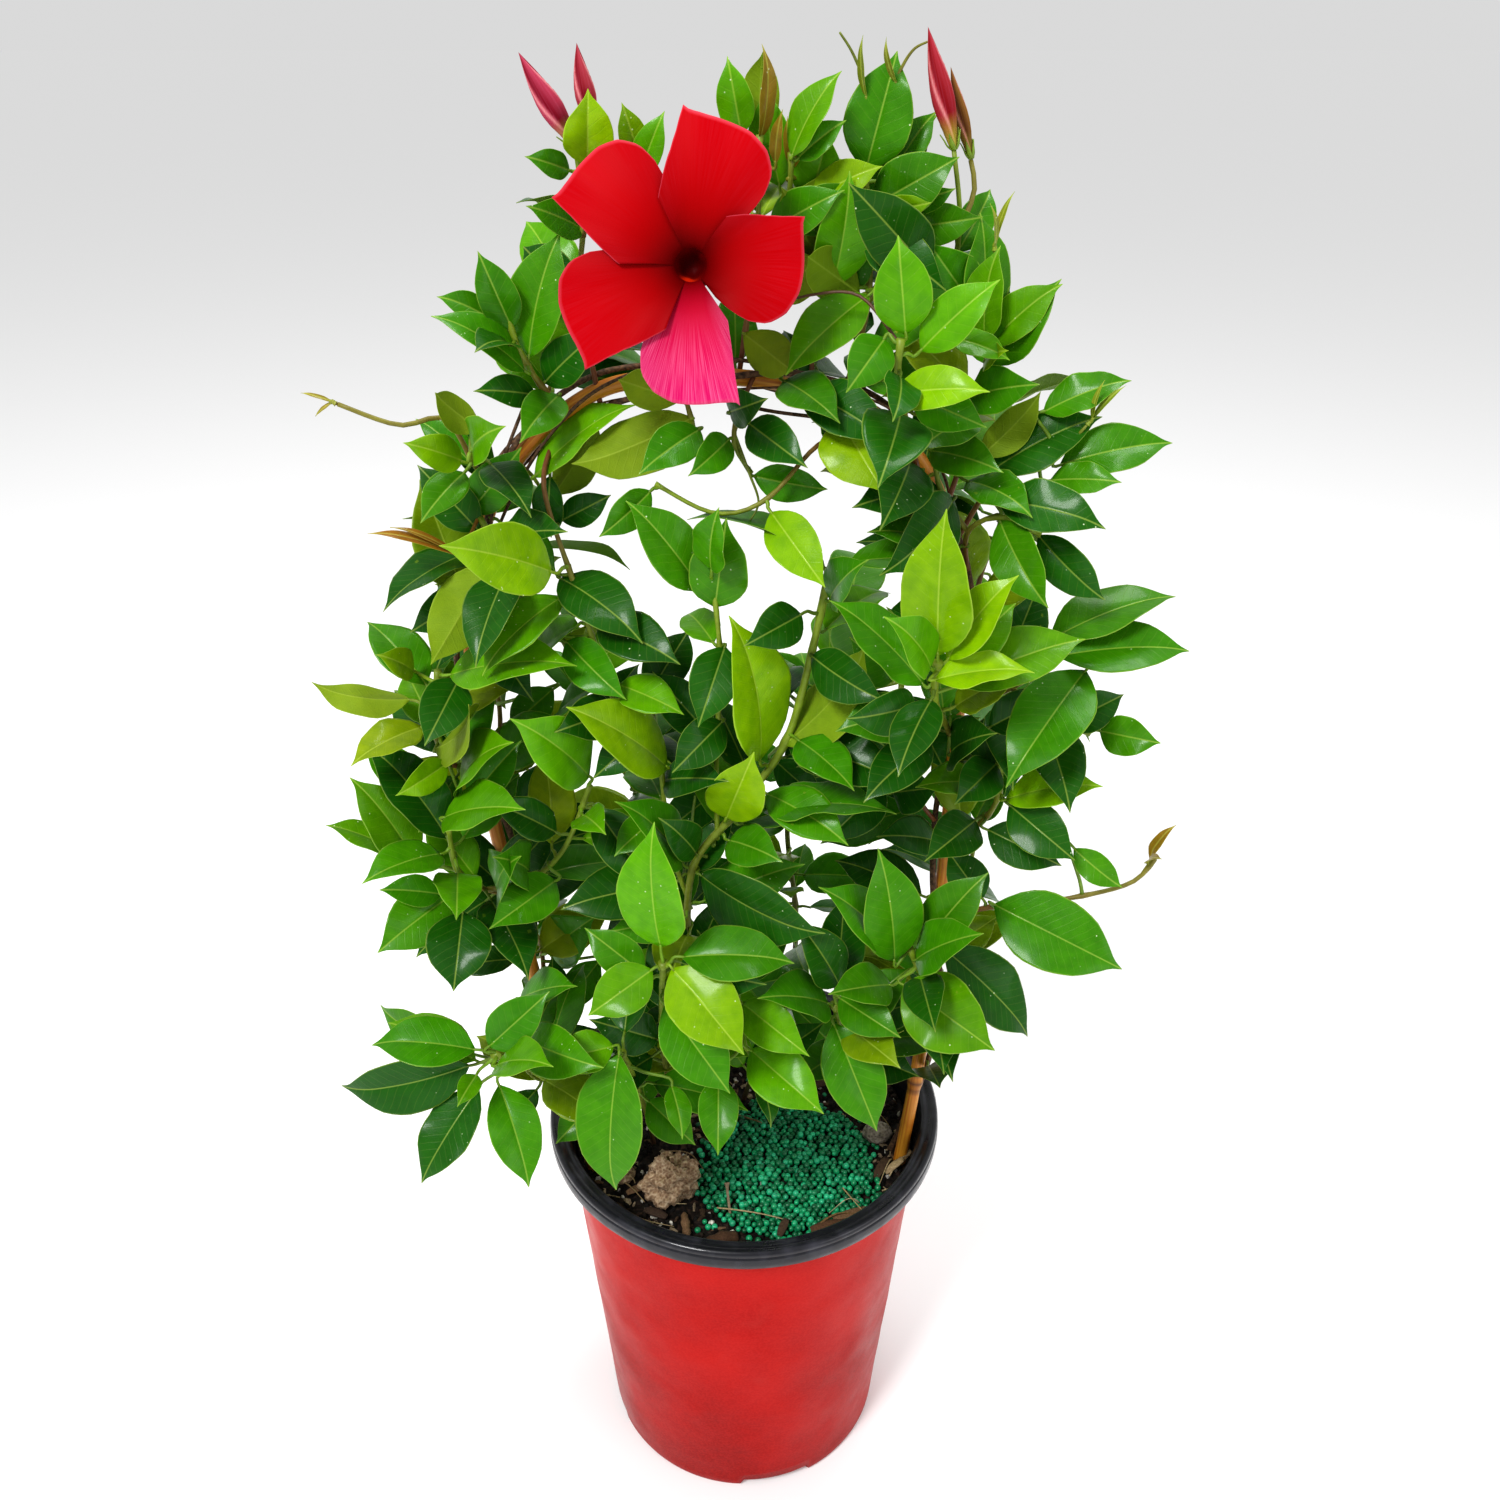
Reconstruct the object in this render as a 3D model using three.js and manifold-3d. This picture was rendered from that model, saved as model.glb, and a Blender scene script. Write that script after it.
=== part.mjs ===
// Potted dipladenia on a hoop of cane, in a nursery pot.
// Millimetres, +Z up. The origin is the middle of the pot's flat base, and -Y is the front.

import * as THREE from "three";
import * as BufferGeometryUtils from "three/addons/utils/BufferGeometryUtils.js";
import Module from "manifold-3d";

const wasm = await Module();
wasm.setup();

// Driving dimensions of the pot
const POT_HEIGHT = 225;
const BASE_RADIUS = 80;
const BODY_TOP_RADIUS = 97;
const LIP_RADIUS = 107;
const LIP_HEIGHT = 12;
const WALL = 2;
const FLOOR = 3;
const POT_SIDES = 32;
const NOTCH_WIDTH = 40;
const NOTCH_HEIGHT = 6;
const NOTCH_DEPTH = 5;
const NOTCH_TURN = 14;
const NOTCH_COUNT = 4;
const FOOT_BEVEL = 2;
const LIP_EDGE = 1.5;

// Potting mix and what lies on it
const GAP = 0.3;
const SOIL_TOP = 203;
const SOIL_RELIEF = 3;
const SOIL_RINGS = [30, 60, 86];
const SOIL_SIDES = 24;
const SOIL_SEED = 11;
const LEVEL_MARGIN = 8;
const LITTER_MARGIN = 12;
const STEM_DEPTH = 24;
const BED = { x: 24, y: -36, halfWidth: 50, halfDepth: 46 };
const PRILL_STEP = 9.2;
const PRILL_HEIGHT = 4;
const PRILL_CORNER = 1.6;
const LITTER_SEED = 31;
const LITTER_SINK = 0.62;

// Cane hoop and the two woody vines that climb it
const CANE_RADIUS = 3.5;
const CANE_SIDES = 6;
const CANE_STEP = 36;
const CANE_NODE_RADIUS = 4.2;
const CANE_NODE_EVERY = 8;
const VINE_RADIUS = 1.7;
const VINE_SIDES = 4;
const VINE_STEP = 24;
const VINE_TURNS = 4.98;
const VINE_PHASE = -1.5;
const VINE_START = 0.048;
const RIGHT_VINE_END = 0.66;
const LEFT_VINE_END = 0.36;
const VINE_TAPER = 0.35;
const VINE_OFFSET = CANE_RADIUS + VINE_RADIUS + 1.5;
const VINE_FOOT_SPREAD = 9;
const VINE_FOOT_RISE = 60;
const LEG_POINTS = 7;
const VINE_FOOT_POINTS = 4;

// Leaves: where a blade is widest, how thick it is, and how it folds and arches
const BLADE_RINGS = [[0, 0.09], [0.3, 1], [0.7, 0.68]];
const BLADE_THICKNESS = 1.3;
const LEAST_BREADTH = 0.5;
const FOLD = 0.18;
const ARCH = 0.07;
const PETIOLE_RADIUS = 0.5;
const ROOT_BACK = 0.04;
const ROOT_OUT = 0.1;
const STEM_END = 2;
const STEM_SIDES = 3;
const STEM_TAPER = 0.15;
const CLEARANCE = 0.4;
const VIEWER = [0, -550, 745];

// Fill leaves, which grow in opposite pairs by rule on the shoots at the back and at the foot
const FILLED = /^(back|low|centre_main)/;
const PAIR_STEP = 60;
const FILL_LENGTH = 46;
const FILL_PETIOLE = 9;
const FILL_BREADTH = 0.55;
const FILL_FORWARD = 0.45;
const FILL_SEED = 5;

// The hoop, from the right foot over the arch to the left foot
const HOOP = [
  [76, -24, 110], [85, -24, 203], [93, -12, 262], [98, -3, 330], [100, 0, 417], [98, 0, 497], [86, 0, 563],
  [62, 0, 598], [34, 0, 613], [0, 0, 619], [-34, 0, 619], [-62, 0, 613], [-92, 0, 590], [-113, 0, 556],
  [-124, 0, 500], [-125, 0, 440], [-117, -4, 370], [-102, -14, 290], [-82, -28, 203], [-70, -28, 110],
];

// Leafy shoots: name, what carries it, stem radius, the stem's path and any side branches.
// A path starts beside its carrier, and its first point is moved onto the carrier's centre line.
const SHOOTS = [
  ["low_left", "left_vine", 1.3, [[-90, -24, 240], [-97, -52, 286], [-108, -76, 318], [-114, -87, 334]]],
  ["left_middle", "left_vine", 1.3, [[-114, -4, 362], [-122, -34, 388], [-129, -54, 412], [-129, -61, 440]],
    [[-122, -34, 388], [-102, -40, 396], [-82, -46, 418], [-68, -46, 452]]],
  ["left_far", "left_vine", 1.3, [[-124, 0, 436], [-137, -20, 450], [-136, -33, 478], [-131, -38, 504]]],
  ["left_upper", "left_vine", 1.3, [[-123, 0, 512], [-114, -20, 530], [-102, -32, 554], [-111, -18, 566]]],
  ["left_hang", "left_vine", 1.1, [[-84, 0, 598], [-82, -24, 580], [-71, -33, 542], [-62, -38, 512],
    [-56, -38, 486]]],
  ["left_shoulder", "left_vine", 1.1, [[-106, 0, 570], [-111, -18, 588], [-108, -30, 602]],
    [[-111, -18, 588], [-119, -26, 609], [-136, -32, 608], [-158, -35, 617]]],
  ["top_left", "left_vine", 1.2, [[-76, 0, 606], [-84, -10, 621], [-90, -15, 636], [-93, -15, 650]]],
  ["top_left_spray", "left_vine", 1.2, [[-62, 0, 612], [-66, 2, 650], [-63, -2, 674], [-62, -6, 694], [-63, -10, 706]],
    [[-63, -2, 674], [-58, -6, 696], [-56, -11, 711]]],
  ["flower_stalk", "right_vine", 1.3, [[-32, 0, 619], [-28, -2, 638], [-20, -2, 654], [-18, -6, 661]],
    [[-28, -2, 638], [-38, 6, 664], [-40, 2, 700]]],
  ["top_middle", "right_vine", 1.2, [[-2, 0, 620], [4, 4, 662], [6, 2, 692], [6, 0, 710]],
    [[4, 4, 662], [16, 2, 680], [18, -5, 704]]],
  ["top_right", "right_vine", 1.4, [[42, 0, 610], [50, 4, 648], [48, 6, 684], [47, 6, 700]],
    [[50, 4, 648], [58, 4, 664], [62, 3, 682]]],
  ["top_right_spray", "right_vine", 1.1, [[66, 0, 596], [80, 4, 640], [84, -1, 676], [79, -6, 705]],
    [[84, -1, 676], [89, 1, 690], [87, 3, 701]]],
  ["right_crown", "right_vine", 1.3, [[76, 0, 582], [66, -24, 604], [59, -38, 626], [59, -41, 643]]],
  ["right_shoulder", "right_vine", 1.2, [[86, 0, 566], [94, -9, 600], [97, -13, 626], [97, -12, 640]]],
  ["right_reach", "right_vine", 1.2, [[92, 0, 552], [104, -12, 578], [120, -17, 592], [134, -18, 598]]],
  ["right_bend", "right_vine", 1.2, [[95, 0, 536], [94, -20, 560], [106, -30, 570], [122, -30, 562]],
    [[94, -20, 560], [82, -16, 576], [78, -11, 594]]],
  ["right_lime", "right_vine", 1.4, [[98, 0, 448], [90, -36, 474], [79, -60, 502], [77, -73, 524]]],
  ["right_far", "right_vine", 1.2, [[100, 0, 462], [120, -18, 486], [136, -30, 506], [149, -30, 514]],
    [[120, -18, 486], [136, -22, 474], [156, -24, 466]]],
  ["right_middle", "right_vine", 1.3, [[100, 0, 388], [108, -22, 414], [116, -33, 440], [112, -34, 474]]],
  ["right_long", "right_vine", 1.2, [[98, -2, 342], [112, -28, 372], [148, -37, 384], [180, -38, 394],
    [190, -38, 408]]],
  ["right_low", "right_vine", 1.3, [[94, -12, 284], [90, -36, 326], [82, -57, 358], [76, -61, 374]]],
  ["right_inner", "right_vine", 1.2, [[99, 0, 404], [82, -6, 424], [72, -6, 450], [72, -6, 482]]],
  ["centre_main", "soil", 1.9, [[-20, 8, SOIL_TOP], [-26, -22, 300], [-25, -43, 400], [-4, -43, 436],
    [18, -37, 468], [29, -33, 510], [36, -26, 546]]],
  ["arch_arc", "right_vine", 1.0, [[52, 0, 604], [30, -18, 596], [9, -30, 577], [-12, -32, 572],
    [-36, -28, 583]]],
  ["arch_right", "left_vine", 1.0, [[46, 0, 608], [38, -12, 611], [24, -14, 617]]],
  ["centre_upper", "centre_main", 1.2, [[-12, -43, 422], [-12, -46, 466], [-10, -44, 512], [-13, -42, 548]]],
  ["centre_left", "centre_main", 1.2, [[-26, -38, 384], [-34, -44, 420], [-37, -40, 462], [-42, -35, 496]]],
  ["arch_left_hang", "left_vine", 1.0, [[-30, 0, 619], [-23, -12, 611], [-20, -15, 596]]],
  ["arch_right_hang", "left_vine", 1.0, [[4, 0, 619], [-2, -11, 608], [-4, -16, 596], [3, -17, 584]]],
  ["low_tall", "soil", 1.4, [[-38, 4, SOIL_TOP], [-40, -42, 290], [-38, -74, 350], [-35, -90, 388]]],
  ["low_centre", "soil", 1.3, [[0, 22, SOIL_TOP], [6, -30, 276], [0, -66, 322], [-3, -76, 352]]],
  ["low_front", "soil", 1.3, [[-50, -12, SOIL_TOP], [-52, -46, 268], [-54, -72, 312], [-56, -84, 332]]],
  ["low_right", "soil", 1.3, [[58, 26, SOIL_TOP], [56, -18, 272], [49, -52, 312], [42, -67, 346]]],
  ["back_low_left", "left_vine", 1.3, [[-100, -16, 280], [-108, 18, 312], [-122, 44, 346], [-124, 58, 384]]],
  ["back_left", "left_vine", 1.3, [[-125, 0, 424], [-120, 28, 448], [-126, 52, 484], [-116, 60, 520]]],
  ["back_top_left", "left_vine", 1.2, [[-98, 0, 582], [-88, 26, 600], [-72, 40, 634], [-56, 42, 664]]],
  ["back_top_right", "right_vine", 1.2, [[28, 0, 614], [32, 26, 634], [46, 40, 656], [50, 42, 684]]],
  ["back_right", "right_vine", 1.3, [[97, 0, 510], [110, 26, 524], [122, 46, 552], [112, 52, 590]]],
  ["back_right_middle", "right_vine", 1.3, [[100, 0, 424], [112, 26, 440], [128, 48, 470], [124, 60, 506]]],
  ["back_low_right", "right_vine", 1.3, [[96, -8, 300], [106, 20, 322], [122, 44, 352], [126, 58, 392]]],
  ["back_tall", "soil", 1.6, [[22, 52, SOIL_TOP], [30, 66, 290], [24, 72, 362], [36, 66, 430],
    [52, 58, 488]]],
  ["back_wide", "soil", 1.6, [[-32, 54, SOIL_TOP], [-44, 66, 290], [-52, 70, 360], [-78, 62, 430],
    [-90, 52, 480]]],
];

// Leaves placed by hand: blade base, blade tip, breadth as seen from the front, and tone.
// Tones: L lime, B bright, M mid green, D dark, O underside, Z bronze
const LEAVES = {
  low_left: [
    [-124, -85, 311, -150, -110, 276, 23, "D"], [-114, -85, 313, -98, -115, 279, 23, "D"],
    [-122, -92, 326, -127, -112, 326, 10, "B"], [-112, -95, 334, -83, -120, 358, 15, "L"],
    [-116, -88, 339, -87, -85, 368, 21, "B"], [-127, -85, 325, -187, -80, 313, 21, "D"],
    [-125, -80, 324, -166, -70, 342, 21, "B"], [-135, -60, 312, -179, -45, 326, 17, "M"],
    [-102, -75, 332, -64, -105, 342, 24, "D"], [-106, -60, 343, -76, -80, 368, 15, "M"],
  ],
  left_middle: [
    [-127, -62, 395, -128, -90, 373, 29, "D"], [-126, -66, 419, -120, -100, 420, 21, "B"],
    [-138, -55, 400, -160, -70, 413, 14, "M"], [-158, -42, 414, -188, -45, 431, 12, "M"],
    [-133, -50, 427, -165, -40, 470, 20, "D"], [-130, -62, 445, -90, -90, 467, 19, "B"],
    [-86, -50, 404, -110, -85, 403, 22, "M"], [-149, -50, 415, -146, -70, 462, 16, "L"],
    [-113, -45, 390, -82, -70, 430, 19, "M"], [-122, -45, 444, -98, -40, 471, 18, "M"],
    [-68, -47, 457, -93, -75, 500, 24, "L"], [-66, -46, 440, -42, -60, 408, 22, "D"],
  ],
  left_far: [
    [-127, -40, 449, -83, -65, 477, 20, "B"], [-137, -35, 464, -92, -60, 482, 19, "O"],
    [-122, -40, 501, -132, -70, 485, 21, "D"], [-125, -42, 504, -70, -55, 516, 20, "B"],
    [-147, -30, 486, -189, -30, 493, 10, "O"], [-143, -32, 501, -151, -52, 518, 12, "L"],
    [-146, -30, 440, -172, -25, 462, 18, "D"], [-131, -42, 461, -148, -65, 458, 14, "L"],
  ],
  left_upper: [
    [-97, -35, 549, -108, -70, 521, 19, "D"], [-105, -35, 551, -128, -60, 517, 25, "O"],
    [-102, -25, 558, -71, -50, 571, 17, "D"], [-111, -20, 560, -135, -15, 587, 19, "D"],
    [-116, -15, 566, -106, -30, 598, 17, "D"], [-114, -20, 534, -142, -34, 520, 18, "D"],
  ],
  left_hang: [
    [-78, -46, 552, -112, -76, 585, 23, "L"], [-77, -30, 543, -41, -60, 528, 20, "D"],
    [-76, -32, 515, -50, -57, 500, 19, "M"], [-56, -40, 486, -84, -60, 484, 20, "D"],
  ],
  left_shoulder: [
    [-105, -28, 605, -118, -45, 624, 13, "O"], [-113, -30, 593, -130, -50, 606, 14, "L"],
    [-108, -32, 598, -91, -60, 615, 13, "L"], [-104, -20, 589, -84, -50, 578, 17, "M"],
  ],
  top_left: [
    [-91, -15, 641, -101, -20, 671, 16, "D"], [-86, -12, 630, -71, -10, 677, 18, "B"],
    [-98, -13, 644, -118, -20, 655, 9, "M"], [-87, -18, 626, -117, -35, 651, 9, "M"],
    [-81, -8, 619, -56, -20, 642, 17, "D"], [-85, -8, 614, -106, -25, 620, 13, "D"],
    [-76, -4, 613, -88, -35, 603, 16, "M"],
  ],
  top_left_spray: [
    [-59, -8, 700, -57, -10, 728, 19, "D"], [-66, -6, 698, -80, -20, 704, 10, "M"],
    [-62, 0, 676, -84, -15, 686, 13, "M"], [-68, 2, 650, -90, 18, 668, 20, "D"],
  ],
  flower_stalk: [[-40, 0, 696, -30, -4, 718, 12, "D"], [-40, 2, 700, -44, -8, 720, 11, "M"]],
  top_middle: [
    [-1, 0, 710, -6, -6, 736, 14, "M"], [6, 0, 708, 8, -5, 740, 8, "Z"],
    [12, 0, 700, 14, -10, 719, 9, "Z"], [10, 0, 676, 37, -15, 692, 17, "D"],
    [8, 4, 650, 31, -10, 667, 19, "O"], [18, -7, 703, 35, -10, 732, 9, "L"],
    [20, -6, 702, 31, -20, 716, 10, "M"], [20, -2, 676, 40, -5, 694, 17, "D"],
    [0, 4, 636, 20, -22, 626, 18, "O"], [-4, 4, 660, -30, 14, 684, 20, "D"],
  ],
  top_right: [
    [47, 5, 697, 57, 5, 738, 26, "M"], [57, 7, 694, 73, 8, 718, 12, "M"],
    [50, 0, 685, 80, -12, 703, 22, "M"], [47, -4, 675, 77, -25, 658, 19, "D"],
    [63, 4, 676, 91, -10, 682, 16, "B"], [62, 0, 686, 70, -20, 692, 11, "L"],
    [46, 5, 681, 20, -5, 692, 18, "O"], [46, 2, 652, 20, -20, 672, 20, "O"],
  ],
  top_right_spray: [[84, 0, 668, 98, 14, 690, 14, "M"], [78, 2, 640, 64, 26, 662, 18, "D"]],
  right_crown: [
    [61, -38, 644, 56, -40, 679, 22, "B"], [67, -38, 638, 93, -45, 665, 18, "B"],
    [53, -40, 643, 38, -60, 628, 18, "M"], [59, -45, 630, 54, -75, 621, 13, "D"],
    [57, -45, 623, 77, -72, 639, 13, "L"], [66, -34, 620, 92, -50, 612, 18, "D"],
  ],
  right_shoulder: [
    [99, -12, 627, 121, -20, 661, 20, "D"], [96, -10, 636, 105, -10, 672, 13, "M"],
    [96, -14, 629, 99, -37, 638, 9, "L"], [92, -10, 614, 112, -40, 626, 18, "D"],
    [94, -10, 606, 68, -40, 600, 17, "D"],
  ],
  right_reach: [
    [122, -12, 608, 154, -18, 623, 14, "M"], [130, -18, 588, 174, -20, 598, 19, "B"],
    [101, -12, 582, 148, -10, 602, 19, "D"], [98, -13, 590, 123, -8, 613, 15, "O"],
    [126, -20, 582, 151, -35, 586, 13, "M"],
  ],
  right_bend: [
    [105, -30, 568, 121, -60, 542, 19, "M"], [104, -28, 576, 145, -40, 563, 19, "D"],
    [122, -28, 561, 148, -45, 539, 17, "D"], [87, -20, 574, 56, -60, 556, 21, "D"],
    [82, -15, 576, 44, -38, 577, 19, "D"], [77, -12, 592, 102, -40, 592, 16, "M"],
  ],
  right_lime: [
    [77, -72, 527, 75, -75, 587, 29, "L"], [81, -72, 525, 104, -75, 562, 17, "L"],
    [74, -76, 523, 54, -98, 554, 15, "L"], [76, -76, 518, 111, -86, 531, 13, "L"],
    [73, -66, 511, 35, -60, 546, 19, "D"], [89, -60, 508, 138, -60, 529, 21, "M"],
    [76, -70, 506, 60, -102, 489, 18, "M"], [71, -60, 499, 41, -85, 505, 18, "D"],
    [80, -50, 476, 50, -76, 462, 19, "D"], [92, -35, 462, 102, -72, 492, 19, "D"],
  ],
  right_far: [
    [135, -34, 509, 190, -36, 513, 20, "M"], [132, -28, 514, 187, -15, 516, 16, "D"],
    [146, -38, 504, 109, -76, 470, 31, "M"], [160, -25, 468, 182, -42, 471, 18, "M"],
    [143, -24, 470, 170, -20, 484, 18, "D"],
  ],
  right_middle: [
    [118, -38, 440, 156, -52, 456, 15, "L"], [120, -38, 437, 146, -62, 423, 23, "D"],
    [112, -35, 422, 144, -50, 412, 21, "D"], [107, -30, 424, 81, -60, 422, 22, "D"],
    [108, -35, 475, 130, -52, 500, 19, "D"], [113, -34, 456, 92, -58, 450, 20, "D"],
  ],
  right_long: [
    [150, -45, 418, 171, -56, 404, 13, "M"], [119, -35, 380, 176, -60, 361, 36, "B"],
    [188, -38, 407, 197, -40, 428, 8, "Z"], [187, -38, 406, 189, -57, 418, 8, "Z"],
    [114, -30, 380, 97, -20, 401, 20, "D"],
  ],
  right_low: [
    [69, -65, 370, 60, -60, 427, 26, "M"], [83, -60, 375, 108, -60, 415, 22, "M"],
    [74, -66, 357, 112, -96, 344, 35, "B"], [93, -55, 369, 136, -66, 326, 26, "D"],
    [68, -65, 356, 38, -92, 373, 21, "M"], [79, -62, 368, 94, -92, 407, 19, "D"],
    [66, -55, 374, 42, -76, 417, 20, "D"],
  ],
  right_inner: [
    [70, -15, 430, 88, -34, 444, 22, "D"], [66, -10, 432, 36, -40, 418, 22, "D"],
    [74, -10, 446, 57, -27, 466, 22, "D"], [66, -6, 458, 34, -30, 472, 22, "D"],
    [75, -6, 476, 98, -26, 452, 21, "D"], [70, -6, 486, 46, -26, 514, 21, "D"],
  ],
  centre_main: [
    [8, -46, 439, 65, -66, 451, 15, "L"], [-8, -48, 436, 4, -64, 478, 26, "L"],
    [18, -38, 468, 53, -45, 518, 20, "O"], [7, -43, 463, -4, -50, 534, 18, "L"],
    [-20, -48, 406, 34, -82, 396, 21, "D"], [20, -35, 466, 68, -60, 461, 20, "D"],
    [29, -36, 510, 57, -66, 503, 19, "D"], [-28, -45, 410, -52, -66, 456, 17, "M"],
    [-30, -46, 380, -62, -62, 384, 18, "M"], [24, -38, 530, 1, -60, 526, 19, "D"],
    [36, -32, 534, 47, -60, 562, 16, "M"], [-26, -24, 310, 4, -48, 300, 22, "D"],
  ],
  arch_arc: [[11, -34, 573, 32, -60, 551, 20, "L"], [-38, -28, 580, -58, -44, 566, 14, "M"]],
  arch_right: [[38, -18, 608, 55, -46, 585, 29, "L"], [24, -14, 617, 58, -36, 598, 19, "D"]],
  centre_upper: [
    [-12, -42, 535, -7, -45, 574, 25, "M"], [-18, -38, 541, -46, -40, 580, 21, "M"],
    [-13, -48, 553, -10, -62, 584, 11, "L"], [-8, -44, 518, -18, -72, 497, 21, "D"],
    [-9, -46, 484, -30, -66, 470, 19, "D"], [-14, -46, 476, -40, -30, 500, 20, "D"],
  ],
  centre_left: [
    [-34, -42, 459, -70, -56, 507, 20, "L"], [-36, -38, 450, -4, -62, 462, 20, "D"],
    [-42, -34, 490, -22, -24, 520, 20, "D"], [-40, -36, 478, -62, -62, 466, 18, "D"],
    [-38, -46, 436, -46, -72, 430, 16, "M"],
  ],
  arch_left_hang: [
    [-21, -14, 606, -69, -32, 591, 24, "O"], [-26, -8, 612, -50, -24, 624, 16, "O"],
    [-18, -16, 602, -41, -42, 592, 17, "M"],
  ],
  arch_right_hang: [
    [2, -14, 604, 24, -40, 594, 18, "D"], [-6, -16, 598, -24, -38, 588, 15, "M"],
    [4, -17, 583, 30, -34, 580, 15, "M"], [-6, -12, 608, 8, -32, 618, 16, "D"],
  ],
  low_tall: [
    [-36, -90, 397, -38, -92, 459, 27, "B"], [-40, -92, 386, -67, -107, 373, 22, "B"],
    [-31, -94, 388, 0, -122, 363, 30, "L"], [-35, -90, 365, -6, -113, 334, 27, "M"],
    [-28, -82, 382, 9, -100, 384, 20, "D"], [-44, -85, 378, -70, -78, 398, 18, "M"],
    [-42, -52, 312, -72, -66, 336, 22, "D"],
  ],
  low_centre: [
    [-1, -78, 356, 28, -106, 350, 21, "B"], [3, -80, 330, 35, -110, 320, 26, "B"],
    [-12, -78, 312, -12, -106, 290, 19, "M"], [8, -70, 304, 13, -92, 294, 11, "M"],
    [-4, -72, 362, -20, -82, 399, 21, "D"], [6, -40, 290, 34, -62, 276, 22, "D"],
  ],
  low_front: [
    [-57, -88, 334, -61, -112, 272, 27, "M"], [-34, -84, 312, -28, -104, 298, 11, "M"],
    [-60, -82, 334, -84, -102, 336, 20, "M"], [-70, -68, 290, -90, -86, 277, 18, "M"],
    [-48, -56, 276, -24, -72, 262, 20, "D"],
  ],
  low_right: [
    [42, -70, 337, 62, -97, 295, 28, "B"], [44, -68, 351, 70, -92, 348, 20, "D"],
    [51, -56, 309, 24, -86, 316, 18, "M"], [44, -66, 357, 24, -72, 397, 21, "D"],
    [39, -70, 349, 8, -100, 378, 22, "M"], [60, -30, 284, 86, -56, 292, 22, "D"],
  ],
};

// Flower: centre, where it faces, and each petal's turn (degrees) and reach
const FLOWER_CENTRE = [-20, -40, 670];
const FLOWER_FACING = [-0.03, -0.96, 0.27];
const PETALS = [[18, 45], [90, 54], [153, 56], [221, 55], [289, 54]];
const PETAL_OUTLINE = [[-0.5, 0.4], [-0.28, 0.84], [0.02, 0.95], [0.16, 1], [0.32, 0.7]];
const TUBE_OUTSIDE = [[1.6, -34], [3, -18], [11.5, -1.6]];
const TUBE_INSIDE = [[1, -20], [5, -9], [11.5, -0.6]];
const PETAL_THICKNESS = 1;

// Buds: name, base, tip and greatest radius
const BUDS = [
  ["bud_left_long", [-63, -10, 707], [-81, -15, 738], 4.4],
  ["bud_left_short", [-56, -12, 712], [-60, -14, 741], 3.8],
  ["bud_right_red", [79, -6, 706], [66, -10, 746], 4.2],
  ["bud_right_brown", [87, 3, 702], [77, 4, 733], 2.8],
];
const BUD_RINGS = [[0, 0.35], [0.16, 0.62], [0.4, 1], [0.68, 0.72], [0.88, 0.3]];
const BUD_SIDES = 6;

// Pieces lying on the potting mix: name, place, half sizes and turn
const LITTER = [
  ["rock_tan", [-38, -48], [14, 11, 17], 20],
  ["pebble_grey", [74, -8], [8, 6, 6], 0],
  ["pebble_pale", [-64, -38], [6, 5, 4], 40],
  ["bark_chip", [-12, -80], [9, 4, 3], 20],
  ["twig", [-30, -71], [2.2, 8, 2], 8],
];

// Small vector helpers
const vec = (p) => new THREE.Vector3(p[0], p[1], p[2]);
const along = (a, b, t) => a.clone().lerp(b, t);

function sideways(axis, up) {
  return new THREE.Vector3().crossVectors(axis, up).normalize();
}

// A repeatable random stream
function seeded(seed) {
  let state = seed >>> 0;
  return () => {
    state = (Math.imul(state, 1664525) + 1013904223) >>> 0;
    return state / 4294967296;
  };
}

// A closed solid from points and triangles
function solidOf(points, triangles) {
  const vertProperties = new Float32Array(points.length * 3);
  points.forEach((p, i) => vertProperties.set([p.x, p.y, p.z], i * 3));
  const triVerts = new Uint32Array(triangles.flat());
  return new wasm.Manifold(new wasm.Mesh({ numProp: 3, vertProperties, triVerts }));
}

function solidOfGeometry(geometry) {
  geometry.deleteAttribute("normal");
  geometry.deleteAttribute("uv");
  const merged = BufferGeometryUtils.mergeVertices(geometry, 1e-4);
  const vertProperties = new Float32Array(merged.attributes.position.array);
  const triVerts = new Uint32Array(merged.index.array);
  return new wasm.Manifold(new wasm.Mesh({ numProp: 3, vertProperties, triVerts }));
}

// Rings of equal count joined into a closed skin, with a cap at each end or a point at the far one
function loft(rings, endPoint) {
  const count = rings[0].length;
  const points = rings.flat();
  const triangles = [];
  const last = (rings.length - 1) * count;
  for (let r = 0; r + 1 < rings.length; r++) {
    for (let k = 0; k < count; k++) {
      const a = r * count + k;
      const b = r * count + (k + 1) % count;
      triangles.push([a, b, b + count], [a, b + count, a + count]);
    }
  }
  for (let k = 1; k + 1 < count; k++) triangles.push([0, k + 1, k]);
  if (endPoint) {
    points.push(endPoint);
    for (let k = 0; k < count; k++) triangles.push([last + k, last + (k + 1) % count, points.length - 1]);
  } else {
    for (let k = 1; k + 1 < count; k++) triangles.push([last, last + k, last + k + 1]);
  }
  return solidOf(points, triangles);
}

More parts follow.
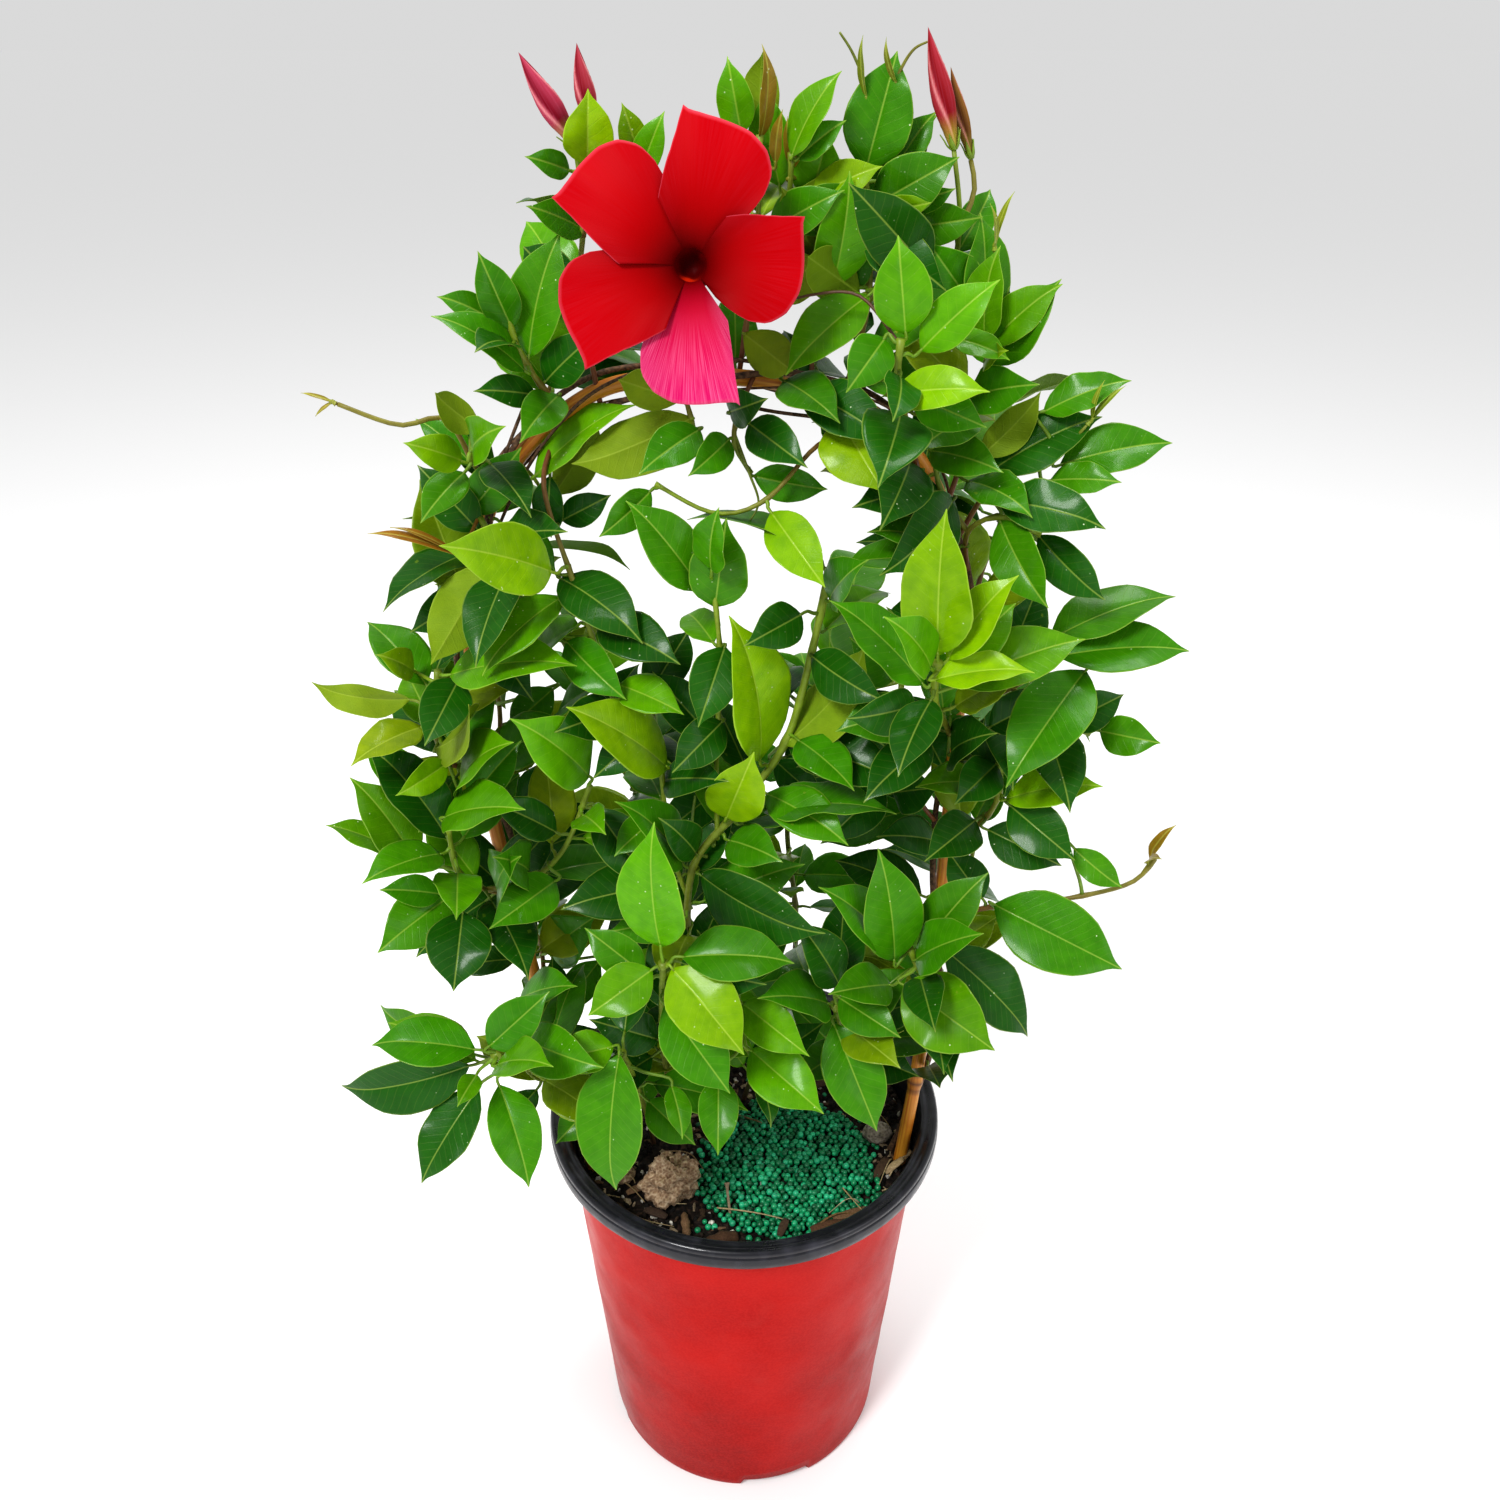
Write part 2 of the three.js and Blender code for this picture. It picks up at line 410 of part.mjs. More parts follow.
// A round bar along a list of points, with one radius for each point
function bar(path, radii, sides) {
  const rings = [];
  let side = null;
  path.forEach((p, i) => {
    const ahead = path[Math.min(i + 1, path.length - 1)];
    const behind = path[Math.max(i - 1, 0)];
    const axis = ahead.clone().sub(behind).normalize();
    const seed = side || (Math.abs(axis.z) < 0.9 ? new THREE.Vector3(0, 0, 1) : new THREE.Vector3(0, 1, 0));
    side = seed.clone().addScaledVector(axis, -seed.dot(axis)).normalize();
    const other = new THREE.Vector3().crossVectors(axis, side);
    const ring = [];
    for (let k = 0; k < sides; k++) {
      const turn = (2 * Math.PI * k) / sides;
      const out = side.clone().multiplyScalar(Math.cos(turn)).addScaledVector(other, Math.sin(turn));
      ring.push(p.clone().addScaledVector(out, radii[i]));
    }
    rings.push(ring);
  });
  return loft(rings);
}

// A smooth line through points, with a number of steps in each span
function smooth(points, steps) {
  const list = points.map(vec);
  const out = [];
  for (let i = 0; i + 1 < list.length; i++) {
    const before = list[Math.max(i - 1, 0)];
    const after = list[Math.min(i + 2, list.length - 1)];
    for (let k = 0; k < steps; k++) {
      const t = k / steps;
      const p = list[i].clone().multiplyScalar(2);
      p.addScaledVector(list[i + 1].clone().sub(before), t);
      const square = before.clone().multiplyScalar(2).addScaledVector(list[i], -5);
      square.addScaledVector(list[i + 1], 4).sub(after);
      p.addScaledVector(square, t * t);
      const cube = list[i].clone().multiplyScalar(3).addScaledVector(list[i + 1], -3);
      cube.add(after).sub(before);
      p.addScaledVector(cube, t * t * t);
      out.push(p.multiplyScalar(0.5));
    }
  }
  out.push(list[list.length - 1].clone());
  return out;
}

// Points an equal step apart along a line
function evenly(line, step) {
  const lengths = [0];
  for (let i = 1; i < line.length; i++) lengths.push(lengths[i - 1] + line[i].distanceTo(line[i - 1]));
  const total = lengths[lengths.length - 1];
  const count = Math.max(1, Math.round(total / step));
  const out = [];
  let i = 1;
  for (let k = 0; k <= count; k++) {
    const wanted = (total * k) / count;
    while (i < line.length - 1 && lengths[i] < wanted) i++;
    const share = (wanted - lengths[i - 1]) / (lengths[i] - lengths[i - 1]);
    out.push(along(line[i - 1], line[i], share));
  }
  return out;
}

// The point of a line that lies nearest to a given point
function nearest(line, point) {
  let best = line[0].clone();
  for (let i = 0; i + 1 < line.length; i++) {
    const span = line[i + 1].clone().sub(line[i]);
    const t = point.clone().sub(line[i]).dot(span) / span.lengthSq();
    const candidate = along(line[i], line[i + 1], Math.min(1, Math.max(0, t)));
    if (candidate.distanceTo(point) < best.distanceTo(point)) best = candidate;
  }
  return best;
}

function largestBody(solid) {
  const bodies = solid.decompose();
  bodies.sort((a, b) => b.volume() - a.volume());
  return bodies[0];
}

// The pot: a tapered shell with a rolled lip, and notches in its foot
function makePot() {
  const neck = POT_HEIGHT - LIP_HEIGHT;
  const profile = [
    [0, 0], [BASE_RADIUS - FOOT_BEVEL, 0], [BASE_RADIUS, FOOT_BEVEL], [BODY_TOP_RADIUS, neck],
    [LIP_RADIUS - LIP_EDGE, neck - 1], [LIP_RADIUS, neck + 1], [LIP_RADIUS, POT_HEIGHT - LIP_EDGE],
    [LIP_RADIUS - LIP_EDGE, POT_HEIGHT], [BODY_TOP_RADIUS + 1, POT_HEIGHT - 1],
    [BODY_TOP_RADIUS - WALL, neck], [BASE_RADIUS - WALL - 1, FLOOR], [0, FLOOR],
  ].map(([radius, height]) => new THREE.Vector2(radius, height));
  const lathe = new THREE.LatheGeometry(profile, POT_SIDES);
  lathe.rotateX(Math.PI / 2);
  let pot = solidOfGeometry(lathe);
  for (let k = 0; k < NOTCH_COUNT; k++) {
    const notch = new THREE.BoxGeometry(NOTCH_WIDTH, NOTCH_DEPTH * 2, NOTCH_HEIGHT * 2);
    notch.translate(0, -BASE_RADIUS, 0);
    notch.rotateZ(THREE.MathUtils.degToRad(NOTCH_TURN + (360 * k) / NOTCH_COUNT));
    pot = pot.subtract(solidOfGeometry(notch));
  }
  return pot;
}

function insideRadius(height) {
  const neck = POT_HEIGHT - LIP_HEIGHT;
  const share = (height - FLOOR) / (neck - FLOOR);
  const foot = BASE_RADIUS - WALL - 1;
  return foot + (BODY_TOP_RADIUS - WALL - foot) * share;
}

function inBed(x, y, margin) {
  const across = (x - BED.x) / (BED.halfWidth + margin);
  const back = (y - BED.y) / (BED.halfDepth + margin);
  return across * across + back * back < 1;
}

// The potting mix: lumpy, but level under the prills and the litter
function makeSoil() {
  const random = seeded(SOIL_SEED);
  const shrink = Math.cos(Math.PI / POT_SIDES);
  const rings = [];
  const bottom = insideRadius(FLOOR + GAP) * shrink - GAP;
  const edge = insideRadius(SOIL_TOP) * shrink - 1.5 * GAP;
  const circle = (radius, height) => {
    const ring = [];
    for (let k = 0; k < SOIL_SIDES; k++) {
      const turn = (2 * Math.PI * k) / SOIL_SIDES;
      const x = radius * Math.cos(turn);
      const y = radius * Math.sin(turn);
      ring.push(new THREE.Vector3(x, y, height(x, y)));
    }
    return ring;
  };
  const byLitter = (x, y) => LITTER.some(([, [a, b], half]) => (
    Math.hypot(x - a, y - b) < half[0] + LITTER_MARGIN
  ));
  const lumps = (x, y) => {
    const draw = random();
    const level = inBed(x, y, LEVEL_MARGIN) || byLitter(x, y);
    return level ? SOIL_TOP : SOIL_TOP - SOIL_RELIEF * draw;
  };
  rings.push(circle(bottom, () => FLOOR + GAP));
  rings.push(circle(edge, () => SOIL_TOP - 1));
  for (const radius of [...SOIL_RINGS].reverse()) rings.push(circle(radius, lumps));
  return loft(rings, new THREE.Vector3(0, 0, SOIL_TOP));
}

// Controlled-release prills: a bed of beads, drawn larger than life as low pyramids
function makePrills() {
  const columns = Math.floor((2 * BED.halfWidth) / PRILL_STEP);
  const rows = Math.floor((2 * BED.halfDepth) / PRILL_STEP);
  const bottom = SOIL_TOP + GAP;
  const points = [];
  const triangles = [];
  const index = new Map();
  const corner = (c, r, level) => {
    const key = `${c},${r},${level}`;
    if (!index.has(key)) {
      index.set(key, points.length);
      const x = BED.x - BED.halfWidth + c * PRILL_STEP;
      const y = BED.y - BED.halfDepth + r * PRILL_STEP;
      points.push(new THREE.Vector3(x, y, level === "low" ? bottom : bottom + PRILL_CORNER));
    }
    return index.get(key);
  };
  const filled = (c, r) => {
    const x = BED.x - BED.halfWidth + (c + 0.5) * PRILL_STEP;
    const y = BED.y - BED.halfDepth + (r + 0.5) * PRILL_STEP;
    return c >= 0 && r >= 0 && c < columns && r < rows && inBed(x, y, -2);
  };
  for (let c = 0; c < columns; c++) {
    for (let r = 0; r < rows; r++) {
      if (!filled(c, r)) continue;
      const corners = [[c, r], [c + 1, r], [c + 1, r + 1], [c, r + 1]];
      const top = corners.map(([a, b]) => corner(a, b, "high"));
      const low = corners.map(([a, b]) => corner(a, b, "low"));
      const peak = points[top[0]].clone().add(points[top[2]]).multiplyScalar(0.5);
      peak.z = bottom + PRILL_HEIGHT;
      points.push(peak);
      const centre = points.length - 1;
      const outside = [[c, r - 1], [c + 1, r], [c, r + 1], [c - 1, r]];
      for (let k = 0; k < 4; k++) {
        const next = (k + 1) % 4;
        triangles.push([top[k], top[next], centre]);
        if (!filled(...outside[k])) {
          triangles.push([low[k], low[next], top[next]], [low[k], top[next], top[k]]);
        }
      }
      triangles.push([low[0], low[2], low[1]], [low[0], low[3], low[2]]);
    }
  }
  return largestBody(solidOf(points, triangles));
}

// A stone or a chip, level underneath
function makeLump([, [x, y], half, turn], seed) {
  const random = seeded(seed);
  const ball = new THREE.IcosahedronGeometry(1, half[0] > 10 ? 1 : 0);
  ball.deleteAttribute("normal");
  ball.deleteAttribute("uv");
  const merged = BufferGeometryUtils.mergeVertices(ball, 1e-4);
  const place = merged.attributes.position;
  for (let i = 0; i < place.count; i++) {
    const swell = 0.86 + 0.26 * random();
    const height = Math.max(-LITTER_SINK, place.getZ(i) * swell);
    place.setXYZ(i, place.getX(i) * swell * half[0], place.getY(i) * swell * half[1], height * half[2]);
  }
  merged.rotateZ(THREE.MathUtils.degToRad(turn));
  merged.translate(x, y, SOIL_TOP + GAP + LITTER_SINK * half[2]);
  return solidOfGeometry(merged);
}

// The hoop and its vines
const hoopLine = evenly(smooth(HOOP, 6), CANE_STEP);
const hoopFine = evenly(smooth(HOOP, 12), VINE_STEP);
const isJoint = (i) => i % CANE_NODE_EVERY === CANE_NODE_EVERY - 1;
const caneRadii = hoopLine.map((_, i) => (isJoint(i) ? CANE_NODE_RADIUS : CANE_RADIUS));

// A vine's centre line: it winds round the hoop, and stands off it at the foot
function vineLine(from, to, phase) {
  const last = hoopFine.length - 1;
  const first = Math.round(from * last);
  const end = Math.round(to * last);
  const way = Math.sign(end - first);
  const out = [];
  for (let i = first; i !== end + way; i += way) {
    const axis = hoopFine[Math.min(i + 1, last)].clone().sub(hoopFine[Math.max(i - 1, 0)]).normalize();
    const across = sideways(axis, new THREE.Vector3(0, 1, 0));
    const turn = (2 * Math.PI * VINE_TURNS * i) / last + phase;
    const climbed = Math.abs(i - first) * VINE_STEP;
    const spread = VINE_OFFSET + VINE_FOOT_SPREAD * Math.max(0, 1 - climbed / VINE_FOOT_RISE);
    const p = hoopFine[i].clone().addScaledVector(across, Math.cos(turn) * spread);
    p.y += Math.sin(turn) * spread;
    out.push(p);
  }
  return out;
}

const vineRadii = (line) => line.map((_, i) => VINE_RADIUS * (1 - (VINE_TAPER * i) / line.length));

// The sideways and upward directions of a section square to a heading, for a blade with that normal
function frameOf(heading, axis, normal) {
  const reference = Math.abs(heading.dot(normal)) > 0.9 ? axis.clone().negate() : normal;
  const side = sideways(heading, reference);
  const up = new THREE.Vector3().crossVectors(side, heading);
  return { side, up };
}

// A blade with its three-sided stalk. The blade's rings are left edge, upper midrib, right edge and
// lower midrib, and both faces are split alike, so that they can't cross
function makeLeaf(root, leaf, extra) {
  const { base, tip, breadth, normal } = leaf;
  const axis = tip.clone().sub(base);
  const length = axis.length();
  axis.normalize();
  const stalk = root ? base.clone().sub(root).normalize() : axis;
  const blade = frameOf(axis, axis, normal);
  const neck = frameOf(stalk.clone().add(axis).normalize(), axis, normal);
  const points = [];
  const triangles = [];
  for (const [share, width] of BLADE_RINGS) {
    const { side, up } = share === 0 ? neck : blade;
    const centre = along(base, tip, share).addScaledVector(up, ARCH * length * 4 * share * (1 - share));
    const half = (width * breadth) / 2 + extra;
    const thick = BLADE_THICKNESS / 2 + extra;
    points.push(centre.clone().addScaledVector(side, -half).addScaledVector(up, half * FOLD));
    points.push(centre.clone().addScaledVector(up, thick));
    points.push(centre.clone().addScaledVector(side, half).addScaledVector(up, half * FOLD));
    points.push(centre.clone().addScaledVector(up, -thick));
  }
  for (let ring = 0; ring + 1 < BLADE_RINGS.length; ring++) {
    const [l, t, r, b] = [0, 1, 2, 3].map((k) => ring * 4 + k);
    triangles.push([l, t, t + 4], [l, t + 4, l + 4], [t, r, t + 4], [r, r + 4, t + 4]);
    triangles.push([r, b, b + 4], [r, b + 4, r + 4], [b, l, b + 4], [l, l + 4, b + 4]);
  }
  const last = (BLADE_RINGS.length - 1) * 4;
  points.push(tip.clone().addScaledVector(axis, extra));
  for (let k = 0; k < 4; k++) triangles.push([last + k, last + (k + 1) % 4, points.length - 1]);
  if (root) {
    const thick = PETIOLE_RADIUS + extra;
    const { side, up } = frameOf(stalk, axis, normal);
    const [l, r, b] = [0, 1, 2].map((k) => points.length + k);
    points.push(root.clone().addScaledVector(side, -thick).addScaledVector(up, thick / 2));
    points.push(root.clone().addScaledVector(side, thick).addScaledVector(up, thick / 2));
    points.push(root.clone().addScaledVector(up, -thick));
    triangles.push([l, 1, 0], [l, r, 1], [r, 2, 1], [r, b, 3], [r, 3, 2], [b, l, 0], [b, 0, 3], [l, b, r]);
  } else {
    triangles.push([0, 2, 1], [0, 3, 2]);
  }
  return solidOf(points, triangles);
}

// Which way a blade faces: towards the viewer, leaning over where it is seen narrow
function facing(base, tip, seen, tone, order) {
  const axis = tip.clone().sub(base);
  const length = axis.length();
  axis.normalize();
  const towards = vec(VIEWER).sub(base).normalize();
  const face = towards.addScaledVector(axis, -towards.dot(axis)).normalize();
  const breadth = Math.max(seen, LEAST_BREADTH * length);
  let lean = Math.acos(Math.min(1, seen / breadth));
  if (order % 2) lean = -lean;
  face.applyAxisAngle(axis, lean * 0.8);
  if (face.z < 0) face.applyAxisAngle(axis, -lean * 1.6);
  if (tone === "O") face.negate();
  return { breadth, normal: face };
}

// Ways to bend a leaf clear of its neighbours: scale, turn sideways, lift
const BENDS = [];
for (const scale of [1, 0.86, 0.72]) {
  for (const turn of [0, 11, -11, 22, -22]) {
    for (const lift of [0, 9, -9, 18, -18, 30, -30]) BENDS.push([scale, turn, lift]);
  }
}

function bent(leaf, [scale, turn, lift]) {
  const axis = leaf.tip.clone().sub(leaf.base);
  const length = axis.length() * scale;
  axis.normalize();
  const side = sideways(axis, leaf.normal);
  const normal = leaf.normal.clone();
  const radians = THREE.MathUtils.degToRad;
  axis.applyAxisAngle(leaf.normal, radians(turn));
  side.applyAxisAngle(leaf.normal, radians(turn));
  axis.applyAxisAngle(side, radians(lift));
  normal.applyAxisAngle(side, radians(lift));
  const tip = leaf.base.clone().addScaledVector(axis, length);
  return { base: leaf.base, tip, breadth: leaf.breadth * scale, normal };
}

// What has been placed, with its node and its box, so that a new leaf can be kept clear of it
const placed = [];

function remember(node, kind, solid) {
  const box = solid.boundingBox();
  placed.push({ node, kind, solid, min: box.min, max: box.max });
}

function touches(solid, wanted) {
  const { min, max } = solid.boundingBox();
  for (const other of placed) {
    if (!wanted(other)) continue;
    if ([0, 1, 2].some((k) => min[k] > other.max[k] || max[k] < other.min[k])) continue;
    if (solid.intersect(other.solid).numTri() > 0) return true;
  }
  return false;
}

// Tries a leaf as it is and then bent, and gives the first that is clear, or nothing.
// Its stalk is rooted near the middle of the stem, a little short of the stem's end
function placeLeaf(node, line, leaf) {
  const [tail, end] = line.slice(-2);
  const stem = [...line.slice(0, -1), along(end, tail, STEM_END / end.distanceTo(tail))];
  for (const bend of BENDS) {
    const trial = bent(leaf, bend);
    const back = trial.base.clone().addScaledVector(trial.tip.clone().sub(trial.base), -ROOT_BACK);
    const middle = nearest(stem, back);
    const root = middle.addScaledVector(trial.base.clone().sub(middle).normalize(), ROOT_OUT);
    const guard = makeLeaf(root, trial, CLEARANCE);
    if (touches(guard, (other) => other.node !== node && other.kind !== "blade")) continue;
    const bladeGuard = makeLeaf(null, trial, CLEARANCE);
    if (touches(bladeGuard, (other) => other.node === node && other.kind === "blade")) continue;
    const solid = makeLeaf(root, trial, 0);
    remember(node, "leaf", solid);
    remember(node, "blade", makeLeaf(null, trial, 0));
    return solid;
  }
  return null;
}

// Opposite pairs along a stem, each pair turned a quarter from the last, kept behind the front leaves
function fillLeaves(stem, random) {
  const leaves = [];
  const line = evenly(stem, PAIR_STEP);
  for (let i = 1; i < line.length; i++) {
    const axis = line[i].clone().sub(line[i - 1]).normalize();
    const across = sideways(axis, new THREE.Vector3(0, 0.6, 0.8));
    const back = new THREE.Vector3().crossVectors(axis, across);
    const start = (i % 2) * 90 + 40 * (random() - 0.5);
    for (const half of [0, 180]) {
      const turn = THREE.MathUtils.degToRad(start + half);
      const way = across.clone().multiplyScalar(Math.cos(turn)).addScaledVector(back, Math.sin(turn));
      way.addScaledVector(axis, FILL_FORWARD);
      const size = FILL_LENGTH * (0.8 + 0.45 * random());
      const droop = 0.15 + 0.5 * random();
      if (way.y < -0.2 && line[i].y < 20) continue;
      way.normalize();
      const base = line[i].clone().addScaledVector(way, FILL_PETIOLE);
      way.z -= droop;
      way.normalize();
      const tip = base.clone().addScaledVector(way, size);
      const outward = new THREE.Vector3(base.x * 0.004, base.y * 0.004, 1);
      const normal = outward.addScaledVector(way, -outward.dot(way)).normalize();
      leaves.push({ base, tip, breadth: size * FILL_BREADTH, normal });
    }
  }
  return leaves;
}

// The flower: tube and throat on the axis, and five petals that turn one way like a pinwheel
function makeFlower() {
  const out = vec(FLOWER_FACING).normalize();
  const right = sideways(new THREE.Vector3(0, 0, 1), out);
  const up = new THREE.Vector3().crossVectors(right, out).negate();
  const centre = vec(FLOWER_CENTRE);
  const radians = THREE.MathUtils.degToRad;
  const spokes = [];
  PETALS.forEach(([turn, reach], i) => {
    const next = PETALS[(i + 1) % PETALS.length][0] + (i + 1 === PETALS.length ? 360 : 0);
    const before = PETALS[(i + PETALS.length - 1) % PETALS.length][0] - (i === 0 ? 360 : 0);
    for (const [share, length] of PETAL_OUTLINE) {
      const span = share < 0 ? turn - before : next - turn;
      spokes.push([radians(turn + share * span), reach * length]);
    }
  });
  const place = (turn, radius, depth) => centre.clone()
    .addScaledVector(right, Math.cos(turn) * radius)
    .addScaledVector(up, Math.sin(turn) * radius)
    .addScaledVector(out, depth);
  const ring = (radius, depth) => spokes.map(([turn]) => place(turn, radius, depth));
  const rings = TUBE_OUTSIDE.map(([radius, depth]) => ring(radius, depth));
  rings.push(spokes.map(([turn, reach]) => place(turn, 12 + 0.5 * (reach - 12), 1.2 - PETAL_THICKNESS)));
  rings.push(spokes.map(([turn, reach]) => place(turn, reach, -1.5 - PETAL_THICKNESS)));
  rings.push(spokes.map(([turn, reach]) => place(turn, reach, -1.5)));
  rings.push(spokes.map(([turn, reach]) => place(turn, 12 + 0.5 * (reach - 12), 1.2)));
  for (const [radius, depth] of [...TUBE_INSIDE].reverse()) rings.push(ring(radius, depth));
  return loft(rings);
}

function makeBud(base, tip, radius) {
  const axis = tip.clone().sub(base).normalize();
  const side = sideways(axis, new THREE.Vector3(0, 1, 0));
  const other = new THREE.Vector3().crossVectors(axis, side);
  const rings = BUD_RINGS.map(([share, width]) => {
    const ring = [];
    for (let k = 0; k < BUD_SIDES; k++) {
      const turn = (2 * Math.PI * k) / BUD_SIDES;
      const p = along(base, tip, share).addScaledVector(side, Math.cos(turn) * width * radius);
      ring.push(p.addScaledVector(other, Math.sin(turn) * width * radius));
    }
    return ring;
  });
  return loft(rings, tip);
}

// Colours and finishes
const finish = (color, roughness) => new THREE.MeshStandardMaterial({ color, roughness, metalness: 0 });
const POT_RED = finish("#d0302a", 0.42);
const SOIL_BROWN = finish("#2b211b", 0.95);
const PRILL_GREEN = finish("#0e7a4a", 0.4);
const STONE_TAN = finish("#a08c74", 0.9);
const BARK_BROWN = finish("#5a3c26", 0.9);
const CANE_YELLOW = finish("#d8922a", 0.6);
const VINE_BROWN = finish("#5b4028", 0.85);
const LEAF_GREEN = finish("#3f9410", 0.35);
const PETAL_RED = finish("#d8001c", 0.5);
const BUD_RED = finish("#b0203a", 0.5);

const plant = new THREE.Group();

function addNode(name, solid, material) {
  const mesh = solid.getMesh();
  const geometry = new THREE.BufferGeometry();
  geometry.setAttribute("position", new THREE.BufferAttribute(new Float32Array(mesh.vertProperties), 3));
  geometry.setIndex(new THREE.BufferAttribute(new Uint32Array(mesh.triVerts), 1));
  const node = new THREE.Mesh(geometry, material);
  node.name = name;
  plant.add(node);
}

// Stems and vines first, so that every leaf can be kept clear of all of them
const lines = {
  right_vine: vineLine(VINE_START, RIGHT_VINE_END, VINE_PHASE),
  left_vine: vineLine(1 - VINE_START, LEFT_VINE_END, VINE_PHASE + Math.PI),
};
const hoop = bar(hoopLine, caneRadii, CANE_SIDES);
const vines = {};
for (const name of ["right_vine", "left_vine"]) {
  vines[name] = bar(lines[name], vineRadii(lines[name]), VINE_SIDES);
  remember(name, "stem", vines[name]);
}
remember("hoop", "stem", hoop);

const stems = {};
for (const [name, carrier, radius, path, ...branches] of SHOOTS) {
  const start = carrier === "soil" ? vec(path[0]) : nearest(lines[carrier], vec(path[0]));
  const main = [start, ...path.slice(1).map(vec)];
  if (carrier === "soil") main.unshift(start.clone().setZ(SOIL_TOP - STEM_DEPTH));
  lines[name] = main;
  const all = [main, ...branches.map((branch) => branch.map(vec))];
  const taper = (line) => line.map((_, i) => radius * (1 - (STEM_TAPER * i) / line.length));
  const join = (grow) => all
    .map((line) => bar(line, taper(line).map((r) => r + grow), STEM_SIDES))
    .reduce((a, b) => a.add(b));
  stems[name] = { name, carrier, all, solid: join(0), guard: join(CLEARANCE), leaves: [] };
  remember(name, "stem", stems[name].solid);
}

const pot = makePot();
const flower = makeFlower();
const buds = BUDS.map(([name, base, tip, radius]) => [name, makeBud(vec(base), vec(tip), radius)]);
const litter = LITTER.map((row, i) => [row[0], makeLump(row, LITTER_SEED + i)]);
const prills = makePrills();
let soil = makeSoil();
remember("pot", "solid", pot);
remember("soil", "solid", soil);
remember("prills", "solid", prills);
remember("flower", "solid", flower);
for (const [name, solid] of [...buds, ...litter]) remember(name, "solid", solid);

const closer = (a, b, point) => nearest(b, point).distanceTo(point) < nearest(a, point).distanceTo(point);

// Leaves placed by hand come first and keep their places, and the fill leaves take what room is left
for (const stem of Object.values(stems)) {
  (LEAVES[stem.name] || []).forEach((row, order) => {
    const base = vec(row.slice(0, 3));
    const tip = vec(row.slice(3, 6));
    const leaf = { base, tip, ...facing(base, tip, row[6], row[7], order) };
    const line = stem.all.reduce((a, b) => (closer(a, b, base) ? b : a));
    const solid = placeLeaf(stem.name, line, leaf);
    if (solid) stem.leaves.push(solid);
  });
}
const random = seeded(FILL_SEED);
const filledStems = Object.values(stems).filter(({ name }) => FILLED.test(name));
for (const stem of filledStems) {
  for (const leaf of fillLeaves(stem.all[0], random)) {
    const solid = placeLeaf(stem.name, stem.all[0], leaf);
    if (solid) stem.leaves.push(solid);
  }
}

// Holes for what stands in the mix, and a small gap where one piece touches another
const wideRadii = caneRadii.map((r) => r + CLEARANCE);
const footed = [
  bar(hoopLine.slice(0, LEG_POINTS), wideRadii.slice(0, LEG_POINTS), CANE_SIDES),
  bar(hoopLine.slice(-LEG_POINTS), wideRadii.slice(-LEG_POINTS), CANE_SIDES),
];
for (const name of Object.keys(vines)) {
  const foot = lines[name].slice(0, VINE_FOOT_POINTS);
  footed.push(bar(foot, foot.map(() => VINE_RADIUS + CLEARANCE), VINE_SIDES));
}
for (const hole of footed) soil = soil.subtract(hole);
const carriers = [bar(hoopLine, wideRadii, CANE_SIDES)];
for (const name of Object.keys(vines)) {
  carriers.push(bar(lines[name], vineRadii(lines[name]).map((r) => r + CLEARANCE), VINE_SIDES));
}
for (const stem of Object.values(stems)) {
  if (stem.carrier === "soil") soil = soil.subtract(stem.guard);
}

addNode("pot", pot, POT_RED);
addNode("soil", largestBody(soil), SOIL_BROWN);
addNode("prills", prills, PRILL_GREEN);
for (const [name, solid] of litter) {
  const woody = name === "bark_chip" || name === "twig";
  addNode(name, solid, woody ? BARK_BROWN : STONE_TAN);
}
addNode("hoop", hoop, CANE_YELLOW);
for (const [name, solid] of Object.entries(vines)) addNode(name, solid, VINE_BROWN);
for (const stem of Object.values(stems)) {
  let solid = stem.leaves.reduce((a, b) => a.add(b), stem.solid);
  if (vines[stem.carrier]) solid = carriers.reduce((rest, carrier) => rest.subtract(carrier), solid);
  if (stems[stem.carrier]) solid = solid.subtract(stems[stem.carrier].guard);
  addNode(stem.name, largestBody(solid), LEAF_GREEN);
}
addNode("flower", largestBody(flower.subtract(stems.flower_stalk.guard)), PETAL_RED);
for (const [name, solid] of buds) {
  const carrier = name.startsWith("bud_left") ? stems.top_left_spray : stems.top_right_spray;
  addNode(name, largestBody(solid.subtract(carrier.guard)), BUD_RED);
}

export default plant;
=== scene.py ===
# A potted dipladenia on a hoop of cane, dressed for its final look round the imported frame.
# Drawing is done in millimetres, +Z up, with -Y to the front, and turned to metres when a mesh is made.

import math

import bpy
import numpy as np
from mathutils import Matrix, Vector, noise


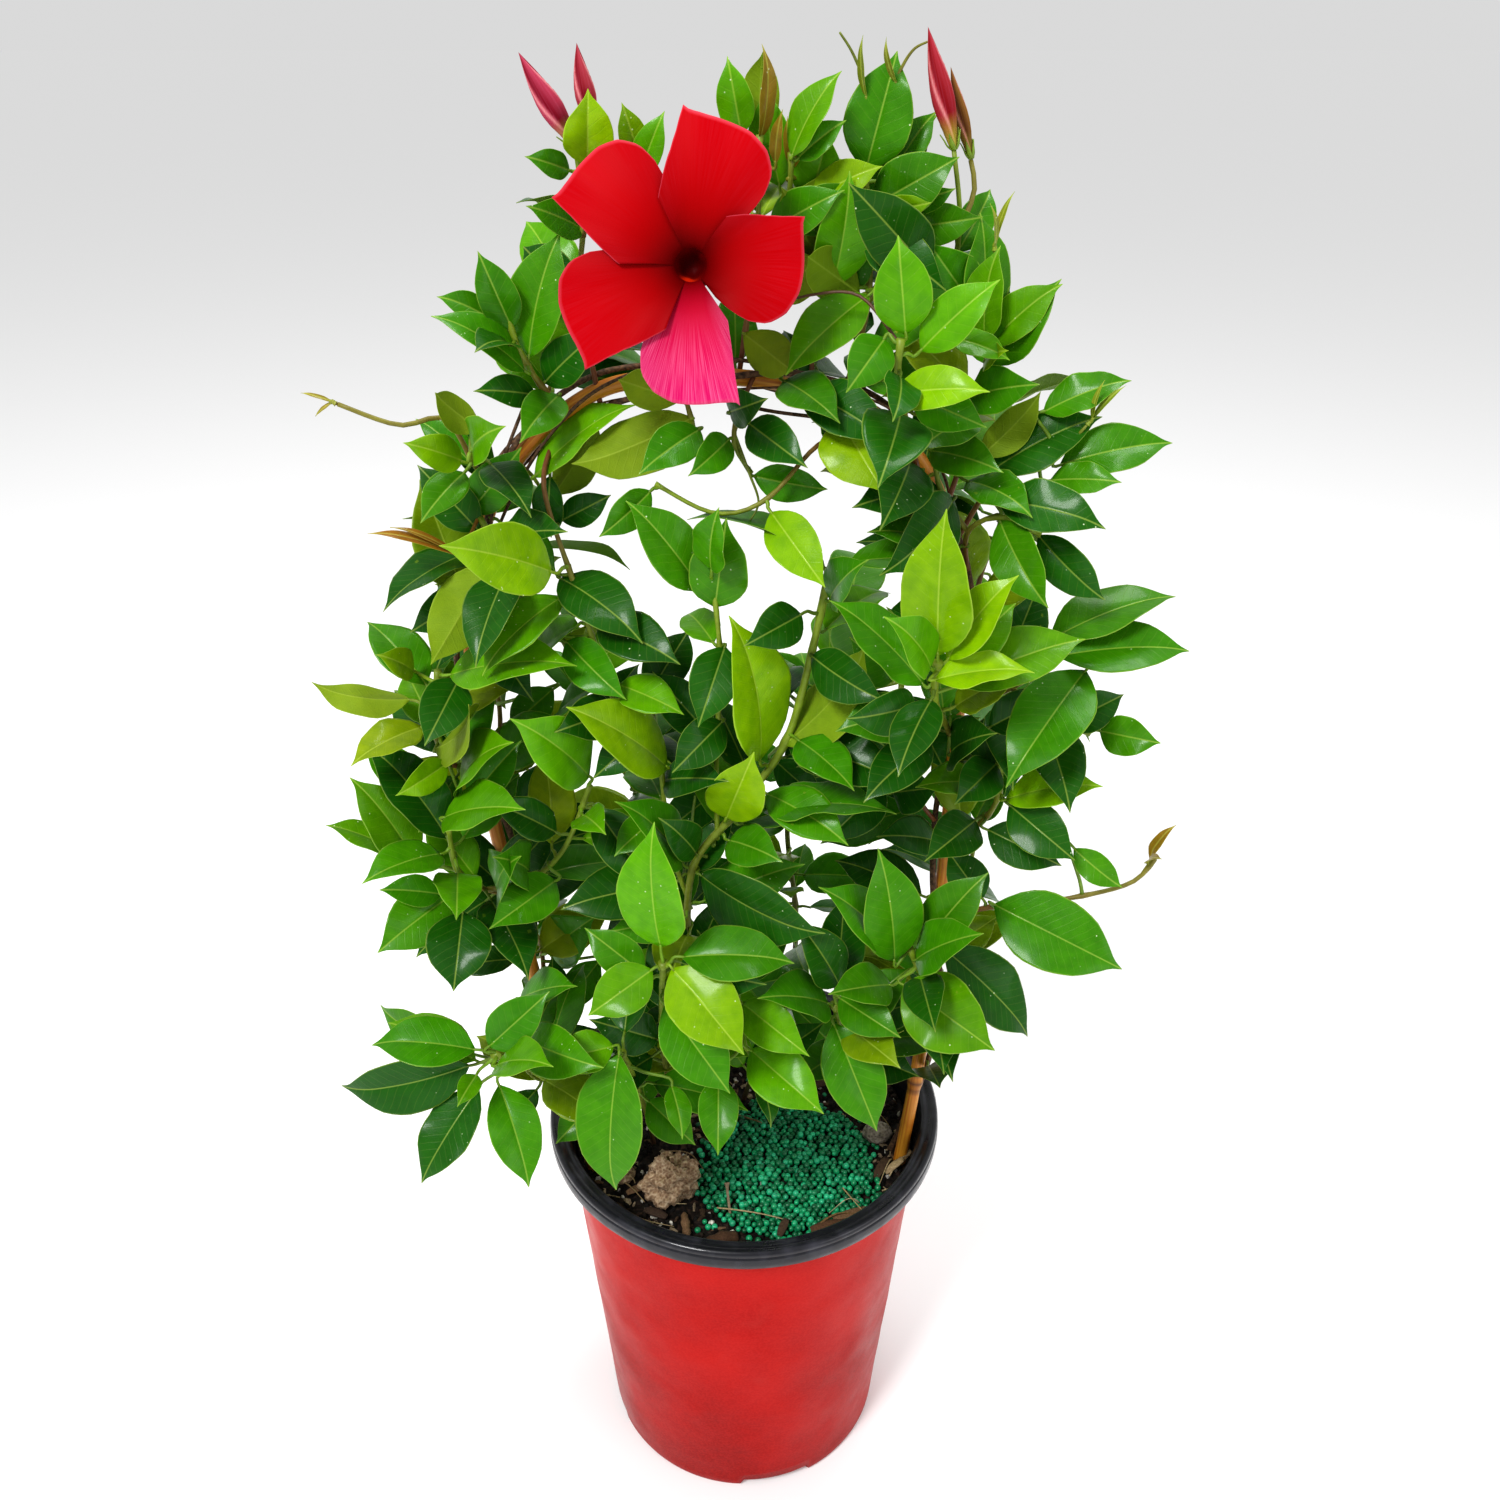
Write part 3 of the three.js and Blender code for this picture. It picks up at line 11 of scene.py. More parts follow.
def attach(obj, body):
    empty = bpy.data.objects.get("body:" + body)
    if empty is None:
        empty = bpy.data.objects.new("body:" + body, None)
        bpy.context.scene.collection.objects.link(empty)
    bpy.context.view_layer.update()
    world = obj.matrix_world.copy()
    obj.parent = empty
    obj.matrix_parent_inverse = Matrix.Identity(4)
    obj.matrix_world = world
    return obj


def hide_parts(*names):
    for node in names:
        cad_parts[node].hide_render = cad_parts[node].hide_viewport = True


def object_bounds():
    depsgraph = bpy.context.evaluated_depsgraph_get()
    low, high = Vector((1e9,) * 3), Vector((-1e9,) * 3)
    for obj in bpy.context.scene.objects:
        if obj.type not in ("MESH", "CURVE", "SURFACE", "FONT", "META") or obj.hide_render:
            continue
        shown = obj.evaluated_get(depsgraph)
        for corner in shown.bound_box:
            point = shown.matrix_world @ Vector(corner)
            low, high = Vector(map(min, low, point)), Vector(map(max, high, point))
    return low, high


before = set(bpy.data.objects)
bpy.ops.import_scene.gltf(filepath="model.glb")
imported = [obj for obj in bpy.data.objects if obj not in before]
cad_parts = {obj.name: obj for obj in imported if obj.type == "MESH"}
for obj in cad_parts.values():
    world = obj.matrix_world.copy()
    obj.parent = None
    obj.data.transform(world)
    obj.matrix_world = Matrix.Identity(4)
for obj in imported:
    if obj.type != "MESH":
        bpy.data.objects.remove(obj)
CAD_BOX = [list(corner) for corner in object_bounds()]
MM = 0.001

# Driving dimensions shared with the frame
POT_HEIGHT = 225
BASE_RADIUS = 80
BODY_TOP_RADIUS = 97
LIP_HEIGHT = 12
WALL = 2
FLOOR = 3
NOTCH_WIDTH = 40
NOTCH_HEIGHT = 6
NOTCH_TURN = 14
NOTCH_COUNT = 4
SOIL_TOP = 203
STEM_DEPTH = 24
BED_X, BED_Y, BED_HALF_WIDTH, BED_HALF_DEPTH = 24, -36, 50, 46
CANE_RADIUS = 3.5
VINE_RADIUS = 1.7
VINE_STEP = 24
VINE_TURNS = 4.98
VINE_PHASE = -1.5
VINE_START = 0.048
RIGHT_VINE_END = 0.66
LEFT_VINE_END = 0.36
VINE_TAPER = 0.35
VINE_OFFSET = CANE_RADIUS + VINE_RADIUS + 1.5
VINE_FOOT_SPREAD = 9
VINE_FOOT_RISE = 60
LEAST_BREADTH = 0.5
FOLD = 0.18
ARCH = 0.07
ROOT_BACK = 0.04
ROOT_OUT = 0.1
STEM_END = 2
STEM_TAPER = 0.15
VIEWER = (0, -550, 745)
PAIR_STEP = 60
FILL_LENGTH = 46
FILL_PETIOLE = 9
FILL_BREADTH = 0.55
FILL_FORWARD = 0.45
FILL_SEED = 5
FILLED = ("back", "low", "centre_main")

# The hoop, from the right foot over the arch to the left foot
HOOP = [
  [76, -24, 110], [85, -24, 203], [93, -12, 262], [98, -3, 330], [100, 0, 417], [98, 0, 497], [86, 0, 563],
  [62, 0, 598], [34, 0, 613], [0, 0, 619], [-34, 0, 619], [-62, 0, 613], [-92, 0, 590], [-113, 0, 556],
  [-124, 0, 500], [-125, 0, 440], [-117, -4, 370], [-102, -14, 290], [-82, -28, 203], [-70, -28, 110],
]

# Leafy shoots: name, what carries it, stem radius, the stem's path and any side branches
SHOOTS = [
  ["low_left", "left_vine", 1.3, [[-90, -24, 240], [-97, -52, 286], [-108, -76, 318], [-114, -87, 334]]],
  ["left_middle", "left_vine", 1.3, [[-114, -4, 362], [-122, -34, 388], [-129, -54, 412], [-129, -61, 440]],
    [[-122, -34, 388], [-102, -40, 396], [-82, -46, 418], [-68, -46, 452]]],
  ["left_far", "left_vine", 1.3, [[-124, 0, 436], [-137, -20, 450], [-136, -33, 478], [-131, -38, 504]]],
  ["left_upper", "left_vine", 1.3, [[-123, 0, 512], [-114, -20, 530], [-102, -32, 554], [-111, -18, 566]]],
  ["left_hang", "left_vine", 1.1, [[-84, 0, 598], [-82, -24, 580], [-71, -33, 542], [-62, -38, 512],
    [-56, -38, 486]]],
  ["left_shoulder", "left_vine", 1.1, [[-106, 0, 570], [-111, -18, 588], [-108, -30, 602]],
    [[-111, -18, 588], [-119, -26, 609], [-136, -32, 608], [-158, -35, 617]]],
  ["top_left", "left_vine", 1.2, [[-76, 0, 606], [-84, -10, 621], [-90, -15, 636], [-93, -15, 650]]],
  ["top_left_spray", "left_vine", 1.2, [[-62, 0, 612], [-66, 2, 650], [-63, -2, 674], [-62, -6, 694],
    [-63, -10, 706]], [[-63, -2, 674], [-58, -6, 696], [-56, -11, 711]]],
  ["flower_stalk", "right_vine", 1.3, [[-32, 0, 619], [-28, -2, 638], [-20, -2, 654], [-18, -6, 661]],
    [[-28, -2, 638], [-38, 6, 664], [-40, 2, 700]]],
  ["top_middle", "right_vine", 1.2, [[-2, 0, 620], [4, 4, 662], [6, 2, 692], [6, 0, 710]],
    [[4, 4, 662], [16, 2, 680], [18, -5, 704]]],
  ["top_right", "right_vine", 1.4, [[42, 0, 610], [50, 4, 648], [48, 6, 684], [47, 6, 700]],
    [[50, 4, 648], [58, 4, 664], [62, 3, 682]]],
  ["top_right_spray", "right_vine", 1.1, [[66, 0, 596], [80, 4, 640], [84, -1, 676], [79, -6, 705]],
    [[84, -1, 676], [89, 1, 690], [87, 3, 701]]],
  ["right_crown", "right_vine", 1.3, [[76, 0, 582], [66, -24, 604], [59, -38, 626], [59, -41, 643]]],
  ["right_shoulder", "right_vine", 1.2, [[86, 0, 566], [94, -9, 600], [97, -13, 626], [97, -12, 640]]],
  ["right_reach", "right_vine", 1.2, [[92, 0, 552], [104, -12, 578], [120, -17, 592], [134, -18, 598]]],
  ["right_bend", "right_vine", 1.2, [[95, 0, 536], [94, -20, 560], [106, -30, 570], [122, -30, 562]],
    [[94, -20, 560], [82, -16, 576], [78, -11, 594]]],
  ["right_lime", "right_vine", 1.4, [[98, 0, 448], [90, -36, 474], [79, -60, 502], [77, -73, 524]]],
  ["right_far", "right_vine", 1.2, [[100, 0, 462], [120, -18, 486], [136, -30, 506], [149, -30, 514]],
    [[120, -18, 486], [136, -22, 474], [156, -24, 466]]],
  ["right_middle", "right_vine", 1.3, [[100, 0, 388], [108, -22, 414], [116, -33, 440], [112, -34, 474]]],
  ["right_long", "right_vine", 1.2, [[98, -2, 342], [112, -28, 372], [148, -37, 384], [180, -38, 394],
    [190, -38, 408]]],
  ["right_low", "right_vine", 1.3, [[94, -12, 284], [90, -36, 326], [82, -57, 358], [76, -61, 374]]],
  ["right_inner", "right_vine", 1.2, [[99, 0, 404], [82, -6, 424], [72, -6, 450], [72, -6, 482]]],
  ["centre_main", "soil", 1.9, [[-20, 8, SOIL_TOP], [-26, -22, 300], [-25, -43, 400], [-4, -43, 436],
    [18, -37, 468], [29, -33, 510], [36, -26, 546]]],
  ["arch_arc", "right_vine", 1.0, [[52, 0, 604], [30, -18, 596], [9, -30, 577], [-12, -32, 572],
    [-36, -28, 583]]],
  ["arch_right", "left_vine", 1.0, [[46, 0, 608], [38, -12, 611], [24, -14, 617]]],
  ["centre_upper", "centre_main", 1.2, [[-12, -43, 422], [-12, -46, 466], [-10, -44, 512], [-13, -42, 548]]],
  ["centre_left", "centre_main", 1.2, [[-26, -38, 384], [-34, -44, 420], [-37, -40, 462], [-42, -35, 496]]],
  ["arch_left_hang", "left_vine", 1.0, [[-30, 0, 619], [-23, -12, 611], [-20, -15, 596]]],
  ["arch_right_hang", "left_vine", 1.0, [[4, 0, 619], [-2, -11, 608], [-4, -16, 596], [3, -17, 584]]],
  ["low_tall", "soil", 1.4, [[-38, 4, SOIL_TOP], [-40, -42, 290], [-38, -74, 350], [-35, -90, 388]]],
  ["low_centre", "soil", 1.3, [[0, 22, SOIL_TOP], [6, -30, 276], [0, -66, 322], [-3, -76, 352]]],
  ["low_front", "soil", 1.3, [[-50, -12, SOIL_TOP], [-52, -46, 268], [-54, -72, 312], [-56, -84, 332]]],
  ["low_right", "soil", 1.3, [[58, 26, SOIL_TOP], [56, -18, 272], [49, -52, 312], [42, -67, 346]]],
  ["back_low_left", "left_vine", 1.3, [[-100, -16, 280], [-108, 18, 312], [-122, 44, 346], [-124, 58, 384]]],
  ["back_left", "left_vine", 1.3, [[-125, 0, 424], [-120, 28, 448], [-126, 52, 484], [-116, 60, 520]]],
  ["back_top_left", "left_vine", 1.2, [[-98, 0, 582], [-88, 26, 600], [-72, 40, 634], [-56, 42, 664]]],
  ["back_top_right", "right_vine", 1.2, [[28, 0, 614], [32, 26, 634], [46, 40, 656], [50, 42, 684]]],
  ["back_right", "right_vine", 1.3, [[97, 0, 510], [110, 26, 524], [122, 46, 552], [112, 52, 590]]],
  ["back_right_middle", "right_vine", 1.3, [[100, 0, 424], [112, 26, 440], [128, 48, 470], [124, 60, 506]]],
  ["back_low_right", "right_vine", 1.3, [[96, -8, 300], [106, 20, 322], [122, 44, 352], [126, 58, 392]]],
  ["back_tall", "soil", 1.6, [[22, 52, SOIL_TOP], [30, 66, 290], [24, 72, 362], [36, 66, 430],
    [52, 58, 488]]],
  ["back_wide", "soil", 1.6, [[-32, 54, SOIL_TOP], [-44, 66, 290], [-52, 70, 360], [-78, 62, 430],
    [-90, 52, 480]]],
]

# Leaves placed one by one: blade base, blade tip, breadth as seen from the front, and tone.
# Tones: L lime, B bright, M mid green, D dark, O underside, Z bronze
LEAVES = {
  "low_left": [
    [-124, -85, 311, -150, -110, 276, 23, "D"], [-114, -85, 313, -98, -115, 279, 23, "M"],
    [-122, -92, 326, -127, -112, 326, 10, "B"], [-112, -95, 334, -83, -120, 358, 15, "B"],
    [-116, -88, 339, -87, -85, 368, 21, "M"], [-127, -85, 325, -187, -80, 313, 21, "D"],
    [-125, -80, 324, -166, -70, 342, 21, "B"], [-135, -60, 312, -179, -45, 326, 17, "M"],
    [-102, -75, 332, -64, -105, 342, 24, "M"], [-106, -60, 343, -76, -80, 368, 15, "M"],
  ],
  "left_middle": [
    [-127, -62, 395, -128, -90, 373, 29, "D"], [-126, -66, 419, -120, -100, 420, 21, "B"],
    [-138, -55, 400, -160, -70, 413, 14, "M"], [-158, -42, 414, -188, -45, 431, 12, "B"],
    [-133, -50, 427, -165, -40, 470, 20, "D"], [-130, -62, 445, -90, -90, 467, 19, "B"],
    [-86, -50, 404, -110, -85, 403, 22, "M"], [-149, -50, 415, -146, -70, 462, 16, "B"],
    [-113, -45, 390, -82, -70, 430, 19, "M"], [-122, -45, 444, -98, -40, 471, 18, "M"],
    [-68, -47, 457, -93, -75, 500, 24, "B"], [-66, -46, 440, -42, -60, 408, 22, "D"],
  ],
  "left_far": [
    [-127, -40, 449, -83, -65, 477, 20, "B"], [-137, -35, 464, -92, -60, 482, 19, "O"],
    [-122, -40, 501, -132, -70, 485, 21, "D"], [-125, -42, 504, -70, -55, 516, 20, "B"],
    [-147, -30, 486, -189, -30, 493, 10, "O"], [-143, -32, 501, -151, -52, 518, 12, "L"],
    [-146, -30, 440, -172, -25, 462, 18, "M"], [-131, -42, 461, -148, -65, 458, 14, "L"],
  ],
  "left_upper": [
    [-97, -35, 549, -108, -70, 521, 19, "D"], [-105, -35, 551, -128, -60, 517, 25, "O"],
    [-102, -25, 558, -71, -50, 571, 17, "D"], [-111, -20, 560, -135, -15, 587, 19, "D"],
    [-116, -15, 566, -106, -30, 598, 17, "M"], [-114, -20, 534, -142, -34, 520, 18, "D"],
  ],
  "left_hang": [
    [-78, -46, 552, -112, -76, 585, 23, "L"], [-77, -30, 543, -41, -60, 528, 20, "D"],
    [-76, -32, 515, -50, -57, 500, 19, "M"], [-56, -40, 486, -84, -60, 484, 20, "D"],
  ],
  "left_shoulder": [
    [-105, -28, 605, -118, -45, 624, 13, "O"], [-113, -30, 593, -130, -50, 606, 14, "L"],
    [-108, -32, 598, -91, -60, 615, 13, "B"], [-104, -20, 589, -84, -50, 578, 17, "D"],
  ],
  "top_left": [
    [-91, -15, 641, -101, -20, 671, 16, "M"], [-86, -12, 630, -71, -10, 677, 18, "M"],
    [-98, -13, 644, -118, -20, 655, 9, "M"], [-87, -18, 626, -117, -35, 651, 9, "M"],
    [-81, -8, 619, -56, -20, 642, 17, "D"], [-85, -8, 614, -106, -25, 620, 13, "D"],
    [-76, -4, 613, -88, -35, 603, 16, "M"],
  ],
  "top_left_spray": [
    [-59, -8, 700, -57, -10, 728, 19, "L"], [-66, -6, 698, -80, -20, 704, 10, "M"],
    [-62, 0, 676, -84, -15, 686, 13, "M"], [-68, 2, 650, -90, 18, 668, 20, "D"],
  ],
  "flower_stalk": [[-40, 0, 696, -30, -4, 718, 12, "B"], [-40, 2, 700, -44, -8, 720, 11, "L"]],
  "top_middle": [
    [-1, 0, 710, -6, -6, 736, 14, "B"], [6, 0, 708, 8, -5, 740, 8, "Z"],
    [12, 0, 700, 14, -10, 719, 9, "Z"], [10, 0, 676, 37, -15, 692, 17, "M"],
    [8, 4, 650, 31, -10, 667, 19, "O"], [18, -7, 703, 35, -10, 732, 9, "B"],
    [20, -6, 702, 31, -20, 716, 10, "M"], [20, -2, 676, 40, -5, 694, 17, "M"],
    [0, 4, 636, 20, -22, 626, 18, "O"], [-4, 4, 660, -30, 14, 684, 20, "D"],
  ],
  "top_right": [
    [47, 5, 697, 57, 5, 738, 26, "M"], [57, 7, 694, 73, 8, 718, 12, "M"],
    [50, 0, 685, 80, -12, 703, 22, "M"], [47, -4, 675, 77, -25, 658, 19, "D"],
    [63, 4, 676, 91, -10, 682, 16, "M"], [62, 0, 686, 70, -20, 692, 11, "M"],
    [46, 5, 681, 20, -5, 692, 18, "O"], [46, 2, 652, 20, -20, 672, 20, "O"],
  ],
  "top_right_spray": [[84, 0, 668, 98, 14, 690, 14, "M"], [78, 2, 640, 64, 26, 662, 18, "D"]],
  "right_crown": [
    [61, -38, 644, 56, -40, 679, 22, "B"], [67, -38, 638, 93, -45, 665, 18, "B"],
    [53, -40, 643, 38, -60, 628, 18, "M"], [59, -45, 630, 54, -75, 621, 13, "D"],
    [57, -45, 623, 77, -72, 639, 13, "L"], [66, -34, 620, 92, -50, 612, 18, "M"],
  ],
  "right_shoulder": [
    [99, -12, 627, 121, -20, 661, 20, "M"], [96, -10, 636, 105, -10, 672, 13, "B"],
    [96, -14, 629, 99, -37, 638, 9, "L"], [92, -10, 614, 112, -40, 626, 18, "M"],
    [94, -10, 606, 68, -40, 600, 17, "M"],
  ],
  "right_reach": [
    [122, -12, 608, 154, -18, 623, 14, "M"], [130, -18, 588, 174, -20, 598, 19, "M"],
    [101, -12, 582, 148, -10, 602, 19, "D"], [98, -13, 590, 123, -8, 613, 15, "O"],
    [126, -20, 582, 151, -35, 586, 13, "M"],
  ],
  "right_bend": [
    [105, -30, 568, 121, -60, 542, 19, "M"], [104, -28, 576, 145, -40, 563, 19, "D"],
    [122, -28, 561, 148, -45, 539, 17, "D"], [87, -20, 574, 56, -60, 556, 21, "D"],
    [82, -15, 576, 44, -38, 577, 19, "D"], [77, -12, 592, 102, -40, 592, 16, "M"],
  ],
  "right_lime": [
    [77, -72, 527, 75, -75, 587, 29, "L"], [81, -72, 525, 104, -75, 562, 17, "L"],
    [74, -76, 523, 54, -98, 554, 15, "B"], [76, -76, 518, 111, -86, 531, 13, "L"],
    [73, -66, 511, 35, -60, 546, 19, "M"], [89, -60, 508, 138, -60, 529, 21, "B"],
    [76, -70, 506, 60, -102, 489, 18, "D"], [71, -60, 499, 41, -85, 505, 18, "D"],
    [80, -50, 476, 50, -76, 462, 19, "D"], [92, -35, 462, 102, -72, 492, 19, "D"],
  ],
  "right_far": [
    [135, -34, 509, 190, -36, 513, 20, "M"], [132, -28, 514, 187, -15, 516, 16, "M"],
    [146, -38, 504, 109, -76, 470, 31, "M"], [160, -25, 468, 182, -42, 471, 18, "M"],
    [143, -24, 470, 170, -20, 484, 18, "D"],
  ],
  "right_middle": [
    [118, -38, 440, 156, -52, 456, 15, "L"], [120, -38, 437, 146, -62, 423, 23, "D"],
    [112, -35, 422, 144, -50, 412, 21, "D"], [107, -30, 424, 81, -60, 422, 22, "D"],
    [108, -35, 475, 130, -52, 500, 19, "D"], [113, -34, 456, 92, -58, 450, 20, "D"],
  ],
  "right_long": [
    [150, -45, 418, 171, -56, 404, 13, "M"], [119, -35, 380, 176, -60, 361, 36, "M"],
    [188, -38, 407, 197, -40, 428, 8, "Z"], [187, -38, 406, 189, -57, 418, 8, "Z"],
    [114, -30, 380, 97, -20, 401, 20, "D"],
  ],
  "right_low": [
    [69, -65, 370, 60, -60, 427, 26, "M"], [83, -60, 375, 108, -60, 415, 22, "M"],
    [74, -66, 357, 112, -96, 344, 35, "B"], [93, -55, 369, 136, -66, 326, 26, "D"],
    [68, -65, 356, 38, -92, 373, 21, "M"], [79, -62, 368, 94, -92, 407, 19, "M"],
    [66, -55, 374, 42, -76, 417, 20, "M"],
  ],
  "right_inner": [
    [70, -15, 430, 88, -34, 444, 22, "D"], [66, -10, 432, 36, -40, 418, 22, "D"],
    [74, -10, 446, 57, -27, 466, 22, "D"], [66, -6, 458, 34, -30, 472, 22, "D"],
    [75, -6, 476, 98, -26, 452, 21, "D"], [70, -6, 486, 46, -26, 514, 21, "M"],
  ],
  "centre_main": [
    [8, -46, 439, 65, -66, 451, 15, "M"], [-8, -48, 436, 4, -64, 478, 26, "L"],
    [18, -38, 468, 53, -45, 518, 20, "O"], [7, -43, 463, -4, -50, 534, 18, "L"],
    [-20, -48, 406, 34, -82, 396, 21, "D"], [20, -35, 466, 68, -60, 461, 20, "D"],
    [29, -36, 510, 57, -66, 503, 19, "D"], [-28, -45, 410, -52, -66, 456, 17, "M"],
    [-30, -46, 380, -62, -62, 384, 18, "M"], [24, -38, 530, 1, -60, 526, 19, "D"],
    [36, -32, 534, 47, -60, 562, 16, "M"], [-26, -24, 310, 4, -48, 300, 22, "D"],
  ],
  "arch_arc": [[11, -34, 573, 32, -60, 551, 20, "L"], [-38, -28, 580, -58, -44, 566, 14, "M"]],
  "arch_right": [[38, -18, 608, 55, -46, 585, 29, "L"], [24, -14, 617, 58, -36, 598, 19, "D"]],
  "centre_upper": [
    [-12, -42, 535, -7, -45, 574, 25, "M"], [-18, -38, 541, -46, -40, 580, 21, "M"],
    [-13, -48, 553, -10, -62, 584, 11, "M"], [-8, -44, 518, -18, -72, 497, 21, "D"],
    [-9, -46, 484, -30, -66, 470, 19, "D"], [-14, -46, 476, -40, -30, 500, 20, "D"],
  ],
  "centre_left": [
    [-34, -42, 459, -70, -56, 507, 20, "L"], [-36, -38, 450, -4, -62, 462, 20, "D"],
    [-42, -34, 490, -22, -24, 520, 20, "D"], [-40, -36, 478, -62, -62, 466, 18, "D"],
    [-38, -46, 436, -46, -72, 430, 16, "M"],
  ],
  "arch_left_hang": [
    [-21, -14, 606, -69, -32, 591, 24, "O"], [-26, -8, 612, -50, -24, 624, 16, "O"],
    [-18, -16, 602, -41, -42, 592, 17, "M"],
  ],
  "arch_right_hang": [
    [2, -14, 604, 24, -40, 594, 18, "D"], [-6, -16, 598, -24, -38, 588, 15, "M"],
    [4, -17, 583, 30, -34, 580, 15, "M"], [-6, -12, 608, 8, -32, 618, 16, "D"],
  ],
  "low_tall": [
    [-36, -90, 397, -38, -92, 459, 27, "B"], [-40, -92, 386, -67, -107, 373, 22, "B"],
    [-31, -94, 388, 0, -122, 363, 30, "L"], [-35, -90, 365, -6, -113, 334, 27, "M"],
    [-28, -82, 382, 9, -100, 384, 20, "D"], [-44, -85, 378, -70, -78, 398, 18, "M"],
    [-42, -52, 312, -72, -66, 336, 22, "D"],
  ],
  "low_centre": [
    [-1, -78, 356, 28, -106, 350, 21, "B"], [3, -80, 330, 35, -110, 320, 26, "B"],
    [-12, -78, 312, -12, -106, 290, 19, "M"], [8, -70, 304, 13, -92, 294, 11, "D"],
    [-4, -72, 362, -20, -82, 399, 21, "D"], [6, -40, 290, 34, -62, 276, 22, "D"],
  ],
  "low_front": [
    [-57, -88, 334, -61, -112, 272, 27, "M"], [-34, -84, 312, -28, -104, 298, 11, "M"],
    [-60, -82, 334, -84, -102, 336, 20, "B"], [-70, -68, 290, -90, -86, 277, 18, "M"],
    [-48, -56, 276, -24, -72, 262, 20, "M"],
  ],
  "low_right": [
    [42, -70, 337, 62, -97, 295, 28, "M"], [44, -68, 351, 70, -92, 348, 20, "M"],
    [51, -56, 309, 24, -86, 316, 18, "M"], [44, -66, 357, 24, -72, 397, 21, "D"],
    [39, -70, 349, 8, -100, 378, 22, "M"], [60, -30, 284, 86, -56, 292, 22, "D"],
  ],
}

# Flower: centre, where it faces, and each petal's turn (degrees) and reach
PETALS = [(18, 45), (90, 54), (153, 56), (221, 55), (289, 54)]
FLOWER_CENTRE = (-20, -40, 670)
FLOWER_FACING = (-0.03, -0.96, 0.27)

# Buds: name, base, tip and greatest radius
BUDS = [
  ["bud_left_long", [-63, -10, 707], [-81, -15, 738], 4.4],
  ["bud_left_short", [-56, -12, 712], [-60, -14, 741], 3.8],
  ["bud_right_red", [79, -6, 706], [66, -10, 746], 4.2],
  ["bud_right_brown", [87, 3, 702], [77, 4, 733], 2.8],
]

# Pieces lying on the potting mix: name, place, half sizes and turn
LITTER = [
  ["rock_tan", [-38, -48], [14, 11, 17], 20],
  ["pebble_grey", [74, -8], [8, 6, 6], 0],
  ["pebble_pale", [-64, -38], [6, 5, 4], 40],
  ["bark_chip", [-12, -80], [9, 4, 3], 20],
  ["twig", [-30, -71], [2.2, 8, 2], 8],
]

# Small helpers for points and directions, all in millimetres

def unit(v):
    return v / np.linalg.norm(v)


def sideways(axis, up):
    return unit(np.cross(axis, up))


def turned(v, axis, angle):
    """v turned about a unit axis."""
    return (v * math.cos(angle) + np.cross(axis, v) * math.sin(angle)
            + axis * np.dot(axis, v) * (1 - math.cos(angle)))


def seeded(seed):
    """The frame's own repeatable random stream."""
    state = seed

    def draw():
        nonlocal state
        state = (state * 1664525 + 1013904223) & 0xFFFFFFFF
        return state / 4294967296

    return draw


def smooth(points, steps):
    """A smooth line through points, with a number of steps in each span."""
    pts = [np.array(p, float) for p in points]
    out = []
    for i in range(len(pts) - 1):
        p0, p1, p2 = pts[max(i - 1, 0)], pts[i], pts[i + 1]
        p3 = pts[min(i + 2, len(pts) - 1)]
        for k in range(steps):
            t = k / steps
            out.append(0.5 * (2 * p1 + (p2 - p0) * t + (2 * p0 - 5 * p1 + 4 * p2 - p3) * t * t
                              + (3 * p1 - 3 * p2 + p3 - p0) * t ** 3))
    out.append(pts[-1])
    return np.array(out)


def evenly(line, step):
    """Points an equal step apart along a line."""
    line = np.array(line, float)
    lengths = np.concatenate([[0], np.cumsum(np.linalg.norm(np.diff(line, axis=0), axis=1))])
    count = max(1, math.floor(lengths[-1] / step + 0.5))
    wanted = np.linspace(0, lengths[-1], count + 1)
    return np.stack([np.interp(wanted, lengths, line[:, k]) for k in range(3)], axis=1)


def nearest(line, point):
    """The point of a line that lies nearest to a given point."""
    a, b = np.array(line[:-1]), np.array(line[1:])
    span = b - a
    t = np.clip(((point - a) * span).sum(1) / (span * span).sum(1), 0, 1)
    found = a + span * t[:, None]
    return found[np.argmin(np.linalg.norm(found - point, axis=1))]


def sections(path, first_side=None):
    """Unit side and up directions square to a path, without twist."""
    path = np.array(path, float)
    tangents = np.gradient(path, axis=0)
    tangents /= np.linalg.norm(tangents, axis=1)[:, None]
    side = first_side
    if side is None:
        side = np.array([0, 0, 1.0]) if abs(tangents[0][2]) < 0.9 else np.array([0, 1.0, 0])
    sides = []
    for t in tangents:
        side = unit(side - t * np.dot(side, t))
        sides.append(side)
    sides = np.array(sides)
    return sides, np.cross(tangents, sides)


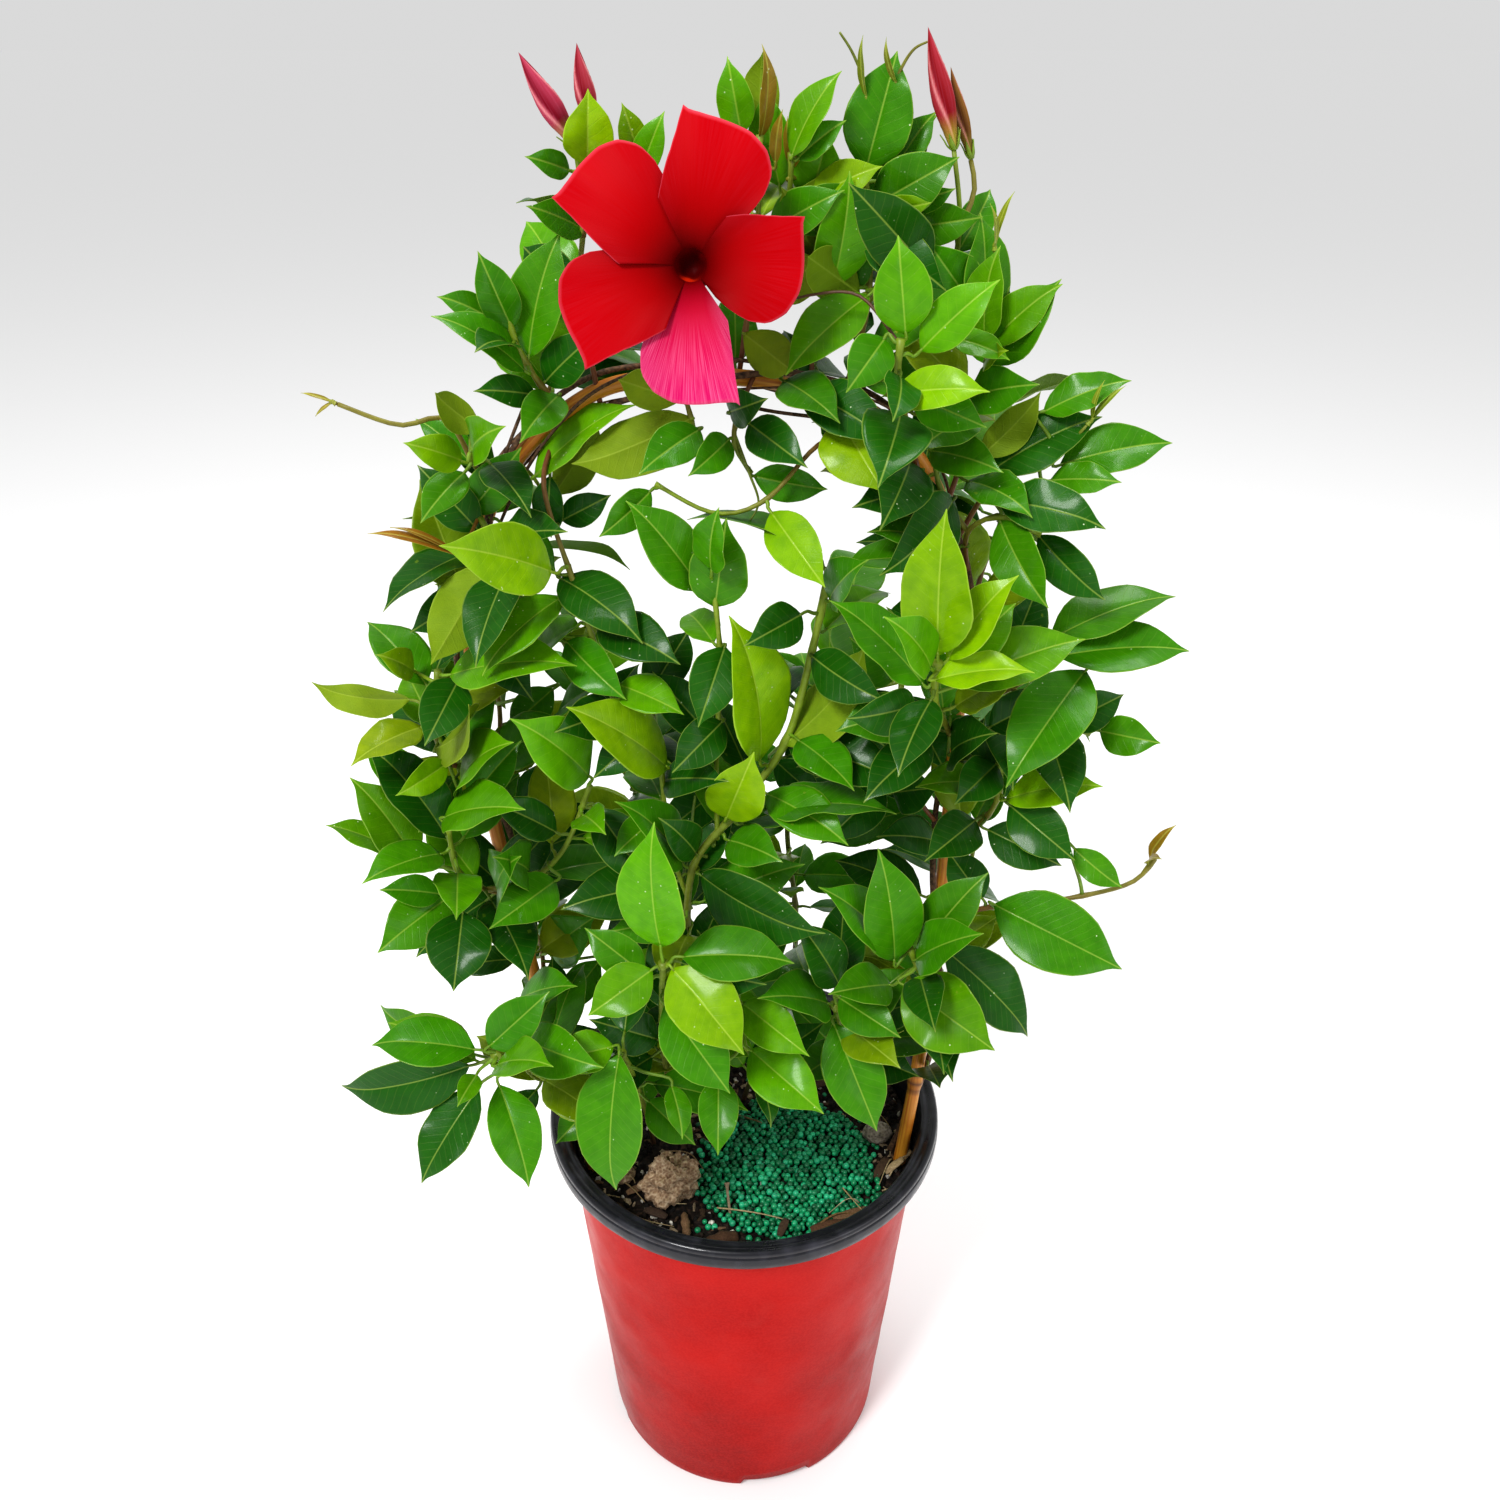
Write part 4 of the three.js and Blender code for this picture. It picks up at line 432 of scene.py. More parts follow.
class Skin:
    """Points, faces, finishes and point attributes of one piece, gathered before its mesh is made."""

    def __init__(self):
        self.points, self.faces, self.finishes = [], [], []
        self.tints, self.marks = [], []
        self.count = 0

    def add(self, points, faces, tint=(1, 1, 1), marks=(0, 0, 0), finish=0):
        points = np.array(points, float).reshape(-1, 3)
        n = len(points)
        self.points.append(points)
        self.tints.append(np.broadcast_to(np.array(tint, float), (n, 3)))
        self.marks.append(np.broadcast_to(np.array(marks, float), (n, 3)))
        self.faces += [[i + self.count for i in face] for face in faces]
        self.finishes += [finish] * len(faces) if isinstance(finish, int) else list(finish)
        self.count += n

    def build(self, name, materials, smooth_shade=True):
        mesh = bpy.data.meshes.new(name)
        mesh.from_pydata((np.concatenate(self.points) * MM).tolist(), [], self.faces)
        for material in materials:
            mesh.materials.append(material)
        mesh.polygons.foreach_set("material_index", self.finishes)
        mesh.polygons.foreach_set("use_smooth", [smooth_shade] * len(self.faces))
        tint = mesh.attributes.new("tint", "FLOAT_COLOR", "POINT")
        colours = np.concatenate(self.tints)
        tint.data.foreach_set("color", np.hstack([colours, np.ones((len(colours), 1))]).ravel())
        marks = mesh.attributes.new("marks", "FLOAT_VECTOR", "POINT")
        marks.data.foreach_set("vector", np.concatenate(self.marks).ravel())
        mesh.update()
        piece = bpy.data.objects.new(name, mesh)
        bpy.context.scene.collection.objects.link(piece)
        return piece


def place(piece, slot, *nodes):
    """The piece rides with the plant and stands for CAD nodes, which are hidden; its slot is not used."""
    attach(piece, "root")
    if nodes:
        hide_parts(*nodes)


def grid_faces(rows, columns, closed=False):
    """Quads of a grid of points, closed across the columns for a tube."""
    faces = []
    for r in range(rows - 1):
        for c in range(columns if closed else columns - 1):
            d = (c + 1) % columns
            faces.append([r * columns + c, r * columns + d, (r + 1) * columns + d, (r + 1) * columns + c])
    return faces


def closed_faces(rows, columns):
    """Faces of a closed tube: its wall, and a fan at each end round a point that follows the wall's."""
    faces = grid_faces(rows, columns, closed=True)
    start, end, last = rows * columns, rows * columns + 1, (rows - 1) * columns
    for k in range(columns):
        d = (k + 1) % columns
        faces += [[start, d, k], [end, last + k, last + d]]
    return faces


def tube(skin, path, radii, sides, tint=(1, 1, 1), finish=0, wobble=None, first_side=None):
    """A closed round tube along a path. Its marks are the turn, the way along in mm, and the share."""
    path = np.array(path, float)
    side, up = sections(path, first_side)
    steps = np.concatenate([[0], np.cumsum(np.linalg.norm(np.diff(path, axis=0), axis=1))])
    turns = np.arange(sides) * 2 * math.pi / sides
    points, marks = [], []
    for i, p in enumerate(path):
        for k, turn in enumerate(turns):
            radius = radii[i] * (1 if wobble is None else wobble(turn, steps[i]))
            points.append(p + (side[i] * math.cos(turn) + up[i] * math.sin(turn)) * radius)
            marks.append((k / sides, steps[i], steps[i] / steps[-1]))
    points += [path[0], path[-1]]
    marks += [(0, 0, 0), (0, steps[-1], 1)]
    tints = np.array(tint, float)
    if tints.ndim == 2:
        tints = np.concatenate([np.repeat(tints, sides, axis=0), tints[:1], tints[-1:]])
    skin.add(points, closed_faces(len(path), sides), tints, marks, finish)


def sheet_faces(rows, columns):
    """Faces of a thin closed sheet: an upper grid, a lower grid and the strip round their edge."""
    upper = grid_faces(rows, columns)
    offset = rows * columns
    lower = [[i + offset for i in reversed(face)] for face in upper]
    ring = list(range(columns))
    ring += [r * columns + columns - 1 for r in range(1, rows)]
    ring += [(rows - 1) * columns + c for c in range(columns - 2, -1, -1)]
    ring += [r * columns for r in range(rows - 2, 0, -1)]
    strip = []
    for k, a in enumerate(ring):
        b = ring[(k + 1) % len(ring)]
        strip.append([b, a, a + offset, b + offset])
    return upper, lower, strip


# The lines of the hoop, the vines and the shoots, as the frame has them

hoop_fine = evenly(smooth(HOOP, 12), VINE_STEP)


def vine_line(start, end, phase):
    """A vine's line as it winds along the hoop between two shares of the hoop's length."""
    last = len(hoop_fine) - 1
    first, stop = math.floor(start * last + 0.5), math.floor(end * last + 0.5)
    way = 1 if stop > first else -1
    out = []
    for i in range(first, stop + way, way):
        axis = unit(hoop_fine[min(i + 1, last)] - hoop_fine[max(i - 1, 0)])
        across = sideways(axis, np.array([0, 1.0, 0]))
        turn = 2 * math.pi * VINE_TURNS * i / last + phase
        climbed = abs(i - first) * VINE_STEP
        spread = VINE_OFFSET + VINE_FOOT_SPREAD * max(0, 1 - climbed / VINE_FOOT_RISE)
        p = hoop_fine[i] + across * math.cos(turn) * spread
        p[1] += math.sin(turn) * spread
        out.append(p)
    return np.array(out)


lines = {
    "right_vine": vine_line(VINE_START, RIGHT_VINE_END, VINE_PHASE),
    "left_vine": vine_line(1 - VINE_START, LEFT_VINE_END, VINE_PHASE + math.pi),
}
shoots = {}
for name, carrier, radius, path, *branches in SHOOTS:
    start = np.array(path[0], float)
    if carrier != "soil":
        start = nearest(lines[carrier], start)
    main = [start] + [np.array(p, float) for p in path[1:]]
    if carrier == "soil":
        main.insert(0, np.array([start[0], start[1], SOIL_TOP - STEM_DEPTH]))
    lines[name] = np.array(main)
    shoots[name] = {
        "carrier": carrier,
        "radius": radius,
        "all": [lines[name]] + [np.array(branch, float) for branch in branches],
    }


# Leaves: where each one grows, which way it faces, and the bend that the frame gave it

def facing(base, tip, seen, tone, order):
    """A leaf between base and tip, leaned so that the viewer sees the breadth that is given."""
    axis = tip - base
    length = np.linalg.norm(axis)
    axis = axis / length
    towards = unit(np.array(VIEWER) - base)
    face = unit(towards - axis * np.dot(towards, axis))
    breadth = max(seen, LEAST_BREADTH * length)
    lean = math.acos(min(1, seen / breadth))
    if order % 2:
        lean = -lean
    face = turned(face, axis, lean * 0.8)
    if face[2] < 0:
        face = turned(face, axis, -lean * 1.6)
    if tone == "O":
        face = -face
    return {"base": base, "tip": tip, "breadth": breadth, "normal": face, "tone": tone}


BENDS = [
    (scale, turn, lift)
    for scale in (1, 0.86, 0.72)
    for turn in (0, 11, -11, 22, -22)
    for lift in (0, 9, -9, 18, -18, 30, -30)
]


def bent(leaf, bend):
    """The leaf after a bend: its scale, then its turn and its lift in degrees."""
    scale, turn, lift = bend[0], math.radians(bend[1]), math.radians(bend[2])
    axis = leaf["tip"] - leaf["base"]
    length = np.linalg.norm(axis) * scale
    axis = unit(axis)
    side = sideways(axis, leaf["normal"])
    axis = turned(axis, leaf["normal"], turn)
    side = turned(side, leaf["normal"], turn)
    axis = turned(axis, side, lift)
    normal = turned(leaf["normal"], side, lift)
    return {**leaf, "tip": leaf["base"] + axis * length, "breadth": leaf["breadth"] * scale, "normal": normal}


def fill_leaves(stem, draw):
    """Opposite pairs along a stem, each pair turned a quarter from the last."""
    leaves = []
    line = evenly(stem, PAIR_STEP)
    for i in range(1, len(line)):
        axis = unit(line[i] - line[i - 1])
        across = sideways(axis, np.array([0, 0.6, 0.8]))
        back = np.cross(axis, across)
        start = (i % 2) * 90 + 40 * (draw() - 0.5)
        for half in (0, 180):
            turn = math.radians(start + half)
            way = across * math.cos(turn) + back * math.sin(turn) + axis * FILL_FORWARD
            size = FILL_LENGTH * (0.8 + 0.45 * draw())
            droop = 0.15 + 0.5 * draw()
            if way[1] < -0.2 and line[i][1] < 20:
                continue
            way = unit(way)
            base = line[i] + way * FILL_PETIOLE
            way = unit(way - np.array([0, 0, droop]))
            outward = np.array([base[0] * 0.004, base[1] * 0.004, 1])
            normal = unit(outward - way * np.dot(outward, way))
            tone = "M" if size > FILL_LENGTH else "D"
            leaves.append({"base": base, "tip": base + way * size, "breadth": size * FILL_BREADTH,
                           "normal": normal, "tone": tone})
    return leaves


SAME_PLACE = 0.1


def as_framed(name, leaf):
    """The leaf as the frame bent it, found by its tip among the node's points, or None."""
    points = node_points[name]
    for bend in BENDS:
        trial = bent(leaf, bend)
        if np.abs(points - trial["tip"]).max(axis=1).min() < SAME_PLACE:
            return trial
    return None


node_points = {}
for name in shoots:
    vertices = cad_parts[name].data.vertices
    flat = np.empty(len(vertices) * 3)
    vertices.foreach_get("co", flat)
    node_points[name] = flat.reshape(-1, 3) / MM

for name, shoot in shoots.items():
    shoot["leaves"] = []
    for order, row in enumerate(LEAVES.get(name, [])):
        base, tip = np.array(row[:3], float), np.array(row[3:6], float)
        leaf = as_framed(name, facing(base, tip, row[6], row[7], order))
        line = min(shoot["all"], key=lambda l: np.linalg.norm(nearest(l, base) - base))
        if leaf:
            shoot["leaves"].append((leaf, line))
draw = seeded(FILL_SEED)
for name, shoot in shoots.items():
    if name.startswith(FILLED):
        for leaf in fill_leaves(shoot["all"][0], draw):
            leaf = as_framed(name, leaf)
            if leaf:
                shoot["leaves"].append((leaf, shoot["all"][0]))
print("leaves found:", sum(len(shoot["leaves"]) for shoot in shoots.values()))

# Colours are sRGB hex values, turned to linear here

def linear(hex_colour):
    values = [int(hex_colour[i:i + 2], 16) / 255 for i in (1, 3, 5)]
    return np.array([v / 12.92 if v <= 0.04045 else ((v + 0.055) / 1.055) ** 2.4 for v in values])


# Materials. Each starts from what the real one is, and patterns are scaled in millimetres

BUMP_FILTER = 0.1


def feed(tree, socket, value):
    """Links a socket to the one that feeds it, or sets its value; a text is a hex colour."""
    if isinstance(value, bpy.types.NodeSocket):
        tree.links.new(value, socket)
    else:
        socket.default_value = (*linear(value), 1) if isinstance(value, str) else value


def add(tree, kind, inputs=(), output="", **settings):
    """Adds a node with its settings, feeds its inputs in their order, and gives one of its outputs."""
    node = tree.nodes.new("ShaderNode" + kind)
    for key, value in settings.items():
        setattr(node, key, value)
    for socket, value in zip([s for s in node.inputs if s.enabled], inputs):
        feed(tree, socket, value)
    return next(s for s in node.outputs if s.enabled and output in ("", s.name))


def fresh(name, **sockets):
    """A new material with a principled shader, and the constants set on the shader's own sockets."""
    material = bpy.data.materials.new(name)
    material.use_nodes = True
    tree = material.node_tree
    shader = tree.nodes["Principled BSDF"]
    for key, value in sockets.items():
        feed(tree, shader.inputs[key.replace("_", " ")], value)
    return material, tree, shader


def dress(tree, shader, colour, roughness, height, depth, strength):
    """Gives the shader its colour, its roughness, and a relief of a depth in millimetres."""
    bump = add(tree, "Bump", (strength, depth * MM, BUMP_FILTER, height))
    for key, value in (("Base Color", colour), ("Roughness", roughness), ("Normal", bump)):
        feed(tree, shader.inputs[key], value)


def speckle(tree, size, detail=3.0):
    """Soft noise whose patches are about that many millimetres across."""
    return add(tree, "TexNoise", (add(tree, "TexCoord", output="Object"), 1000 / size, detail))


def patches(tree, size, low, high, least=0.0, most=1.0, detail=3.0):
    """Patches of that size with soft edges, from the least value to the most."""
    return add(tree, "MapRange", (speckle(tree, size, detail), low, high, least, most))


def cells(tree, size, feature="F1"):
    """Irregular cells of that size, which rise from their middles or from their edges."""
    return add(tree, "TexVoronoi", (add(tree, "TexCoord", output="Object"), 1000 / size), feature=feature)


def streaks(tree, spacing, detail):
    """Fine lines that follow a piece by its own marks, in mm across it and along it."""
    marks = add(tree, "Attribute", output="Vector", attribute_name="marks")
    where = add(tree, "VectorMath", (marks, spacing), operation="MULTIPLY")
    return add(tree, "TexNoise", (where, 1.0, detail))


def layered(tree, *layers):
    """Patterns laid over each other, each with its weight."""
    total = 0.0
    for pattern, weight in layers:
        total = add(tree, "Math", (pattern, weight, total), operation="MULTIPLY_ADD")
    return total


def graded(tree, level, first, *stops):
    """Colours that follow a level from stop to stop."""
    low, colour = first
    for high, following in stops:
        share = add(tree, "MapRange", (level, low, high))
        colour = add(tree, "Mix", (share, colour, following), data_type="RGBA")
        low = high
    return colour


# Side veins leave the midrib every 4.2 mm, and are drawn 0.7 mm wide
VEIN_STEP = 4.2
VEIN_HALF = 0.336
VEIN_SLOPE = -0.75
VEIN_WANDER = 3.0


def leaf_skin(name, upper):
    """Waxy evergreen leaf. Above: glossy, with pale sunk veins. Below: duller, with raised veins."""
    material, tree, shader = fresh(name, IOR=1.42, Specular_IOR_Level=0.18,
                                   Coat_Weight=0.13 if upper else 0.0, Coat_Roughness=0.14)
    tint = add(tree, "Attribute", attribute_name="tint")
    marks = add(tree, "Attribute", output="Vector", attribute_name="marks")
    across, along, edge = (add(tree, "SeparateXYZ", (marks,), axis) for axis in "XYZ")
    off = add(tree, "Math", (across,), operation="ABSOLUTE")
    midrib = add(tree, "MapRange", (off, 0.12, 0.5, 1.0, 0.0))
    # The side veins sweep towards the tip, wander a little and fade near the margin
    swept = layered(tree, (along, 1.0), (off, VEIN_SLOPE), (speckle(tree, 14, 2.0), VEIN_WANDER))
    gap = add(tree, "Math", (swept, VEIN_STEP / 2), operation="PINGPONG")
    line = add(tree, "MapRange", (gap, 0.0, VEIN_HALF, 1.0, 0.0))
    fade = add(tree, "MapRange", (edge, 0.75, 1.0, 1.0, 0.0))
    vein = add(tree, "Math", (line, fade), operation="MULTIPLY")
    # The finest net of veins has meshes of 1.4 mm
    net = add(tree, "MapRange", (cells(tree, 1.4, "DISTANCE_TO_EDGE"), 0.0, 0.12, 1.0, 0.0))
    rim = add(tree, "MapRange", (edge, 0.95, 0.995))
    mottle = patches(tree, 6, 0.35, 0.7, 0.0, 0.5)
    colour = add(tree, "Mix", (mottle, tint, "#B8D070"), data_type="RGBA", blend_type="MULTIPLY")
    pale = add(tree, "Mix", (0.55, tint, "#CFE06A"), data_type="RGBA")
    for mark, strength in ((vein, 0.07), (midrib, 0.46), (rim, 0.5)):
        share = add(tree, "Math", (mark, strength), operation="MULTIPLY")
        colour = add(tree, "Mix", (share, colour, pale), data_type="RGBA")
    if upper:
        # Painted glints: pale specks of about 0.6 mm, here and there, that stand in for speckled highlights
        # on the glossy upper side
        painted_glint_specks = add(tree, "MapRange", (cells(tree, 4.0), 0.06, 0.1, 1.0, 0.0))
        painted_glint_share = add(tree, "Math", (painted_glint_specks, patches(tree, 20, 0.5, 0.62, 0.0, 0.75)), operation="MULTIPLY")
        colour = add(tree, "Mix", (painted_glint_share, colour, "#D8E4C0"), data_type="RGBA")
        gloss = patches(tree, 9, 0.3, 0.7, 0.3, 0.44)
    else:
        colour = add(tree, "Mix", (0.45, colour, "#7C9428"), data_type="RGBA")
        gloss = patches(tree, 9, 0.3, 0.7, 0.52, 0.66)
    height = layered(tree, (vein, 0.5), (net, 0.2), (speckle(tree, 5), 1.6))
    dress(tree, shader, colour, gloss, height, -0.2 if upper else 0.3, 0.5)
    return material


def tinted_skin(name, shade, mottle, roughness, bumps, depth, strength, **sockets):
    """Small pieces in tints of their own, with patches of a darker shade and a fine relief."""
    material, tree, shader = fresh(name, **sockets)
    tint = add(tree, "Attribute", attribute_name="tint")
    colour = add(tree, "Mix", (patches(tree, *mottle), tint, shade), data_type="RGBA", blend_type="MULTIPLY")
    gloss = patches(tree, *roughness) if isinstance(roughness, tuple) else roughness
    dress(tree, shader, colour, gloss, speckle(tree, *bumps), depth, strength)
    return material


def woody_bark(name, dark, light):
    """Thin bark of an old vine, fissured, rough and dry, in two browns."""
    material, tree, shader = fresh(name, IOR=1.5)
    rough = layered(tree, (speckle(tree, 1.6, 4.0), 0.8), (cells(tree, 2.2, "DISTANCE_TO_EDGE"), 0.6))
    dress(tree, shader, graded(tree, rough, (0.25, dark), (0.75, light)), 0.82, rough, 0.5, 0.9)
    return material


def cane_skin(name):
    """Split-free garden cane: a smooth straw-coloured skin with fine fibres and dark scorched joints."""
    material, tree, shader = fresh(name, IOR=1.5, Coat_Weight=0.15, Coat_Roughness=0.3)
    colour = add(tree, "Attribute", attribute_name="tint")
    # Fibres are about 1 mm apart round the cane and run for 40 mm along it
    fibre = streaks(tree, (22.0, 0.025, 0.0), 4.0)
    dark = add(tree, "MapRange", (fibre, 0.35, 0.68))
    for share, shade in ((dark, "#DCAE72"), (patches(tree, 9, 0.55, 0.75, 0.0, 0.5), "#DCB480")):
        colour = add(tree, "Mix", (share, colour, shade), data_type="RGBA", blend_type="MULTIPLY")
    dress(tree, shader, colour, add(tree, "MapRange", (fibre, 0.3, 0.7, 0.38, 0.56)), fibre, 0.15, 0.6)
    return material


def pot_red(name):
    """Thermoformed polypropylene, satin red: soft mottling from the forming, and painted shade that deepens
    the red low down.
    """
    material, tree, shader = fresh(name, IOR=1.45, Specular_IOR_Level=0.08, Coat_Weight=0.1,
                                   Coat_Roughness=0.09)
    height = add(tree, "SeparateXYZ", (add(tree, "TexCoord", output="Object"),), "Z")
    # Painted shade and light: the red is darker towards the foot and paler towards the lip
    painted_shade_by_height = add(tree, "MapRange", (height, 0.0, 0.21, -0.26, 0.2))
    level = layered(tree, (painted_shade_by_height, 1.0), (speckle(tree, 60), 1.0))
    colour = graded(tree, level, (0.25, "#8C0000"), (0.5, "#A60402"), (0.78, "#BA140E"))
    grain = patches(tree, 1.3, 0.38, 0.62, 0.0, 0.3, 2.0)
    scuff = patches(tree, 18, 0.6, 0.72, 0.0, 0.25, 5.0)
    for share, shade in ((grain, "#C4261C"), (scuff, "#B02C24")):
        colour = add(tree, "Mix", (share, colour, shade), data_type="RGBA")
    dents = layered(tree, (speckle(tree, 1.0, 2.0), 1.0), (speckle(tree, 30, 2.0), 12.0))
    dress(tree, shader, colour, patches(tree, 25, 0.35, 0.7, 0.3, 0.48, 4.0), dents, 0.12, 0.5)
    return material


def pot_black(name):
    """The same plastic with carbon black, glossy on the rolled rim, with patches of dust."""
    material, tree, shader = fresh(name, IOR=1.49, Specular_IOR_Level=0.28, Coat_Weight=0.35,
                                   Coat_Roughness=0.07)
    dust = patches(tree, 12, 0.48, 0.75, 0.0, 0.5, 5.0)
    colour = add(tree, "Mix", (dust, "#18181F", "#44444E"), data_type="RGBA")
    dress(tree, shader, colour, patches(tree, 10, 0.35, 0.7, 0.26, 0.5), speckle(tree, 2.0), 0.12, 0.5)
    return material


def potting_mix(name):
    """Peat, composted bark and grit: nearly black and matt, with brown fibres a few millimetres long."""
    material, tree, shader = fresh(name, IOR=1.4)
    crumb = speckle(tree, 3.0, 6.0)
    colour = graded(tree, crumb, (0.35, "#0E0A08"), (0.52, "#221914"), (0.66, "#43322A"), (0.8, "#6A5444"))
    dress(tree, shader, colour, patches(tree, 5, 0.4, 0.6, 0.62, 0.95), crumb, 1.2, 0.9)
    return material


def stone_skin(name, dark, mid, light):
    """Broken sandstone or pumice, matt, with pits of 1 to 2 mm and paler grains."""
    material, tree, shader = fresh(name, IOR=1.5)
    grains = layered(tree, (speckle(tree, 3, 5.0), 0.7), (cells(tree, 1.5), 0.45))
    dress(tree, shader, graded(tree, grains, (0.3, dark), (0.55, mid), (0.8, light)), 0.9, grains, 1.0, 0.9)
    return material


def petal_skin(name):
    """Dipladenia petal: velvety cells that glow at a grazing angle, with fine silky streaks outward."""
    material, tree, shader = fresh(name, IOR=1.3, Specular_IOR_Level=0.08, Sheen_Weight=0.03,
                                   Sheen_Roughness=0.4, Sheen_Tint="#FF2050")
    tint = add(tree, "Attribute", attribute_name="tint")
    marks = add(tree, "Attribute", output="Vector", attribute_name="marks")
    # Streaks are 0.7 mm apart across the petal; X is the turn in mm at the rim, Y the radius
    streak = streaks(tree, (1.4, 0.05, 0.0), 3.0)
    shine = add(tree, "MapRange", (streak, 0.4, 0.68))
    silk = add(tree, "Math", (shine, add(tree, "SeparateXYZ", (marks,), "Z")), operation="MULTIPLY")
    glow = add(tree, "Mix", (0.55, tint, "#FF9CC4"), data_type="RGBA")
    colour = add(tree, "Mix", (silk, tint, glow), data_type="RGBA")
    dress(tree, shader, colour, add(tree, "MapRange", (streak, 0.3, 0.7, 0.42, 0.56)), streak, 0.07, 0.35)
    return material


# Foliage colours by tone: upper colour of the blade
TONES = {
    "L": "#7CA600",
    "B": "#579200",
    "M": "#3F7E03",
    "D": "#1F5609",
    "O": "#758E08",
    "Z": "#846A1C",
}
YOUNG_STEM = linear("#7E9426")
BRONZE_STEM = linear("#7A4A2A")
OLD_STEM = linear("#5A3C28")

# Young dipladenia shoots are smooth and satin: green, bronze or brown
stem_green = tinted_skin("young_shoot", "#9A8468", (4, 0.35, 0.65, 0.0, 0.35), (2, 0.3, 0.7, 0.42, 0.6),
                         (1.2,), 0.12, 0.6, IOR=1.45, Coat_Weight=0.1, Coat_Roughness=0.35)
foliage = [leaf_skin("waxy_leaf_upper", True), leaf_skin("matt_leaf_underside", False), stem_green]
UPPER, UNDERSIDE, SHOOT = range(3)
vine_bark = woody_bark("old_vine_bark", "#2A1C14", "#7A5A40")
cane = cane_skin("garden_cane")
# Bits of bark, straw, perlite and peat are dry and matt
grit, bark = (
    tinted_skin(name, "#7A6A5C", (0.9, 0.3, 0.7, 0.0, 0.6, 4.0), 0.85, (0.8, 4.0), 0.35, 0.8, IOR=1.45)
    for name in ("bark_and_grit", "dry_bark"))
# Resin-coated fertiliser prills are satin beads of 3 to 4 mm, each a little different
resin = tinted_skin("resin_coated_prill", "#88A898", (1.1, 0.35, 0.7, 0.0, 0.45), (1.5, 0.3, 0.7, 0.3, 0.5),
                    (0.8, 2.0), 0.1, 0.5, IOR=1.5, Coat_Weight=0.3, Coat_Roughness=0.2)

# Blade outline: share of the length, and half breadth as a share of the greatest
BLADE_OUTLINE = np.array([
    (0, 0.05), (0.03, 0.2), (0.08, 0.44), (0.16, 0.72), (0.26, 0.92), (0.37, 1.0), (0.5, 0.985),
    (0.6, 0.91), (0.7, 0.77), (0.78, 0.58), (0.85, 0.37), (0.9, 0.2), (0.94, 0.1), (0.975, 0.045), (1, 0.008),
])
YOUNG_SLIM = 0.5
# How finely a blade is divided along it, and its places across it
FINE = (20, np.array([-1, -0.94, -0.78, -0.56, -0.34, -0.15, -0.05, 0,
                      0.05, 0.15, 0.34, 0.56, 0.78, 0.94, 1]))
PLAIN = (14, np.array([-1, -0.85, -0.5, -0.1, 0, 0.1, 0.5, 0.85, 1]))
# A blade's thickness at the midrib and what it loses towards the margin, in mm
BLADE_THICK = 0.36
MARGIN_THINS = 0.2
# The midrib: half width, groove above and keel below, in mm
RIB_WIDTH = 0.8
RIB_GROOVE = 0.22
RIB_KEEL = 0.5
# One margin's waves lag behind the other's, as an angle
MARGIN_LAG = 1.1
# A stalk's radius at its foot, just above the foot and at the blade, in mm, and its sides
STALK_FOOT = 1.25
STALK_RADII = (1.0, 0.62)
STALK_SIDES = 7
# A stem's sides, and how far and how widely it swells where a leaf grows, in mm
STEM_SIDES = 10
KNOT_SWELL = 0.35
KNOT_WIDTH = 3.0


